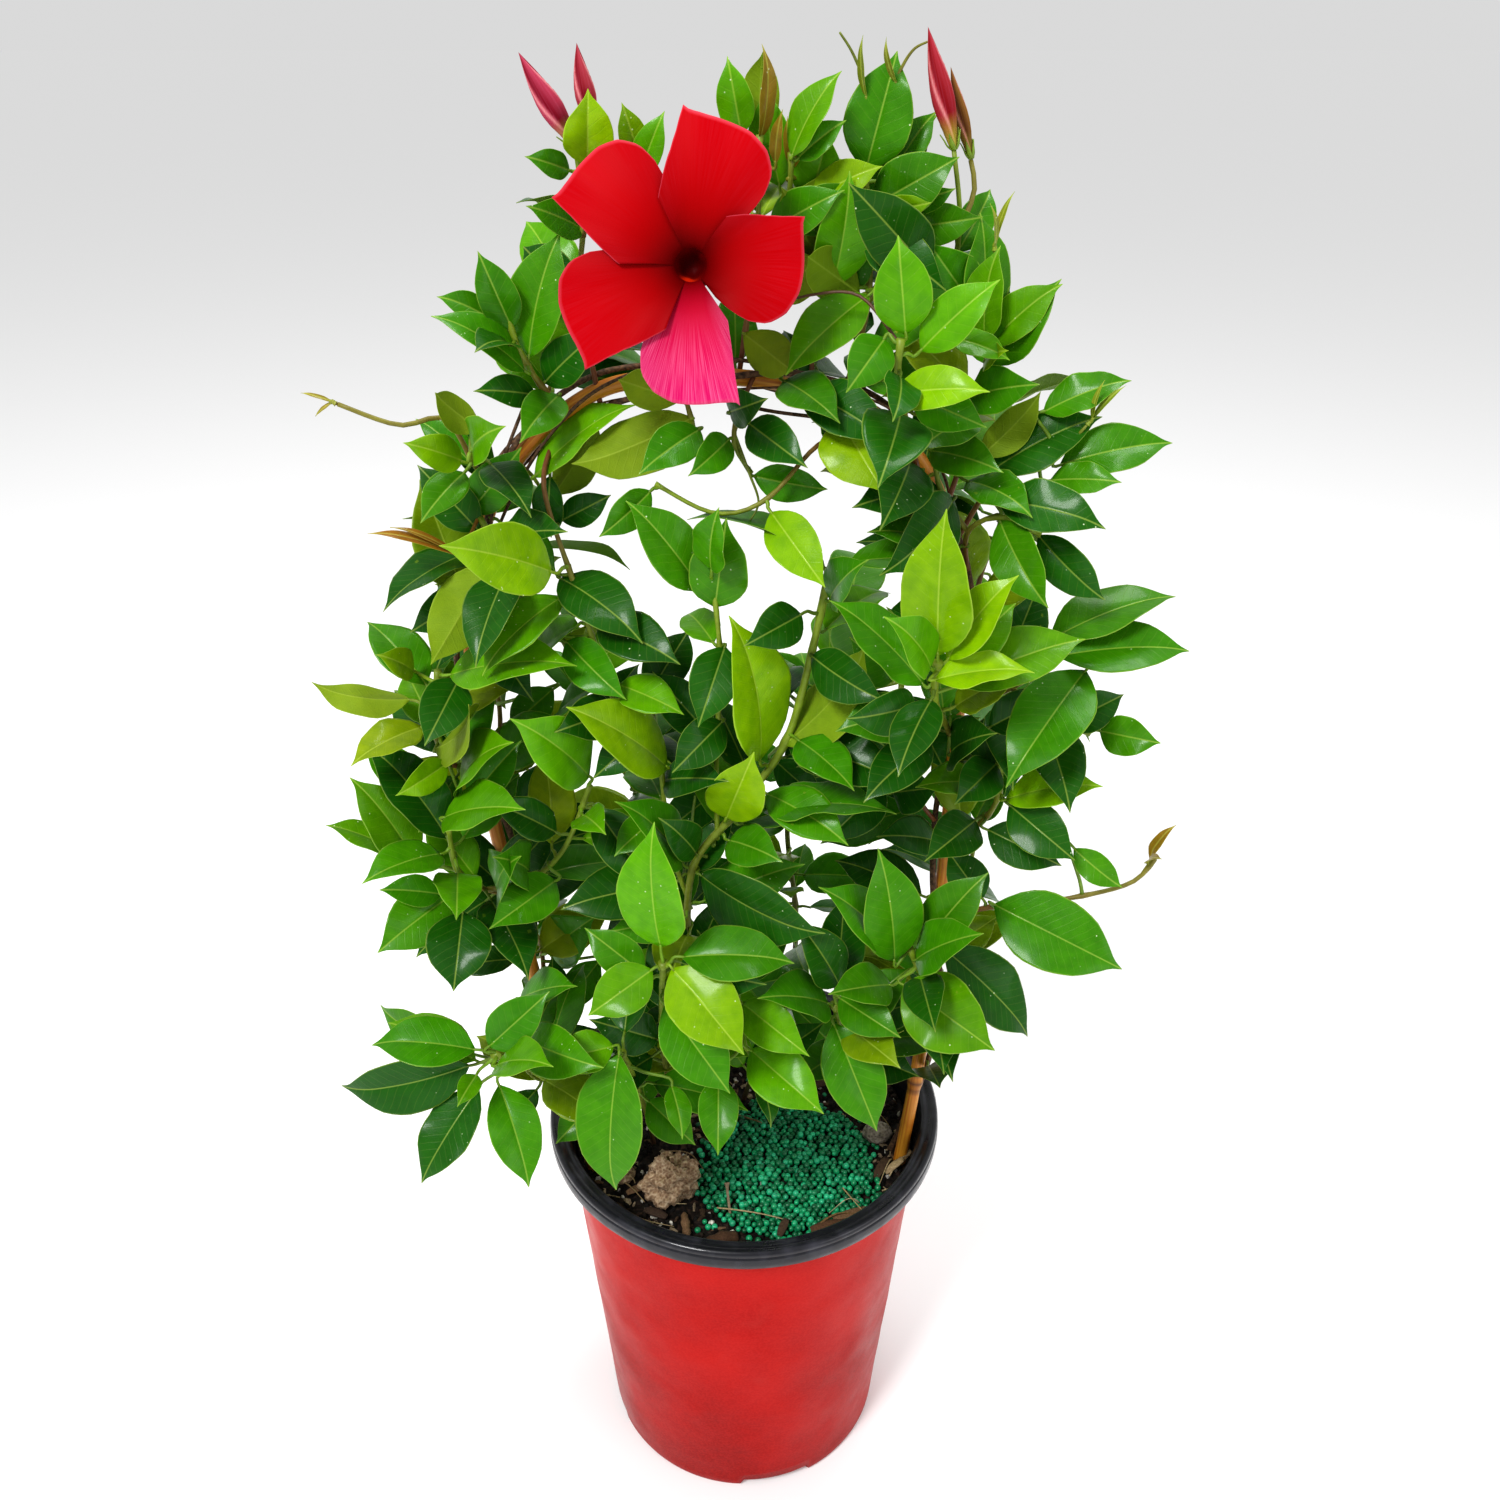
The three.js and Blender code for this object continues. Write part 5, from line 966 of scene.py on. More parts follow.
def leaf_on(skin, leaf, line, draw, tint=None, grain=FINE):
    """One leaf: a closed thin blade with sunk veins and wavy margins, on a curved stalk."""
    blade_rows, blade_columns = grain
    slim = YOUNG_SLIM if leaf["tone"] == "Z" else 1
    base, tip, normal = leaf["base"], leaf["tip"], leaf["normal"]
    axis = tip - base
    length = np.linalg.norm(axis)
    axis = axis / length
    side = sideways(axis, normal)
    up = np.cross(side, axis)
    tail, end = line[-2], line[-1]
    stem = np.vstack([line[:-1], [end + (tail - end) * STEM_END / np.linalg.norm(end - tail)]])
    middle = nearest(stem, base - axis * length * ROOT_BACK)
    root = middle + unit(base - middle) * ROOT_OUT

    shares = np.sin(np.linspace(0, math.pi / 2, blade_rows)) ** 1.15
    widths = np.interp(shares, BLADE_OUTLINE[:, 0], BLADE_OUTLINE[:, 1]) * leaf["breadth"] / 2 * slim
    # Each blade has waves, a cup, a twist and a hooked tip of its own
    waves = 1.3 + 1.2 * draw()
    lag = 2 * math.pi * draw()
    ripple = 0.04 + 0.08 * draw()
    cup = 0.2 + 0.12 * draw()
    twist = (draw() - 0.5) * 0.7
    hook = 0.02 + 0.05 * draw()
    upper, lower, marks = [], [], []
    for share, width in zip(shares, widths):
        spine = base + axis * length * share + up * ARCH * length * 4 * share * (1 - share)
        spine = spine - up * hook * length * max(0, (share - 0.7) / 0.3) ** 2
        s_turned = side * math.cos(twist * share) + up * math.sin(twist * share)
        u_turned = up * math.cos(twist * share) - side * math.sin(twist * share)
        for s in blade_columns:
            off = abs(s)
            rise = width * (cup * off + (FOLD - cup) * off ** 2)
            swing = 2 * math.pi * waves * share + lag + (MARGIN_LAG if s > 0 else 0)
            rise += width * ripple * math.sin(swing) * off ** 2
            rib = math.exp(-(s * width / RIB_WIDTH) ** 2)
            thick = BLADE_THICK - MARGIN_THINS * off
            p = spine + s_turned * s * width + u_turned * rise
            upper.append(p + u_turned * (thick / 2 - RIB_GROOVE * rib * min(1, 3 * (1 - share))))
            lower.append(p - u_turned * (thick / 2 + RIB_KEEL * rib * (1 - share)))
            marks.append((s * width, share * length, off))
    blade = np.array(upper + lower)
    # A wavy edge that would pass the frame's box draws its blade back, more towards the tip
    past = np.maximum(blade.max(axis=0) - box_high, 0) + np.minimum(blade.min(axis=0) - box_low, 0)
    blade -= past * np.tile(np.repeat(np.minimum(1, shares / 0.3), len(blade_columns)), 2)[:, None]
    top, bottom, strip = sheet_faces(blade_rows, len(blade_columns))
    colour = linear(TONES[leaf["tone"]]) if tint is None else tint
    colour = colour * (0.86 + 0.3 * draw())
    colour = colour * np.array([0.92 + 0.2 * draw(), 1, 0.9 + 0.2 * draw()])
    shade = np.array([1 + 0.14 * (1 - m[1] / length) for m in marks])[:, None]
    tints = np.tile(colour, (len(marks), 1)) * shade
    finishes = [UPPER] * len(top) + [UNDERSIDE] * len(bottom) + [UPPER] * len(strip)
    skin.add(blade, top + bottom + strip, np.vstack([tints, tints]), marks + marks, finishes)

    # Stalk: leaves the stem, bends into the blade and runs on beneath as the midrib
    reach = np.linalg.norm(base - root)
    outward = unit(base - root)
    knee = base - axis * min(reach * 0.4, 3.5)
    path = smooth([root - outward * 0.6, root + outward * reach * 0.35, knee, base + axis * 1.2], 3)
    radii = np.linspace(*STALK_RADII, len(path))
    radii[0] = STALK_FOOT
    tube(skin, path, radii, STALK_SIDES, colour * 0.5 + YOUNG_STEM * 0.6, SHOOT)


def stem_on(skin, shoot, name, draw):
    """The stem and its side branches, a little swollen where leaves grow."""
    knots = [nearest(line, leaf["base"]) for leaf, line in shoot["leaves"]]
    for order, line in enumerate(shoot["all"]):
        path = evenly(smooth(line, 8), 5.0)
        ratio = np.linspace(0, 1, len(path))
        radii = shoot["radius"] * (1 - STEM_TAPER * ratio)
        for knot in knots:
            gap = np.linalg.norm(path - knot, axis=1)
            radii = radii + KNOT_SWELL * np.exp(-(gap / KNOT_WIDTH) ** 2)
        old = OLD_STEM if shoot["carrier"] == "soil" else BRONZE_STEM
        if shoot["carrier"] in shoots:
            old = YOUNG_STEM
        age = np.clip(1.25 - 1.6 * ratio if order == 0 else 0.5 - ratio, 0, 1)[:, None]
        tints = old * age + YOUNG_STEM * (1 - age)
        if (name, order) in SLENDER:
            tints = tints * 0.5 + BRONZE_STEM * 0.5
        tube(skin, path, radii, STEM_SIDES, tints * (0.9 + 0.2 * draw()), SHOOT)


# Inner leaves: smaller and darker ones, in opposite pairs, between the leaves of the frame

INNER_STEP = 15
INNER_SIZES = (30, 52)
INNER_STALK = 7
INNER_BREADTH = 0.52
BOX_MARGIN = 7
LEAST_APART = 5.5
# Places on the hoop's plane that stay open to the viewer: X, Z and half sizes
OPEN_PLACES = [
    (-17, 547, 62, 27), (8, 590, 24, 14), (-63, 434, 7, 10), (15, 338, 11, 19), (-83, 306, 8, 13),
    (115, 400, 11, 16), (100, 368, 8, 9), (14, 168, 92, 76), (-80, 598, 24, 13),
]
LOWEST_LEAF = 262
# How far outside the hoop the mass reaches, beside it and above it
MASS_REACH = (44, 80)
MASS_CENTRE = np.array([0, 430])
HOOP_TOP = 620
# Lines of shoots that stay slender and bronze, by shoot and order
SLENDER = [("left_shoulder", 1), ("right_long", 0), ("top_right_spray", 1), ("top_left_spray", 1)]
SHOOT_TONES, VINE_TONES = "DMDBOM", "DDMDO"
# Shoots that carry twice as many inner leaves
THICK = ("top", "right_crown", "right_shoulder", "right_reach", "left_hang", "left_far", "back_top")
CROWN_KEEPS_CLEAR = 62
# Seeds of the random streams, and what each shoot's number adds to them
CROWN_SEED = 4300
FOLIAGE_SEED, FOLIAGE_SEED_STEP = 1000, 37
INNER_SEED, INNER_SEED_STEP = 5000, 53
VINE_SEED, VINE_SEED_STEP = 7000, 71
box_low, box_high = (np.array(corner) / MM for corner in CAD_BOX)


def seen_through(p):
    """Where the viewer's line to a point meets the hoop's plane, as X and Z."""
    eye = np.array(VIEWER, float)
    q = eye + (p - eye) * eye[1] / (eye[1] - p[1])
    return q[0], q[2]


def is_open(p):
    """Whether a point would cover an open place, or the ground close round the flower."""
    x, z = seen_through(p)
    if any(((x - cx) / half_x) ** 2 + ((z - cz) / half_z) ** 2 < 1 for cx, cz, half_x, half_z in OPEN_PLACES):
        return True
    flower = np.array(FLOWER_CENTRE)
    fx, fz = seen_through(flower)
    return p[1] < 12 and math.hypot(x - fx, z - fz) < CROWN_KEEPS_CLEAR


def beyond_mass(p):
    """Whether a point lies farther outside the hoop than the mass of leaves reaches."""
    flat, spot = hoop_fine[:, [0, 2]], p[[0, 2]]
    gaps = np.linalg.norm(flat - spot, axis=1)
    outside = np.linalg.norm(spot - MASS_CENTRE) > np.linalg.norm(flat[gaps.argmin()] - MASS_CENTRE)
    return outside and gaps.min() > MASS_REACH[0 if p[2] < HOOP_TOP else 1]


def samples_of(leaf):
    """Points along the middle and both margins of a blade."""
    axis = leaf["tip"] - leaf["base"]
    side = sideways(unit(axis), leaf["normal"]) * leaf["breadth"] / 2
    places = [(0.1, 0), (0.4, 0), (0.7, 0), (1, 0), (0.3, 0.8), (0.3, -0.8), (0.6, 0.8), (0.6, -0.8)]
    return np.array([leaf["base"] + axis * t + side * s for t, s in places])


taken = np.vstack([samples_of(leaf) for shoot in shoots.values() for leaf, _ in shoot["leaves"]])


def inner_leaves(line, start, stop, draw, tones):
    """Opposite pairs along a stem between two shares of its length, where there is room for them."""
    global taken
    found = []
    joints = evenly(line, INNER_STEP)
    turn = draw() * math.pi
    for i in range(1, len(joints) - 1):
        turn += math.pi / 2 + 0.5 * (draw() - 0.5)
        share = i / (len(joints) - 1)
        axis = unit(joints[i + 1] - joints[i - 1])
        across = sideways(axis, np.array([0.1, 0.6, 0.8]))
        back = np.cross(axis, across)
        for half in (0, math.pi):
            way = across * math.cos(turn + half) + back * math.sin(turn + half)
            way = unit(way + axis * (0.2 + 0.5 * draw()) + [0, 0, 0.5 * draw() - 0.35])
            size = INNER_SIZES[0] + (INNER_SIZES[1] - INNER_SIZES[0]) * draw()
            lean, pick = draw() - 0.5, draw()
            if not start < share < stop:
                continue
            base = joints[i] + way * INNER_STALK
            tilt = unit(np.array([way[0] * 0.3 + lean * 0.9, -0.55 + 0.5 * way[1], 0.9]))
            normal = unit(tilt - way * np.dot(tilt, way))
            leaf = {"base": base, "tip": base + way * size, "normal": normal,
                    "breadth": size * INNER_BREADTH * (0.9 + 0.25 * pick),
                    "tone": tones[int(pick * len(tones)) % len(tones)]}
            points = samples_of(leaf)
            if (points < box_low + BOX_MARGIN).any() or (points > box_high - BOX_MARGIN).any():
                continue
            if points[:, 2].min() < LOWEST_LEAF or beyond_mass(leaf["tip"]):
                continue
            if any(is_open(p) for p in points):
                continue
            gaps = np.linalg.norm(points[:, None, :] - taken[None, :, :], axis=2)
            if gaps.min() < LEAST_APART:
                continue
            taken = np.vstack([taken, points])
            found.append(leaf)
    return found


# The crown's upright leaves beside the flower: base, tip, breadth seen from the front, and tone
CROWN = [
    ((14, 10, 691), (8, 4, 726), 16, "B"), ((5, 6, 709), (7, 2, 738), 15, "O"),
    ((20, 4, 697), (16, 0, 716), 8, "Z"), ((20, 4, 697), (24, -3, 713), 8, "Z"),
    ((26, 6, 686), (32, 0, 711), 20, "B"), ((25, 0, 686), (52, -8, 700), 12, "L"),
    ((34, 2, 655), (14, -8, 693), 22, "O"), ((35, -2, 655), (40, -12, 698), 20, "B"),
    ((49, -8, 653), (16, -22, 626), 19, "B"), ((72, -10, 662), (39, -22, 695), 24, "D"),
    ((51, 14, 684), (73, 10, 717), 15, "M"), ((52, -12, 684), (70, -18, 688), 10, "L"),
    ((89, -2, 651), (71, -12, 673), 22, "M"), ((96, 0, 641), (91, -8, 683), 18, "M"),
    ((98, -12, 635), (121, -22, 660), 14, "B"), ((100, -8, 636), (103, -14, 657), 11, "M"),
    ((80, -24, 640), (102, -34, 634), 9, "B"), ((36, 8, 654), (51, 4, 671), 18, "M"),
    ((-88, -8, 580), (-45, -10, 612), 13, "B"), ((-82, 2, 569), (-61, 4, 601), 17, "O"),
    ((-79, 0, 558), (-57, -2, 570), 14, "D"),
]
# Dark leaves in the shade behind the middle shoots
SHADED = [
    ((-9, 20, 414), (-43, 16, 385), 22, "D"), ((-22, 20, 406), (2, 14, 379), 20, "D"),
    ((-47, 18, 329), (-56, 12, 291), 19, "D"), ((-40, 20, 345), (-74, 16, 324), 21, "D"),
    ((-14, 14, 313), (17, 10, 291), 20, "D"), ((80, 20, 417), (63, 14, 382), 20, "D"),
    ((103, 14, 481), (87, 10, 451), 18, "D"), ((-90, 10, 472), (-112, 6, 453), 18, "M"),
    ((-53, 22, 377), (-82, 18, 358), 20, "D"), ((15, 20, 428), (38, 16, 407), 17, "D"),
    ((-46, 22, 435), (-21, 18, 462), 18, "D"), ((-77, 14, 309), (-99, 8, 280), 19, "M"),
    ((116, 14, 397), (129, 10, 434), 19, "M"), ((-5, 22, 368), (-28, 18, 342), 19, "D"),
]
all_lines = [line for shoot in shoots.values() for line in shoot["all"]]
draw = seeded(CROWN_SEED)
for name, rows in (("crown_leaves", CROWN), ("shaded_leaves", SHADED)):
    skin = Skin()
    for order, (base, tip, seen, tone) in enumerate(rows):
        leaf = facing(np.array(base, float), np.array(tip, float), seen, tone, order)
        carrier = min(all_lines, key=lambda line: np.linalg.norm(nearest(line, leaf["base"]) - leaf["base"]))
        leaf_on(skin, leaf, carrier, draw)
        taken = np.vstack([taken, samples_of(leaf)])
    place(skin.build(name, foliage), "leaf")

inner_count = 0
for number, (name, shoot) in enumerate(shoots.items()):
    draw = seeded(FOLIAGE_SEED + number * FOLIAGE_SEED_STEP)
    skin = Skin()
    stem_on(skin, shoot, name, draw)
    for leaf, line in shoot["leaves"]:
        leaf_on(skin, leaf, line, draw)
    draw = seeded(INNER_SEED + number * INNER_SEED_STEP)
    for order, line in enumerate(shoot["all"]):
        if (name, order) in SLENDER:
            continue
        for _ in range(2 if name.startswith(THICK) else 1):
            for leaf in inner_leaves(line, 0.05, 0.95, draw, SHOOT_TONES):
                leaf_on(skin, leaf, line, draw, grain=PLAIN)
                inner_count += 1
    place(skin.build(name + "_foliage", foliage), "leaf", name)
for number, name in enumerate(("right_vine", "left_vine")):
    draw = seeded(VINE_SEED + number * VINE_SEED_STEP)
    skin = Skin()
    for leaf in inner_leaves(lines[name], 0.08, 1.0, draw, VINE_TONES):
        leaf_on(skin, leaf, lines[name], draw, grain=PLAIN)
        inner_count += 1
    place(skin.build(name + "_inner_leaves", foliage), "leaf")
print("inner leaves:", inner_count)

# Young growth too thin for the frame: stems that carry narrow bronze leaves, and some that only curl

# Path, thickness and colour of the stem, then base, tip and breadth of each young leaf on it
SPRIGS = [
    ([(-111, -18, 566), (-114, -30, 560), (-117, -38, 556)], 0.9, "#8E6420",
     [(-117, -38, 556, -150, -46, 569, 8), (-118, -38, 557, -141, -45, 571, 6)]),
    ([(47, 6, 700), (47, 5, 722), (41, 3, 736), (35, -1, 744)], 0.8, "#6E7A24",
     [(46, 3, 722, 43, -2, 743, 6)]),
    ([(48, 5, 708), (57, 3, 729), (62, 0, 738), (67, -3, 741)], 0.8, "#7A7A28",
     [(57, 2, 727, 51, -6, 742, 5)]),
    ([(97, -12, 640), (97, -13, 658), (96, -14, 673)], 0.9, "#7E8A28",
     [(96, -14, 673, 100, -20, 692, 7), (96, -14, 672, 92, -24, 688, 5)]),
    ([(134, -18, 598), (140, -20, 607)], 0.9, "#7E8A28",
     [(140, -20, 607, 141, -26, 624, 6), (140, -20, 607, 150, -25, 622, 6)]),
    ([(42, -67, 346), (48, -63, 339), (51, -66, 327), (61, -68, 317)], 1.1, "#9AA040",
     [(61, -68, 317, 74, -71, 334, 8), (61, -68, 317, 66, -78, 332, 6), (61, -68, 316, 72, -62, 326, 6)]),
    ([(-158, -35, 617), (-161, -35, 618)], 0.7, "#7A6A28",
     [(-160, -35, 618, -171, -37, 622, 5), (-160, -35, 618, -168, -34, 612, 4)]),
    ([(-97, -52, 286), (-102, -60, 294), (-110, -62, 306), (-113, -64, 303)], 0.8, "#7A8A28", []),
    ([(59, -38, 640), (44, -27, 656), (24, -21, 655), (6, -15, 648)], 0.8, "#5A3C22", []),
    ([(-4, -14, 600), (2, -22, 586), (6, -24, 574), (2, -26, 566)], 0.7, "#6A7A24", []),
]
SPRIG_SLIM = 0.6
SPRIG_SIDES = 8
SPRIG_SEED = 4100
skin = Skin()
draw = seeded(SPRIG_SEED)
for path, thick, colour, young in SPRIGS:
    line = np.array(path, float)
    run = smooth(line, 6) if len(line) > 2 else line
    tube(skin, run, np.linspace(thick, thick * 0.5, len(run)), SPRIG_SIDES, linear(colour), SHOOT)
    for order, row in enumerate(young):
        leaf = facing(np.array(row[:3], float), np.array(row[3:6], float), row[6], "Z", order)
        leaf["breadth"] *= SPRIG_SLIM
        leaf_on(skin, leaf, line, draw, linear(colour))
place(skin.build("young_sprigs", foliage), "leaf")

# Two old vines twine up the hoop

def flute(turn, at):
    """Shallow grooves that wind round an old stem."""
    return 1 + 0.07 * math.sin(3 * turn + at * 0.05) + 0.03 * math.sin(7 * turn - at * 0.11)


def woody(skin, path, radius, taper=VINE_TAPER, sides=12):
    """A woody stem, lumpy and fluted, that strays a little from its path."""
    path = evenly(smooth(path, 8), 4.0)
    ratio = np.linspace(0, 1, len(path))
    lumps = np.array([1 + 0.12 * noise.noise(Vector(p * 0.09)) + 0.1 * noise.noise(Vector(p * 0.4))
                      for p in path])
    radii = radius * (1 - taper * ratio) * lumps
    jitter = np.array([[noise.noise(Vector(p * 0.035 + k * 9.1)) for k in range(3)] for p in path])
    path = path + jitter * radius * 0.5
    tube(skin, path, radii, sides, wobble=flute)


for name in ("right_vine", "left_vine"):
    skin = Skin()
    woody(skin, lines[name], VINE_RADIUS)
    place(skin.build(name + "_wood", [vine_bark]), "woody_stem", name)

# Thin dark twigs wind over the arch between the vines: start and end as shares of the hoop, phase, radius
TWIGS = [(0.4, 0.7, 0.1, 1.0), (0.46, 0.68, 3.4, 0.8), (0.34, 0.56, 2.5, 0.8), (0.56, 0.72, 5.0, 0.7)]
TWIG_TAPER = 0.5
TWIG_SIDES = 8
skin = Skin()
for start, end, phase, radius in TWIGS:
    woody(skin, vine_line(start, end, phase), radius, TWIG_TAPER, TWIG_SIDES)
place(skin.build("arch_twigs", [vine_bark]), "woody_stem")

# The cane hoop, with ringed joints

CANE_STEP = 36
CANE_NODE_EVERY = 8
CANE_SIDES = 16
# How far a joint swells, and how wide its swelling and its scorched ring are, in mm
JOINT_SWELL = 0.8
SWELL_WIDTH = 2.4
RING_WIDTH = 1.5
EXTRA_JOINTS = [(92, -13, 250), (97.6, -3.4, 322), (-117, -4, 372)]
hoop_path = evenly(smooth(HOOP, 12), 1.5)
coarse = evenly(smooth(HOOP, 6), CANE_STEP)
joints = [coarse[i] for i in range(CANE_NODE_EVERY - 1, len(coarse), CANE_NODE_EVERY)]
joints += [nearest(hoop_path, np.array(j, float)) for j in EXTRA_JOINTS]
radii, tints = [], []
straw, scorched = linear("#DE9E34"), linear("#5A3014")
for p in hoop_path:
    gap = min(np.linalg.norm(p - j) for j in joints)
    radii.append(CANE_RADIUS + JOINT_SWELL * math.exp(-(gap / SWELL_WIDTH) ** 2))
    # A dark ring at the joint, and specks of scorch beside it
    speck = 0.5 + noise.noise(Vector(p * 0.9))
    mark = max(math.exp(-(gap / RING_WIDTH) ** 2), 0.9 * speck * math.exp(-((gap - 4.5) / 2.4) ** 2))
    mark = min(1.0, max(0.0, mark))
    weather = 0.5 + 0.5 * noise.noise(Vector(p * 0.011))
    colour = straw * (0.82 + 0.3 * weather)
    tints.append(colour * (1 - 0.9 * mark) + scorched * 0.9 * mark)
skin = Skin()
tube(skin, hoop_path, radii, CANE_SIDES, tints)
place(skin.build("cane_hoop", [cane]), "cane", "hoop")

# The pot: a tapered shell, red outside and black within, with a rolled lip and notches in its foot

POT_TURNS = 240
NOTCH_HALF = math.degrees(NOTCH_WIDTH / 2 / BASE_RADIUS)
red, black = pot_red("satin_red_polypropylene"), pot_black("black_polypropylene")
neck = POT_HEIGHT - LIP_HEIGHT


def wall_radius(height):
    return BASE_RADIUS + (BODY_TOP_RADIUS - BASE_RADIUS) * height / neck


# Outside and lip, from the middle of the base up and over: radius, height
foot = [(40, 0.6), (72, 0.3), (75, 0.0), (78.2, 0.0), (79.6, 1.0), (80.2, 2.4), (80.5, NOTCH_HEIGHT + 0.3)]
side_wall = [(wall_radius(h), h) for h in np.linspace(12, neck - 3, 26)]
lip = [
    (97.1, 212.4), (98.0, 213.2), (103.6, 213.0), (105.9, 213.6), (106.8, 215.0), (107.0, 217.5),
    (106.9, 220.0), (106.8, 220.7), (106.2, 221.1), (106.2, 221.6), (106.7, 222.0), (106.4, 223.6),
    (105.4, 224.7), (103.8, 225.0), (102.4, 224.4), (101.6, 223.7), (100.4, 223.8), (99.6, 224.4),
    (98.6, 224.4), (97.4, 223.2), (96.4, 219.0), (95.6, 214.0),
]
inner_wall = [(wall_radius(h) - WALL, h) for h in np.linspace(neck - 3, 14, 16)]
floor_inside = [(79.0, 7.0), (76.5, 3.6), (72, 3.0), (40, 3.0)]
profile = foot + side_wall + lip + inner_wall + floor_inside
first_lip = len(foot) + len(side_wall)
first_inner = first_lip + len(lip)
dented = [*range(len(foot), first_lip), *range(first_inner, first_inner + len(inner_wall))]
# In a notch the foot is set back, and the wall starts higher
notched = {3: (75.2, 0.2), 4: (75.3, 2.0), 5: (75.4, NOTCH_HEIGHT - 0.6), 6: (80.4, NOTCH_HEIGHT)}


def in_notch(degrees):
    middles = [-90 + NOTCH_TURN + 360 * n / NOTCH_COUNT for n in range(NOTCH_COUNT)]
    return any(abs((degrees - middle + 180) % 360 - 180) < NOTCH_HALF for middle in middles)


points = []
for i, (radius, height) in enumerate(profile):
    for k in range(POT_TURNS):
        turn = 2 * math.pi * k / POT_TURNS
        x, y = math.cos(turn), math.sin(turn)
        r, h = notched[i] if i in notched and in_notch(math.degrees(turn)) else (radius, height)
        if i in dented:
            # Soft dents of a thin wall, which break up its sheen
            r += 0.7 * noise.noise(Vector((x * 2.2, y * 2.2, h * 0.016 + 5)))
            r += 0.25 * noise.noise(Vector((x * 5, y * 5, h * 0.05)))
        points.append((r * x, r * y, h))
points += [(0, 0, 0.6), (0, 0, FLOOR)]
# Red up to the lip and under the base, black from the lip inwards and on the floor
finishes = [0 if i < first_lip else 1 for i in range(len(profile) - 1) for _ in range(POT_TURNS)]
finishes += [0, 1] * POT_TURNS
skin = Skin()
skin.add(points, closed_faces(len(profile), POT_TURNS), finish=finishes)
place(skin.build("pot_shell", [red, black]), "pot_plastic", "pot")

# Potting mix: a crumbly surface that dips and rises a few millimetres

MIX_RINGS, MIX_TURNS = 84, 200
MIX_RADIUS = wall_radius(SOIL_TOP) - WALL - 1.0
MIX_UNDERSIDE = SOIL_TOP - 12


def mix_level(x, y):
    """The height of the mix at a place, from broad lumps down to crumbs of 2 mm."""
    level = 1.6 * noise.noise(Vector((x * 0.035, y * 0.035, 3)))
    level += 0.9 * noise.noise(Vector((x * 0.11, y * 0.11, 7)))
    level += 0.6 * abs(noise.noise(Vector((x * 0.32, y * 0.32, 11))))
    level += 0.4 * noise.noise(Vector((x * 0.8, y * 0.8, 17)))
    return SOIL_TOP - 1.4 + level


turns = [2 * math.pi * k / MIX_TURNS for k in range(MIX_TURNS)]
points = [(0, 0, mix_level(0, 0))]
for i in range(1, MIX_RINGS + 1):
    radius = MIX_RADIUS * i / MIX_RINGS
    for turn in turns:
        x, y = radius * math.cos(turn), radius * math.sin(turn)
        points.append((x, y, mix_level(x, y)))
points += [(MIX_RADIUS * math.cos(turn), MIX_RADIUS * math.sin(turn), MIX_UNDERSIDE) for turn in turns]
points.append((0, 0, MIX_UNDERSIDE))
faces = [[0, 1 + k, 1 + (k + 1) % MIX_TURNS] for k in range(MIX_TURNS)]
for face in grid_faces(MIX_RINGS + 1, MIX_TURNS, closed=True):
    faces.append([i + 1 for i in reversed(face)])
last = 1 + MIX_RINGS * MIX_TURNS
for k in range(MIX_TURNS):
    faces.append([last + k, last + MIX_TURNS, last + (k + 1) % MIX_TURNS])
skin = Skin()
skin.add(points, faces)
place(skin.build("potting_mix_top", [potting_mix("peat_and_bark_mix")]), "potting_mix", "soil")

# Crumbs, flecks and bark bits pressed into the mix

ICO = (1 + math.sqrt(5)) / 2
ico_points = np.array([
    (-1, ICO, 0), (1, ICO, 0), (-1, -ICO, 0), (1, -ICO, 0), (0, -1, ICO), (0, 1, ICO),
    (0, -1, -ICO), (0, 1, -ICO), (ICO, 0, -1), (ICO, 0, 1), (-ICO, 0, -1), (-ICO, 0, 1),
]) / math.sqrt(1 + ICO * ICO)
ico_faces = [
    [0, 11, 5], [0, 5, 1], [0, 1, 7], [0, 7, 10], [0, 10, 11], [1, 5, 9], [5, 11, 4], [11, 10, 2], [10, 7, 6],
    [7, 1, 8], [3, 9, 4], [3, 4, 2], [3, 2, 6], [3, 6, 8], [3, 8, 9], [4, 9, 5], [2, 4, 11], [6, 2, 10],
    [8, 6, 7], [9, 8, 1],
]


def divided(points, faces, times):
    """A ball of finer triangles."""
    points, faces = list(points), list(faces)
    for _ in range(times):
        middle, finer = {}, []
        for face in faces:
            halves = []
            for a, b in zip(face, face[1:] + face[:1]):
                key = (min(a, b), max(a, b))
                if key not in middle:
                    points.append(unit(points[a] + points[b]))
                    middle[key] = len(points) - 1
                halves.append(middle[key])
            (a, b, c), (ab, bc, ca) = face, halves
            finer += [[a, ab, ca], [b, bc, ab], [c, ca, bc], [ab, bc, ca]]
        faces = finer
    return np.array(points), faces


bead_points, bead_faces = divided(ico_points, ico_faces, 1)
stone_points, stone_faces = divided(ico_points, ico_faces, 4)


def about_z(angle):
    c, s = math.cos(angle), math.sin(angle)
    return np.array([[c, -s, 0], [s, c, 0], [0, 0, 1]])


def about_x(angle):
    c, s = math.cos(angle), math.sin(angle)
    return np.array([[1, 0, 0], [0, c, -s], [0, s, c]])


def about_y(angle):
    c, s = math.cos(angle), math.sin(angle)
    return np.array([[c, 0, s], [0, 1, 0], [-s, 0, c]])


def spun(draw):
    """A random turn about all three axes."""
    a, b, c = (draw() * 2 * math.pi for _ in range(3))
    return about_z(a) @ about_x(b) @ about_y(c)


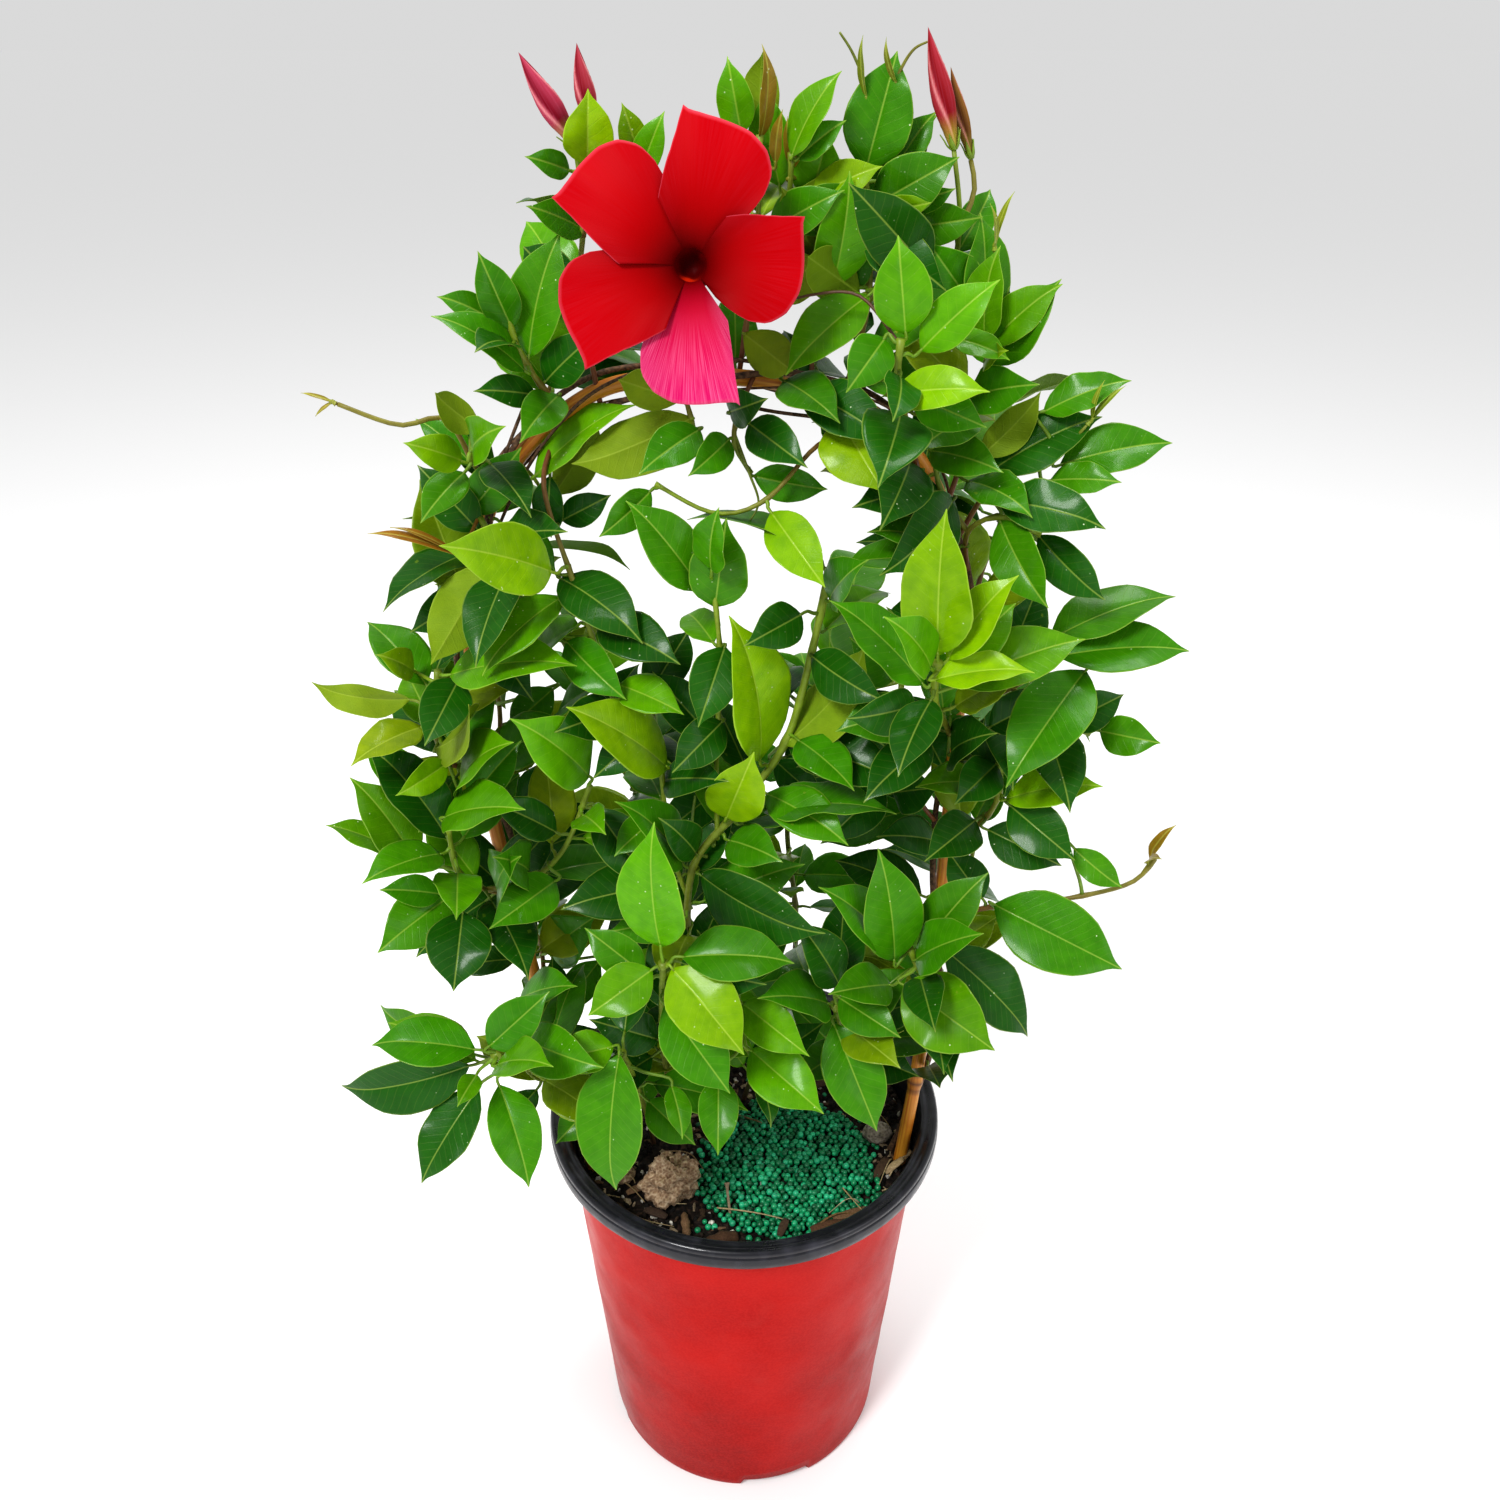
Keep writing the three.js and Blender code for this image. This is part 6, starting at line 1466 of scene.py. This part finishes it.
def in_bed(x, y):
    """Whether a place on the mix lies in the bed of prills."""
    across = (x - BED_X) / BED_HALF_WIDTH
    back = (y - BED_Y) / BED_HALF_DEPTH
    return across * across + back * back < 1


def on_mix(draw, reach=MIX_RADIUS - 2):
    """A random place on the mix."""
    while True:
        x, y = (2 * draw() - 1) * reach, (2 * draw() - 1) * reach
        if math.hypot(x, y) < reach:
            return x, y


# Kinds of bit: colour, how many, and the least and most half size across, along and up
BITS = [
    ("#17110D", 900, (0.8, 2.4), (0.8, 2.4), (0.7, 1.8)),
    ("#2E211A", 420, (0.8, 2.8), (1.0, 3.5), (0.6, 1.6)),
    ("#54402F", 170, (0.8, 2.2), (1.5, 5.5), (0.4, 1.1)),
    ("#7E634A", 70, (0.6, 1.8), (2.0, 6.5), (0.3, 0.9)),
    ("#E8E4DA", 210, (0.7, 1.9), (0.9, 2.3), (0.6, 1.4)),
    ("#B4A086", 170, (0.8, 2.1), (1.2, 4.0), (0.6, 1.2)),
    ("#C9B48C", 70, (0.35, 0.7), (2.5, 7.0), (0.35, 0.6)),
]
# Long bits lie flat, and only short ones lie among the prills: the length in mm for each
LIES_FLAT = 2.5
FITS_BETWEEN_PRILLS = 1.6
CRUMB_SEED = 77
draw = seeded(CRUMB_SEED)
skin = Skin()
for colour, many, wide, long, high in BITS:
    for _ in range(many):
        x, y = on_mix(draw)
        size = [low + (top - low) * draw() for low, top in (wide, long, high)]
        shape = ico_points * (1 + 0.35 * (np.array([draw() for _ in range(12)])[:, None] - 0.5))
        tilt = spun(draw)
        heading = draw() * math.pi
        if size[1] > LIES_FLAT:
            tilt = about_z(heading) @ about_x((draw() - 0.5) * 0.7)
        if in_bed(x, y) and size[1] > FITS_BETWEEN_PRILLS:
            continue
        body = (shape * size) @ tilt.T
        bottom = -body[:, 2].min()
        seat = [x, y, mix_level(x, y) + bottom * 0.45]
        skin.add(body + seat, ico_faces, linear(colour) * (0.7 + 0.6 * draw()))
place(skin.build("mix_crumbs", [grit], False), "potting_mix")

# The bed of prills, two deep in the middle and thinning out at its rim

PRILL_SPACING = 3.45
PRILL_GREENS = ["#16A46C", "#1EB078", "#118A58", "#30C08C", "#0C7046", "#1A9A66"]
PRILL_JOLT = 1.7
STRAYS = 5
# Rows of beads lie closer together than the beads of a row
ROW_SHARE = 0.87
# The bed's back half is deeper than its front
BED_BACK = 1.35
# How far out each layer reaches, as a share of the bed
LAYER_REACH = (1.3, 0.92)
PRILL_SEED = 91
draw = seeded(PRILL_SEED)
skin = Skin()
columns = int(2 * BED_HALF_WIDTH / PRILL_SPACING) + 2
rows = int(2 * BED_HALF_DEPTH / PRILL_SPACING / ROW_SHARE) + 2
for layer in (0, 1):
    for r in range(-STRAYS, rows + 2 * STRAYS):
        for c in range(-STRAYS, columns + STRAYS):
            jolt_x, jolt_y, size, pick, keep = (draw() for _ in range(5))
            x = BED_X - BED_HALF_WIDTH + (c + 0.5 * ((r + layer) % 2)) * PRILL_SPACING
            x += (jolt_x - 0.5) * PRILL_JOLT
            y = BED_Y - BED_HALF_DEPTH + (r + 0.5 * layer) * PRILL_SPACING * ROW_SHARE
            y += (jolt_y - 0.5) * PRILL_JOLT
            depth = BED_HALF_DEPTH * (BED_BACK if y > BED_Y else 1)
            across = math.hypot((x - BED_X) / BED_HALF_WIDTH, (y - BED_Y) / depth)
            thin = across ** 6 - 0.4 if layer == 0 else 0.2 + 0.3 * across
            if across > LAYER_REACH[layer] or keep < min(thin, 0.86) or math.hypot(x, y) > MIX_RADIUS - 3:
                continue
            radius = 1.3 + 0.55 * size
            ground = SOIL_TOP + 0.2 if in_bed(x, y) else mix_level(x, y)
            level = ground + radius * 0.7 + layer * 1.9 + 0.5 * noise.noise(Vector((x * 0.1, y * 0.1, 2)))
            colour = linear(PRILL_GREENS[int(pick * len(PRILL_GREENS)) % len(PRILL_GREENS)])
            bead = bead_points @ spun(draw).T * radius + [x, y, level]
            skin.add(bead, bead_faces, colour * (0.7 + 0.5 * draw()))
place(skin.build("prill_bed", [resin]), "prill", "prills")

# Stones: rounded blocks broken by noise, level underneath

# How fine a stone's broad swellings, lumps, grain and pits are
STONE_NOISE = (1.6, 4.5, 13, 8)
# Where a stone is cut level, as a share of its half height
STONE_CUT = 0.6
lying = {node: row for node, *row in LITTER}


def stone(name, node, material, seed, rough=0.16):
    """A rounded block, broken by noise and cut level, that stands for a piece on the mix."""
    (x, y), half, turn = lying[node]
    angle = math.radians(turn)
    c, s = math.cos(angle), math.sin(angle)
    middle = SOIL_TOP + 0.3 + STONE_CUT * half[2]
    points = []
    for p in stone_points:
        swelling, lumps, grain, pits = (noise.noise(Vector(p * fine + seed)) for fine in STONE_NOISE)
        swell = 1 + rough * swelling + rough * 0.5 * lumps
        swell += rough * 0.22 * grain - rough * 0.25 * abs(pits)
        q = p * swell
        q[2] = max(q[2], -STONE_CUT)
        q = q * half
        points.append((x + c * q[0] - s * q[1], y + s * q[0] + c * q[1], middle + q[2]))
    skin = Skin()
    skin.add(points, stone_faces)
    place(skin.build(name, [material]), "stone", node)


tan = stone_skin("tan_pitted_rock", "#6E5640", "#A08468", "#CDB79A")
grey = stone_skin("grey_pebble", "#5A5248", "#8A8074", "#B0A698")
stone("tan_rock", "rock_tan", tan, 3.0, 0.48)
stone("grey_stone", "pebble_grey", grey, 9.0)
stone("pale_pebble_stone", "pebble_pale", tan, 14.0)

# A curl of bark and a split twig, straws, and a pale stick with a knob

STRIP_COLUMNS = 7
LITTER_THICK = 0.9
FLAKE_THICK = 0.8


def strip_of(skin, path, widths, thick, tint, curl=0.0, normal=(0, 0, 1), finish=0):
    """A thin closed strip along a path, curled across its width."""
    path = np.array(path, float)
    tangents = np.gradient(path, axis=0)
    upper, lower = [], []
    for p, t, w in zip(path, tangents, widths):
        side = sideways(unit(t), np.array(normal, float))
        up = np.cross(side, unit(t))
        for s in np.linspace(-1, 1, STRIP_COLUMNS):
            q = p + side * s * w + up * curl * w * (1 - s * s)
            upper.append(q + up * thick / 2)
            lower.append(q - up * thick / 2)
    top, bottom, edge = sheet_faces(len(path), STRIP_COLUMNS)
    skin.add(upper + lower, top + bottom + edge, tint, finish=finish)


def litter_strip(name, node, colour, curl):
    """A thin curled strip, bowed along its length, that stands for a piece on the mix."""
    (x, y), half, turn = lying[node]
    angle = math.radians(turn) + (math.pi / 2 if half[1] > half[0] else 0)
    width, reach = sorted(half[:2])
    along = np.linspace(-1, 1, 14)
    level = SOIL_TOP + 0.8
    path = [(x + math.cos(angle) * a * reach, y + math.sin(angle) * a * reach,
             level + half[2] * 0.5 * (1 - a * a) + 0.3 * math.sin(5 * a)) for a in along]
    widths = [width * (0.55 + 0.45 * math.cos(a * 1.3)) * (1 + 0.12 * math.sin(9 * a)) for a in along]
    skin = Skin()
    strip_of(skin, path, widths, LITTER_THICK, linear(colour), curl)
    place(skin.build(name, [bark]), "bark", node)


litter_strip("bark_curl", "bark_chip", "#5E422E", 0.5)
litter_strip("split_twig", "twig", "#8C6E50", 0.9)

# Straws and splinters: ends, colour and radius; each bows between its ends
STRAWS = [
    ((-14, -62, 207.5), (26, -70, 206), "#C9B48A", 0.5), ((-60, -62, 204), (-36, -72, 205), "#C4AE86", 0.45),
    ((-66, -40, 204), (-52, -56, 205), "#A89068", 0.5), ((52, -50, 209), (66, -70, 207), "#BFA878", 0.4),
    ((38, -74, 208), (62, -66, 207), "#8E7046", 0.7), ((-44, -20, 204), (-22, -34, 206), "#9A8260", 0.5),
    ((60, 10, 204), (82, -4, 206), "#B8A070", 0.5), ((30, 20, 205), (44, 4, 209), "#A88E60", 0.5),
    ((-30, 40, 204), (-6, 52, 205), "#9A8260", 0.6), ((-70, 20, 204), (-56, 40, 204), "#B09A70", 0.5),
    ((10, 70, 204), (34, 62, 205), "#A88E60", 0.5), ((-5, 8, 205), (10, -2, 208), "#8C7450", 0.6),
    ((78, -38, 205), (90, -26, 208), "#D8C49C", 0.5), ((80, -28, 207), (72, -44, 205), "#CBB48A", 0.45),
    ((-48, -52, 205), (-30, -58, 206), "#D0BC94", 0.4), ((-40, -44, 205), (-24, -40, 207), "#C4AE86", 0.4),
    ((60, -58, 207), (44, -66, 208), "#D8C8A4", 0.4), ((-70, -30, 204), (-58, -44, 206), "#C8B088", 0.45),
]
STRAW_SIDES, STICK_SIDES = 6, 9
STRAW_SEED = 123
draw = seeded(STRAW_SEED)
skin = Skin()
for a, b, colour, radius in STRAWS:
    a, b = np.array(a, float), np.array(b, float)
    bow = np.array([(draw() - 0.5) * 8, (draw() - 0.5) * 8, 2.5])
    path = smooth([a, (a * 2 + b) / 3 + bow * 0.8, (a + b * 2) / 3 + bow, b], 6)
    tube(skin, path, np.linspace(radius, radius * 0.5, len(path)), STRAW_SIDES, linear(colour))
# The stick stands in the prills and leans
stick = [(-9, -52, 215), (-8.5, -56, 211), (-7.5, -62, 206), (-7, -66, 203)]
path = smooth(stick, 6)
radii = 0.75 + 0.9 * np.exp(-(np.linspace(0, 1, len(path)) / 0.12) ** 2)
tube(skin, path, radii, STICK_SIDES, linear("#A8937A"))
# Larger flakes of bark between the prills and the rim: ends, half width and colour
FLAKES = [
    ((34, -76, 207), (52, -72, 208), 3.0, "#6A4A32"), ((18, -79, 206), (22, -70, 208), 2.2, "#54402F"),
    ((46, -70, 208), (66, -62, 207), 2.4, "#8A6A4C"), ((-52, -60, 204), (-40, -66, 205), 2.6, "#4A382C"),
    ((70, -40, 205), (78, -26, 206), 2.6, "#5C4634"), ((-74, -20, 204), (-62, -30, 205), 2.4, "#4E3C2E"),
    ((-20, 12, 205), (-4, 20, 207), 3.6, "#6E4E38"), ((40, 30, 205), (58, 38, 206), 3.0, "#5C4634"),
    ((-60, 50, 204), (-44, 58, 205), 3.0, "#4A382C"), ((0, 60, 204), (14, 72, 205), 3.0, "#5C4634"),
    ((76, -36, 205), (86, -30, 209), 2.2, "#CDB48C"), ((82, -32, 206), (91, -22, 207), 1.8, "#B89C74"),
    ((-44, -60, 205), (-34, -54, 206), 2.0, "#9A7A5C"), ((-62, -50, 205), (-52, -46, 206), 2.2, "#8A6C50"),
]
for a, b, width, colour in FLAKES:
    a, b = np.array(a, float), np.array(b, float)
    along = np.linspace(0, 1, 9)
    path = [a + (b - a) * t + [0, 0, 0.8 * math.sin(t * math.pi)] for t in along]
    widths = [width * (0.4 + 0.6 * math.sin(0.3 + 2.5 * t)) for t in along]
    strip_of(skin, path, widths, FLAKE_THICK, linear(colour), (draw() - 0.3) * 0.6)
place(skin.build("straws_and_flakes", [bark]), "bark")

# The flower: five velvety petals that overlap like a pinwheel, a throat and a tube behind

out = unit(np.array(FLOWER_FACING, float))
right = sideways(np.array([0, 0, 1.0]), out)
up = -np.cross(right, out)
centre = np.array(FLOWER_CENTRE, float)
petal = petal_skin("velvet_petal")


def flower_at(turn, radius, depth):
    """A place on the flower, by its turn, its radius and how far forward it lies."""
    return centre + right * math.cos(turn) * radius + up * math.sin(turn) * radius + out * depth


# One petal: how far round it spreads, and its reach there. The tip stands at one side
PETAL_EDGE = np.array([
    (-0.78, 0.34), (-0.74, 0.5), (-0.69, 0.66), (-0.61, 0.8), (-0.5, 0.885), (-0.36, 0.93),
    (-0.22, 0.935), (-0.1, 0.94), (0, 0.965), (0.04, 1.0), (0.06, 0.94), (0.1, 0.83), (0.16, 0.72),
    (0.24, 0.62), (0.33, 0.53), (0.43, 0.46),
])
# Tints: deep throat (painted shade of the hollow), heart, blade and outer blade, for four red petals and the
# pink one
PETAL_TINTS = {
    "red": ("#5C0002", "#980003", "#AA0007", "#B00012"),
    "pink": ("#6A0003", "#B00014", "#C20244", "#C82278"),
}
PETAL_TIP = 0.04
# The pink petal is fuller on its left side, and most of its right side lies under its neighbour
PINK_SIDES = (1.06, 0.42)
PINK_PETAL = 4
PETAL_RIM = linear("#F06A80")
OUTWARD = 28
THROAT = 6.0
for number, (turn, reach) in enumerate(PETALS):
    following = PETALS[(number + 1) % len(PETALS)][0] + (360 if number + 1 == len(PETALS) else 0)
    previous = PETALS[number - 1][0] - (360 if number == 0 else 0)
    pink = number == PINK_PETAL
    painted_throat_shade, heart_tint, blade_tint, outer_tint = (
        linear(c) for c in PETAL_TINTS["pink" if pink else "red"])
    shares = np.append(np.linspace(PETAL_EDGE[0, 0], PETAL_TIP, 27),
                       np.linspace(PETAL_TIP, PETAL_EDGE[-1, 0], 14)[1:])
    lengths = np.interp(shares, PETAL_EDGE[:, 0], PETAL_EDGE[:, 1])
    upper, lower, marks, tints = [], [], [], []
    for j, (share, length) in enumerate(zip(shares, lengths)):
        span = turn - previous if share < 0 else following - turn
        if pink:
            span *= PINK_SIDES[0 if share < 0 else 1]
        angle = math.radians(turn + share * span)
        over = j / (len(shares) - 1)
        rim = reach * length
        for i in range(OUTWARD):
            t = i / (OUTWARD - 1)
            radius = THROAT + (rim - THROAT) * t
            # Down into the throat, a low swell, then a fall towards the rim
            depth = -7.5 * math.exp(-(radius - THROAT) / 6.5) + 1.6 * math.exp(-((radius - 26) / 14) ** 2)
            depth -= 3.4 * max(0, (radius - 34) / 20) ** 2
            # One side lies over the next petal, and the edge waves
            depth += (over - 0.5) * 2.4 * min(1, t * 2.5)
            depth += (0.9 * t * t * math.sin(over * 9 + number * 2.1)
                      + 0.5 * t ** 3 * math.sin(over * 23 + number))
            thick = 0.45 - 0.2 * t
            p = flower_at(angle, radius, depth)
            upper.append(p + out * thick / 2)
            lower.append(p - out * thick / 2)
            # Painted shade: each petal darkens steeply towards the throat
            near = math.exp(-((radius - THROAT) / 10.5) ** 1.3)
            heart = math.exp(-((radius - THROAT) / 28.0) ** 2)
            tint = outer_tint * t * 0.55 + blade_tint * (1 - t * 0.55)
            tint = tint * (1 - heart * 0.7) + heart_tint * heart * 0.7
            tint = tint * (1 - near * 0.92) + painted_throat_shade * near * 0.92
            edge = min(1.0, max(0.0, (t - 0.985) / 0.012))
            tint = tint * (1 - 0.35 * edge) + PETAL_RIM * 0.35 * edge
            side_shade = 0.8 + 0.25 * math.sin(over * math.pi)
            tints.append(tint * side_shade)
            marks.append((angle * rim, radius, (0.5 if pink else 0.02) * min(1, max(0, (t - 0.25) / 0.5))))
    top, bottom, strip = sheet_faces(len(shares), OUTWARD)
    skin = Skin()
    skin.add(upper + lower, [list(reversed(f)) for f in top + bottom + strip], tints + tints, marks + marks)
    place(skin.build(f"petal_{number + 1}", [petal]), "petal", *(["flower"] if number == 0 else []))

# Throat and tube: one closed shell, painted deep red inside as shade in the hollow, with a painted orange-red
# light low down, and pale green and rose outside. Each pair is a radius and a depth, in mm
TUBE_TURNS = 40
inside = [(8.4, -6.2), (6.9, -7.4), (5.8, -8.6), (4.9, -10.2), (4.2, -12), (3.4, -13.6), (1.6, -14.4)]
outside = [(2.0, -34), (2.6, -30), (3.2, -24), (4.2, -18), (5.6, -13.6), (7.2, -10.6), (9.0, -8.2)]
shell = [(0.01, -14.6)] + list(reversed(inside)) + list(reversed(outside)) + [(0.01, -34.4)]
dark, deep, rose, green, painted_light_orange = (
    linear(c) for c in ("#4C0002", "#5E0002", "#B8405A", "#98A850", "#F4380E"))
points, tints = [], []
for i, (radius, depth) in enumerate(shell):
    for k in range(TUBE_TURNS):
        turn = 2 * math.pi * k / TUBE_TURNS
        wave = 1 + (0.06 * math.cos(5 * turn) if 2 < radius < 8 else 0)
        points.append(flower_at(turn, radius * wave, depth))
        if i <= len(inside):
            # Inside, painted shade darkens the wall deeper down, and a painted light lies on its lower side
            share = min(1, max(0, (depth + 14) / 8))
            glow = 0.8 * math.exp(-(((turn - 1.45 * math.pi) / 0.5) ** 2) - ((depth + 9.5) / 1.8) ** 2)
            tints.append((dark * (1 - share) + deep * share) * (1 - glow) + painted_light_orange * glow)
        else:
            share = min(1, max(0, (depth + 34) / 22))
            tints.append(green * (1 - share) + rose * share)
skin = Skin()
faces = grid_faces(len(shell), TUBE_TURNS, closed=True)
skin.add(points, [list(reversed(f)) for f in faces], tints)
place(skin.build("flower_tube", [petal]), "petal")

# Buds: long twisted buds, with petals wound round each other and small green sepals

# A bud's outline: share of the length, and radius as a share of the greatest
BUD_SHAPE = np.array([
    (0, 0.36), (0.08, 0.5), (0.16, 0.62), (0.28, 0.88), (0.4, 1.0), (0.52, 0.94), (0.68, 0.72),
    (0.8, 0.48), (0.88, 0.3), (0.95, 0.13), (1, 0.02),
])
# Tints: foot, the light side of each fold and its dark side
BUD_TINTS = {
    "bud_left_long": ("#C8A86A", "#A83A50", "#760C20"),
    "bud_left_short": ("#D8A850", "#A03842", "#78101C"),
    "bud_right_red": ("#A8A83A", "#9E2C34", "#7C0F16"),
    "bud_right_brown": ("#8A8430", "#805C22", "#553414"),
}
FOLD_LINE = linear("#E8A0A0")
SEPAL_GREEN = linear("#7C9A2A")
SEPALS = 5
BUD_FOLDS = 3


def bud(skin, base, tip, radius, colours, sides=48, rows=30, winds=0.3):
    """A closed body whose petals wind round each other, with a cup of sepals at its foot."""
    base, tip = np.array(base, float), np.array(tip, float)
    axis = unit(tip - base)
    tip = tip - axis * 0.5
    side = sideways(axis, np.array([0, 1.0, 0]))
    other = np.cross(axis, side)
    foot_tint, light, dark_tint = (linear(c) for c in colours)
    points, tints = [], []
    for i in range(rows):
        share = i / (rows - 1)
        width = np.interp(share, BUD_SHAPE[:, 0], BUD_SHAPE[:, 1]) * radius
        middle = base + (tip - base) * share + side * 0.5 * math.sin(share * math.pi) * 0.6
        for k in range(sides):
            turn = 2 * math.pi * k / sides
            # Each petal laps over the next, with a pale line along its edge
            lap = ((turn + winds * 2 * math.pi * share) / (2 * math.pi) * BUD_FOLDS) % 1
            fold = 1 + 0.14 * (lap - 0.5) * min(1, share * 6)
            points.append(middle + (side * math.cos(turn) + other * math.sin(turn)) * width * fold)
            mix = min(1, max(0, (lap - 0.15) / 0.5))
            tint = light * mix + dark_tint * (1 - mix)
            line_of_edge = max(0, 1 - abs(lap - 0.9) / 0.1) * min(1, (1 - share) * 4)
            tint = tint * (1 - 0.75 * line_of_edge) + FOLD_LINE * 0.75 * line_of_edge
            young = max(0, 1 - share / 0.3)
            tints.append(tint * (1 - young) + foot_tint * young)
    points += [base - axis * 0.4, tip + axis * 0.3]
    tints += [foot_tint, dark_tint]
    marks = [(k % sides * 0.5, k // sides * 1.0, 0.1) for k in range(len(points))]
    skin.add(points, closed_faces(rows, sides), tints, marks)
    for n in range(SEPALS):
        turn = 2 * math.pi * n / SEPALS
        way = side * math.cos(turn) + other * math.sin(turn)
        line = [base - axis * 0.6 + way * radius * 0.2, base + way * radius * 0.52 + axis * 1.2,
                base + way * radius * 0.72 + axis * 3.6, base + way * radius * 0.98 + axis * 6.0]
        path = smooth(line, 3)
        widths = np.interp(np.linspace(0, 1, len(path)), (0, 0.4, 1), (0.9, 0.95, 0.05))
        strip_of(skin, path, widths, 0.35, SEPAL_GREEN, 0.3, way, 1)


bud_skin = petal_skin("satin_bud")
for name, base, tip, radius in BUDS:
    skin = Skin()
    bud(skin, base, tip, radius, BUD_TINTS[name])
    place(skin.build(name + "_twist", [bud_skin, stem_green]), "bud", name)

# Stage: a plain pale floor, soft light and the camera

SKY = 0.6
FLOOR_GLOW = SKY * 0.12
FLOOR_REACH = 60.0
# The floor's faint glow and the sky's strength are set so that no line shows where they meet
floor_finish, _, _ = fresh("pale_floor", Base_Color="#F2F2F2", Roughness=0.9, Specular_IOR_Level=0.0,
                           Emission_Color="#FFFFFF", Emission_Strength=FLOOR_GLOW)
mesh = bpy.data.meshes.new("floor")
corners = ((-1, -1), (1, -1), (1, 1), (-1, 1))
mesh.from_pydata([(x * FLOOR_REACH, y * FLOOR_REACH, 0) for x, y in corners], [], [(0, 1, 2, 3)])
mesh.materials.append(floor_finish)
floor = bpy.data.objects.new("floor", mesh)
bpy.context.scene.collection.objects.link(floor)

world = bpy.data.worlds.new("soft_daylight")
world.use_nodes = True
background = world.node_tree.nodes["Background"]
background.inputs["Color"].default_value = (1, 1, 1, 1)
background.inputs["Strength"].default_value = SKY
bpy.context.scene.world = world
bpy.context.scene.view_settings.view_transform = "Standard"
bpy.context.scene.view_settings.look = "Medium High Contrast"


def softbox(name, where, towards, size, power):
    """A round soft light, in metres and watts, turned towards a point."""
    data = bpy.data.lights.new(name, "AREA")
    data.shape, data.size, data.energy = "DISK", size, power
    lamp = bpy.data.objects.new(name, data)
    lamp.location = where
    lamp.rotation_euler = (Vector(towards) - Vector(where)).to_track_quat("-Z", "Y").to_euler()
    bpy.context.scene.collection.objects.link(lamp)


softbox("key_light", (-1.0, -1.5, 2.3), (0, 0, 0.4), 0.7, 44)
softbox("fill_light", (1.7, -1.3, 1.1), (0, 0, 0.35), 1.2, 7)
softbox("top_light", (0.3, 0.5, 2.4), (0, 0, 0.4), 0.8, 18)

# The camera stands a little above the flower and looks down, as the photograph was taken
FRAME_PIXELS = 1500
FOCAL_PIXELS = 1320
SHIFT_PIXELS = (6, -1)
PITCH_DOWN = 28.6
SENSOR = 36.0
camera_data = bpy.data.cameras.new("camera")
camera_data.sensor_width = SENSOR
camera_data.lens = SENSOR * FOCAL_PIXELS / FRAME_PIXELS
camera_data.shift_x, camera_data.shift_y = (pixels / FRAME_PIXELS for pixels in SHIFT_PIXELS)
camera = bpy.data.objects.new("camera", camera_data)
camera.location = [v * MM for v in VIEWER]
camera.rotation_euler = (math.radians(90 - PITCH_DOWN), 0, 0)
bpy.context.scene.collection.objects.link(camera)
bpy.context.scene.camera = camera
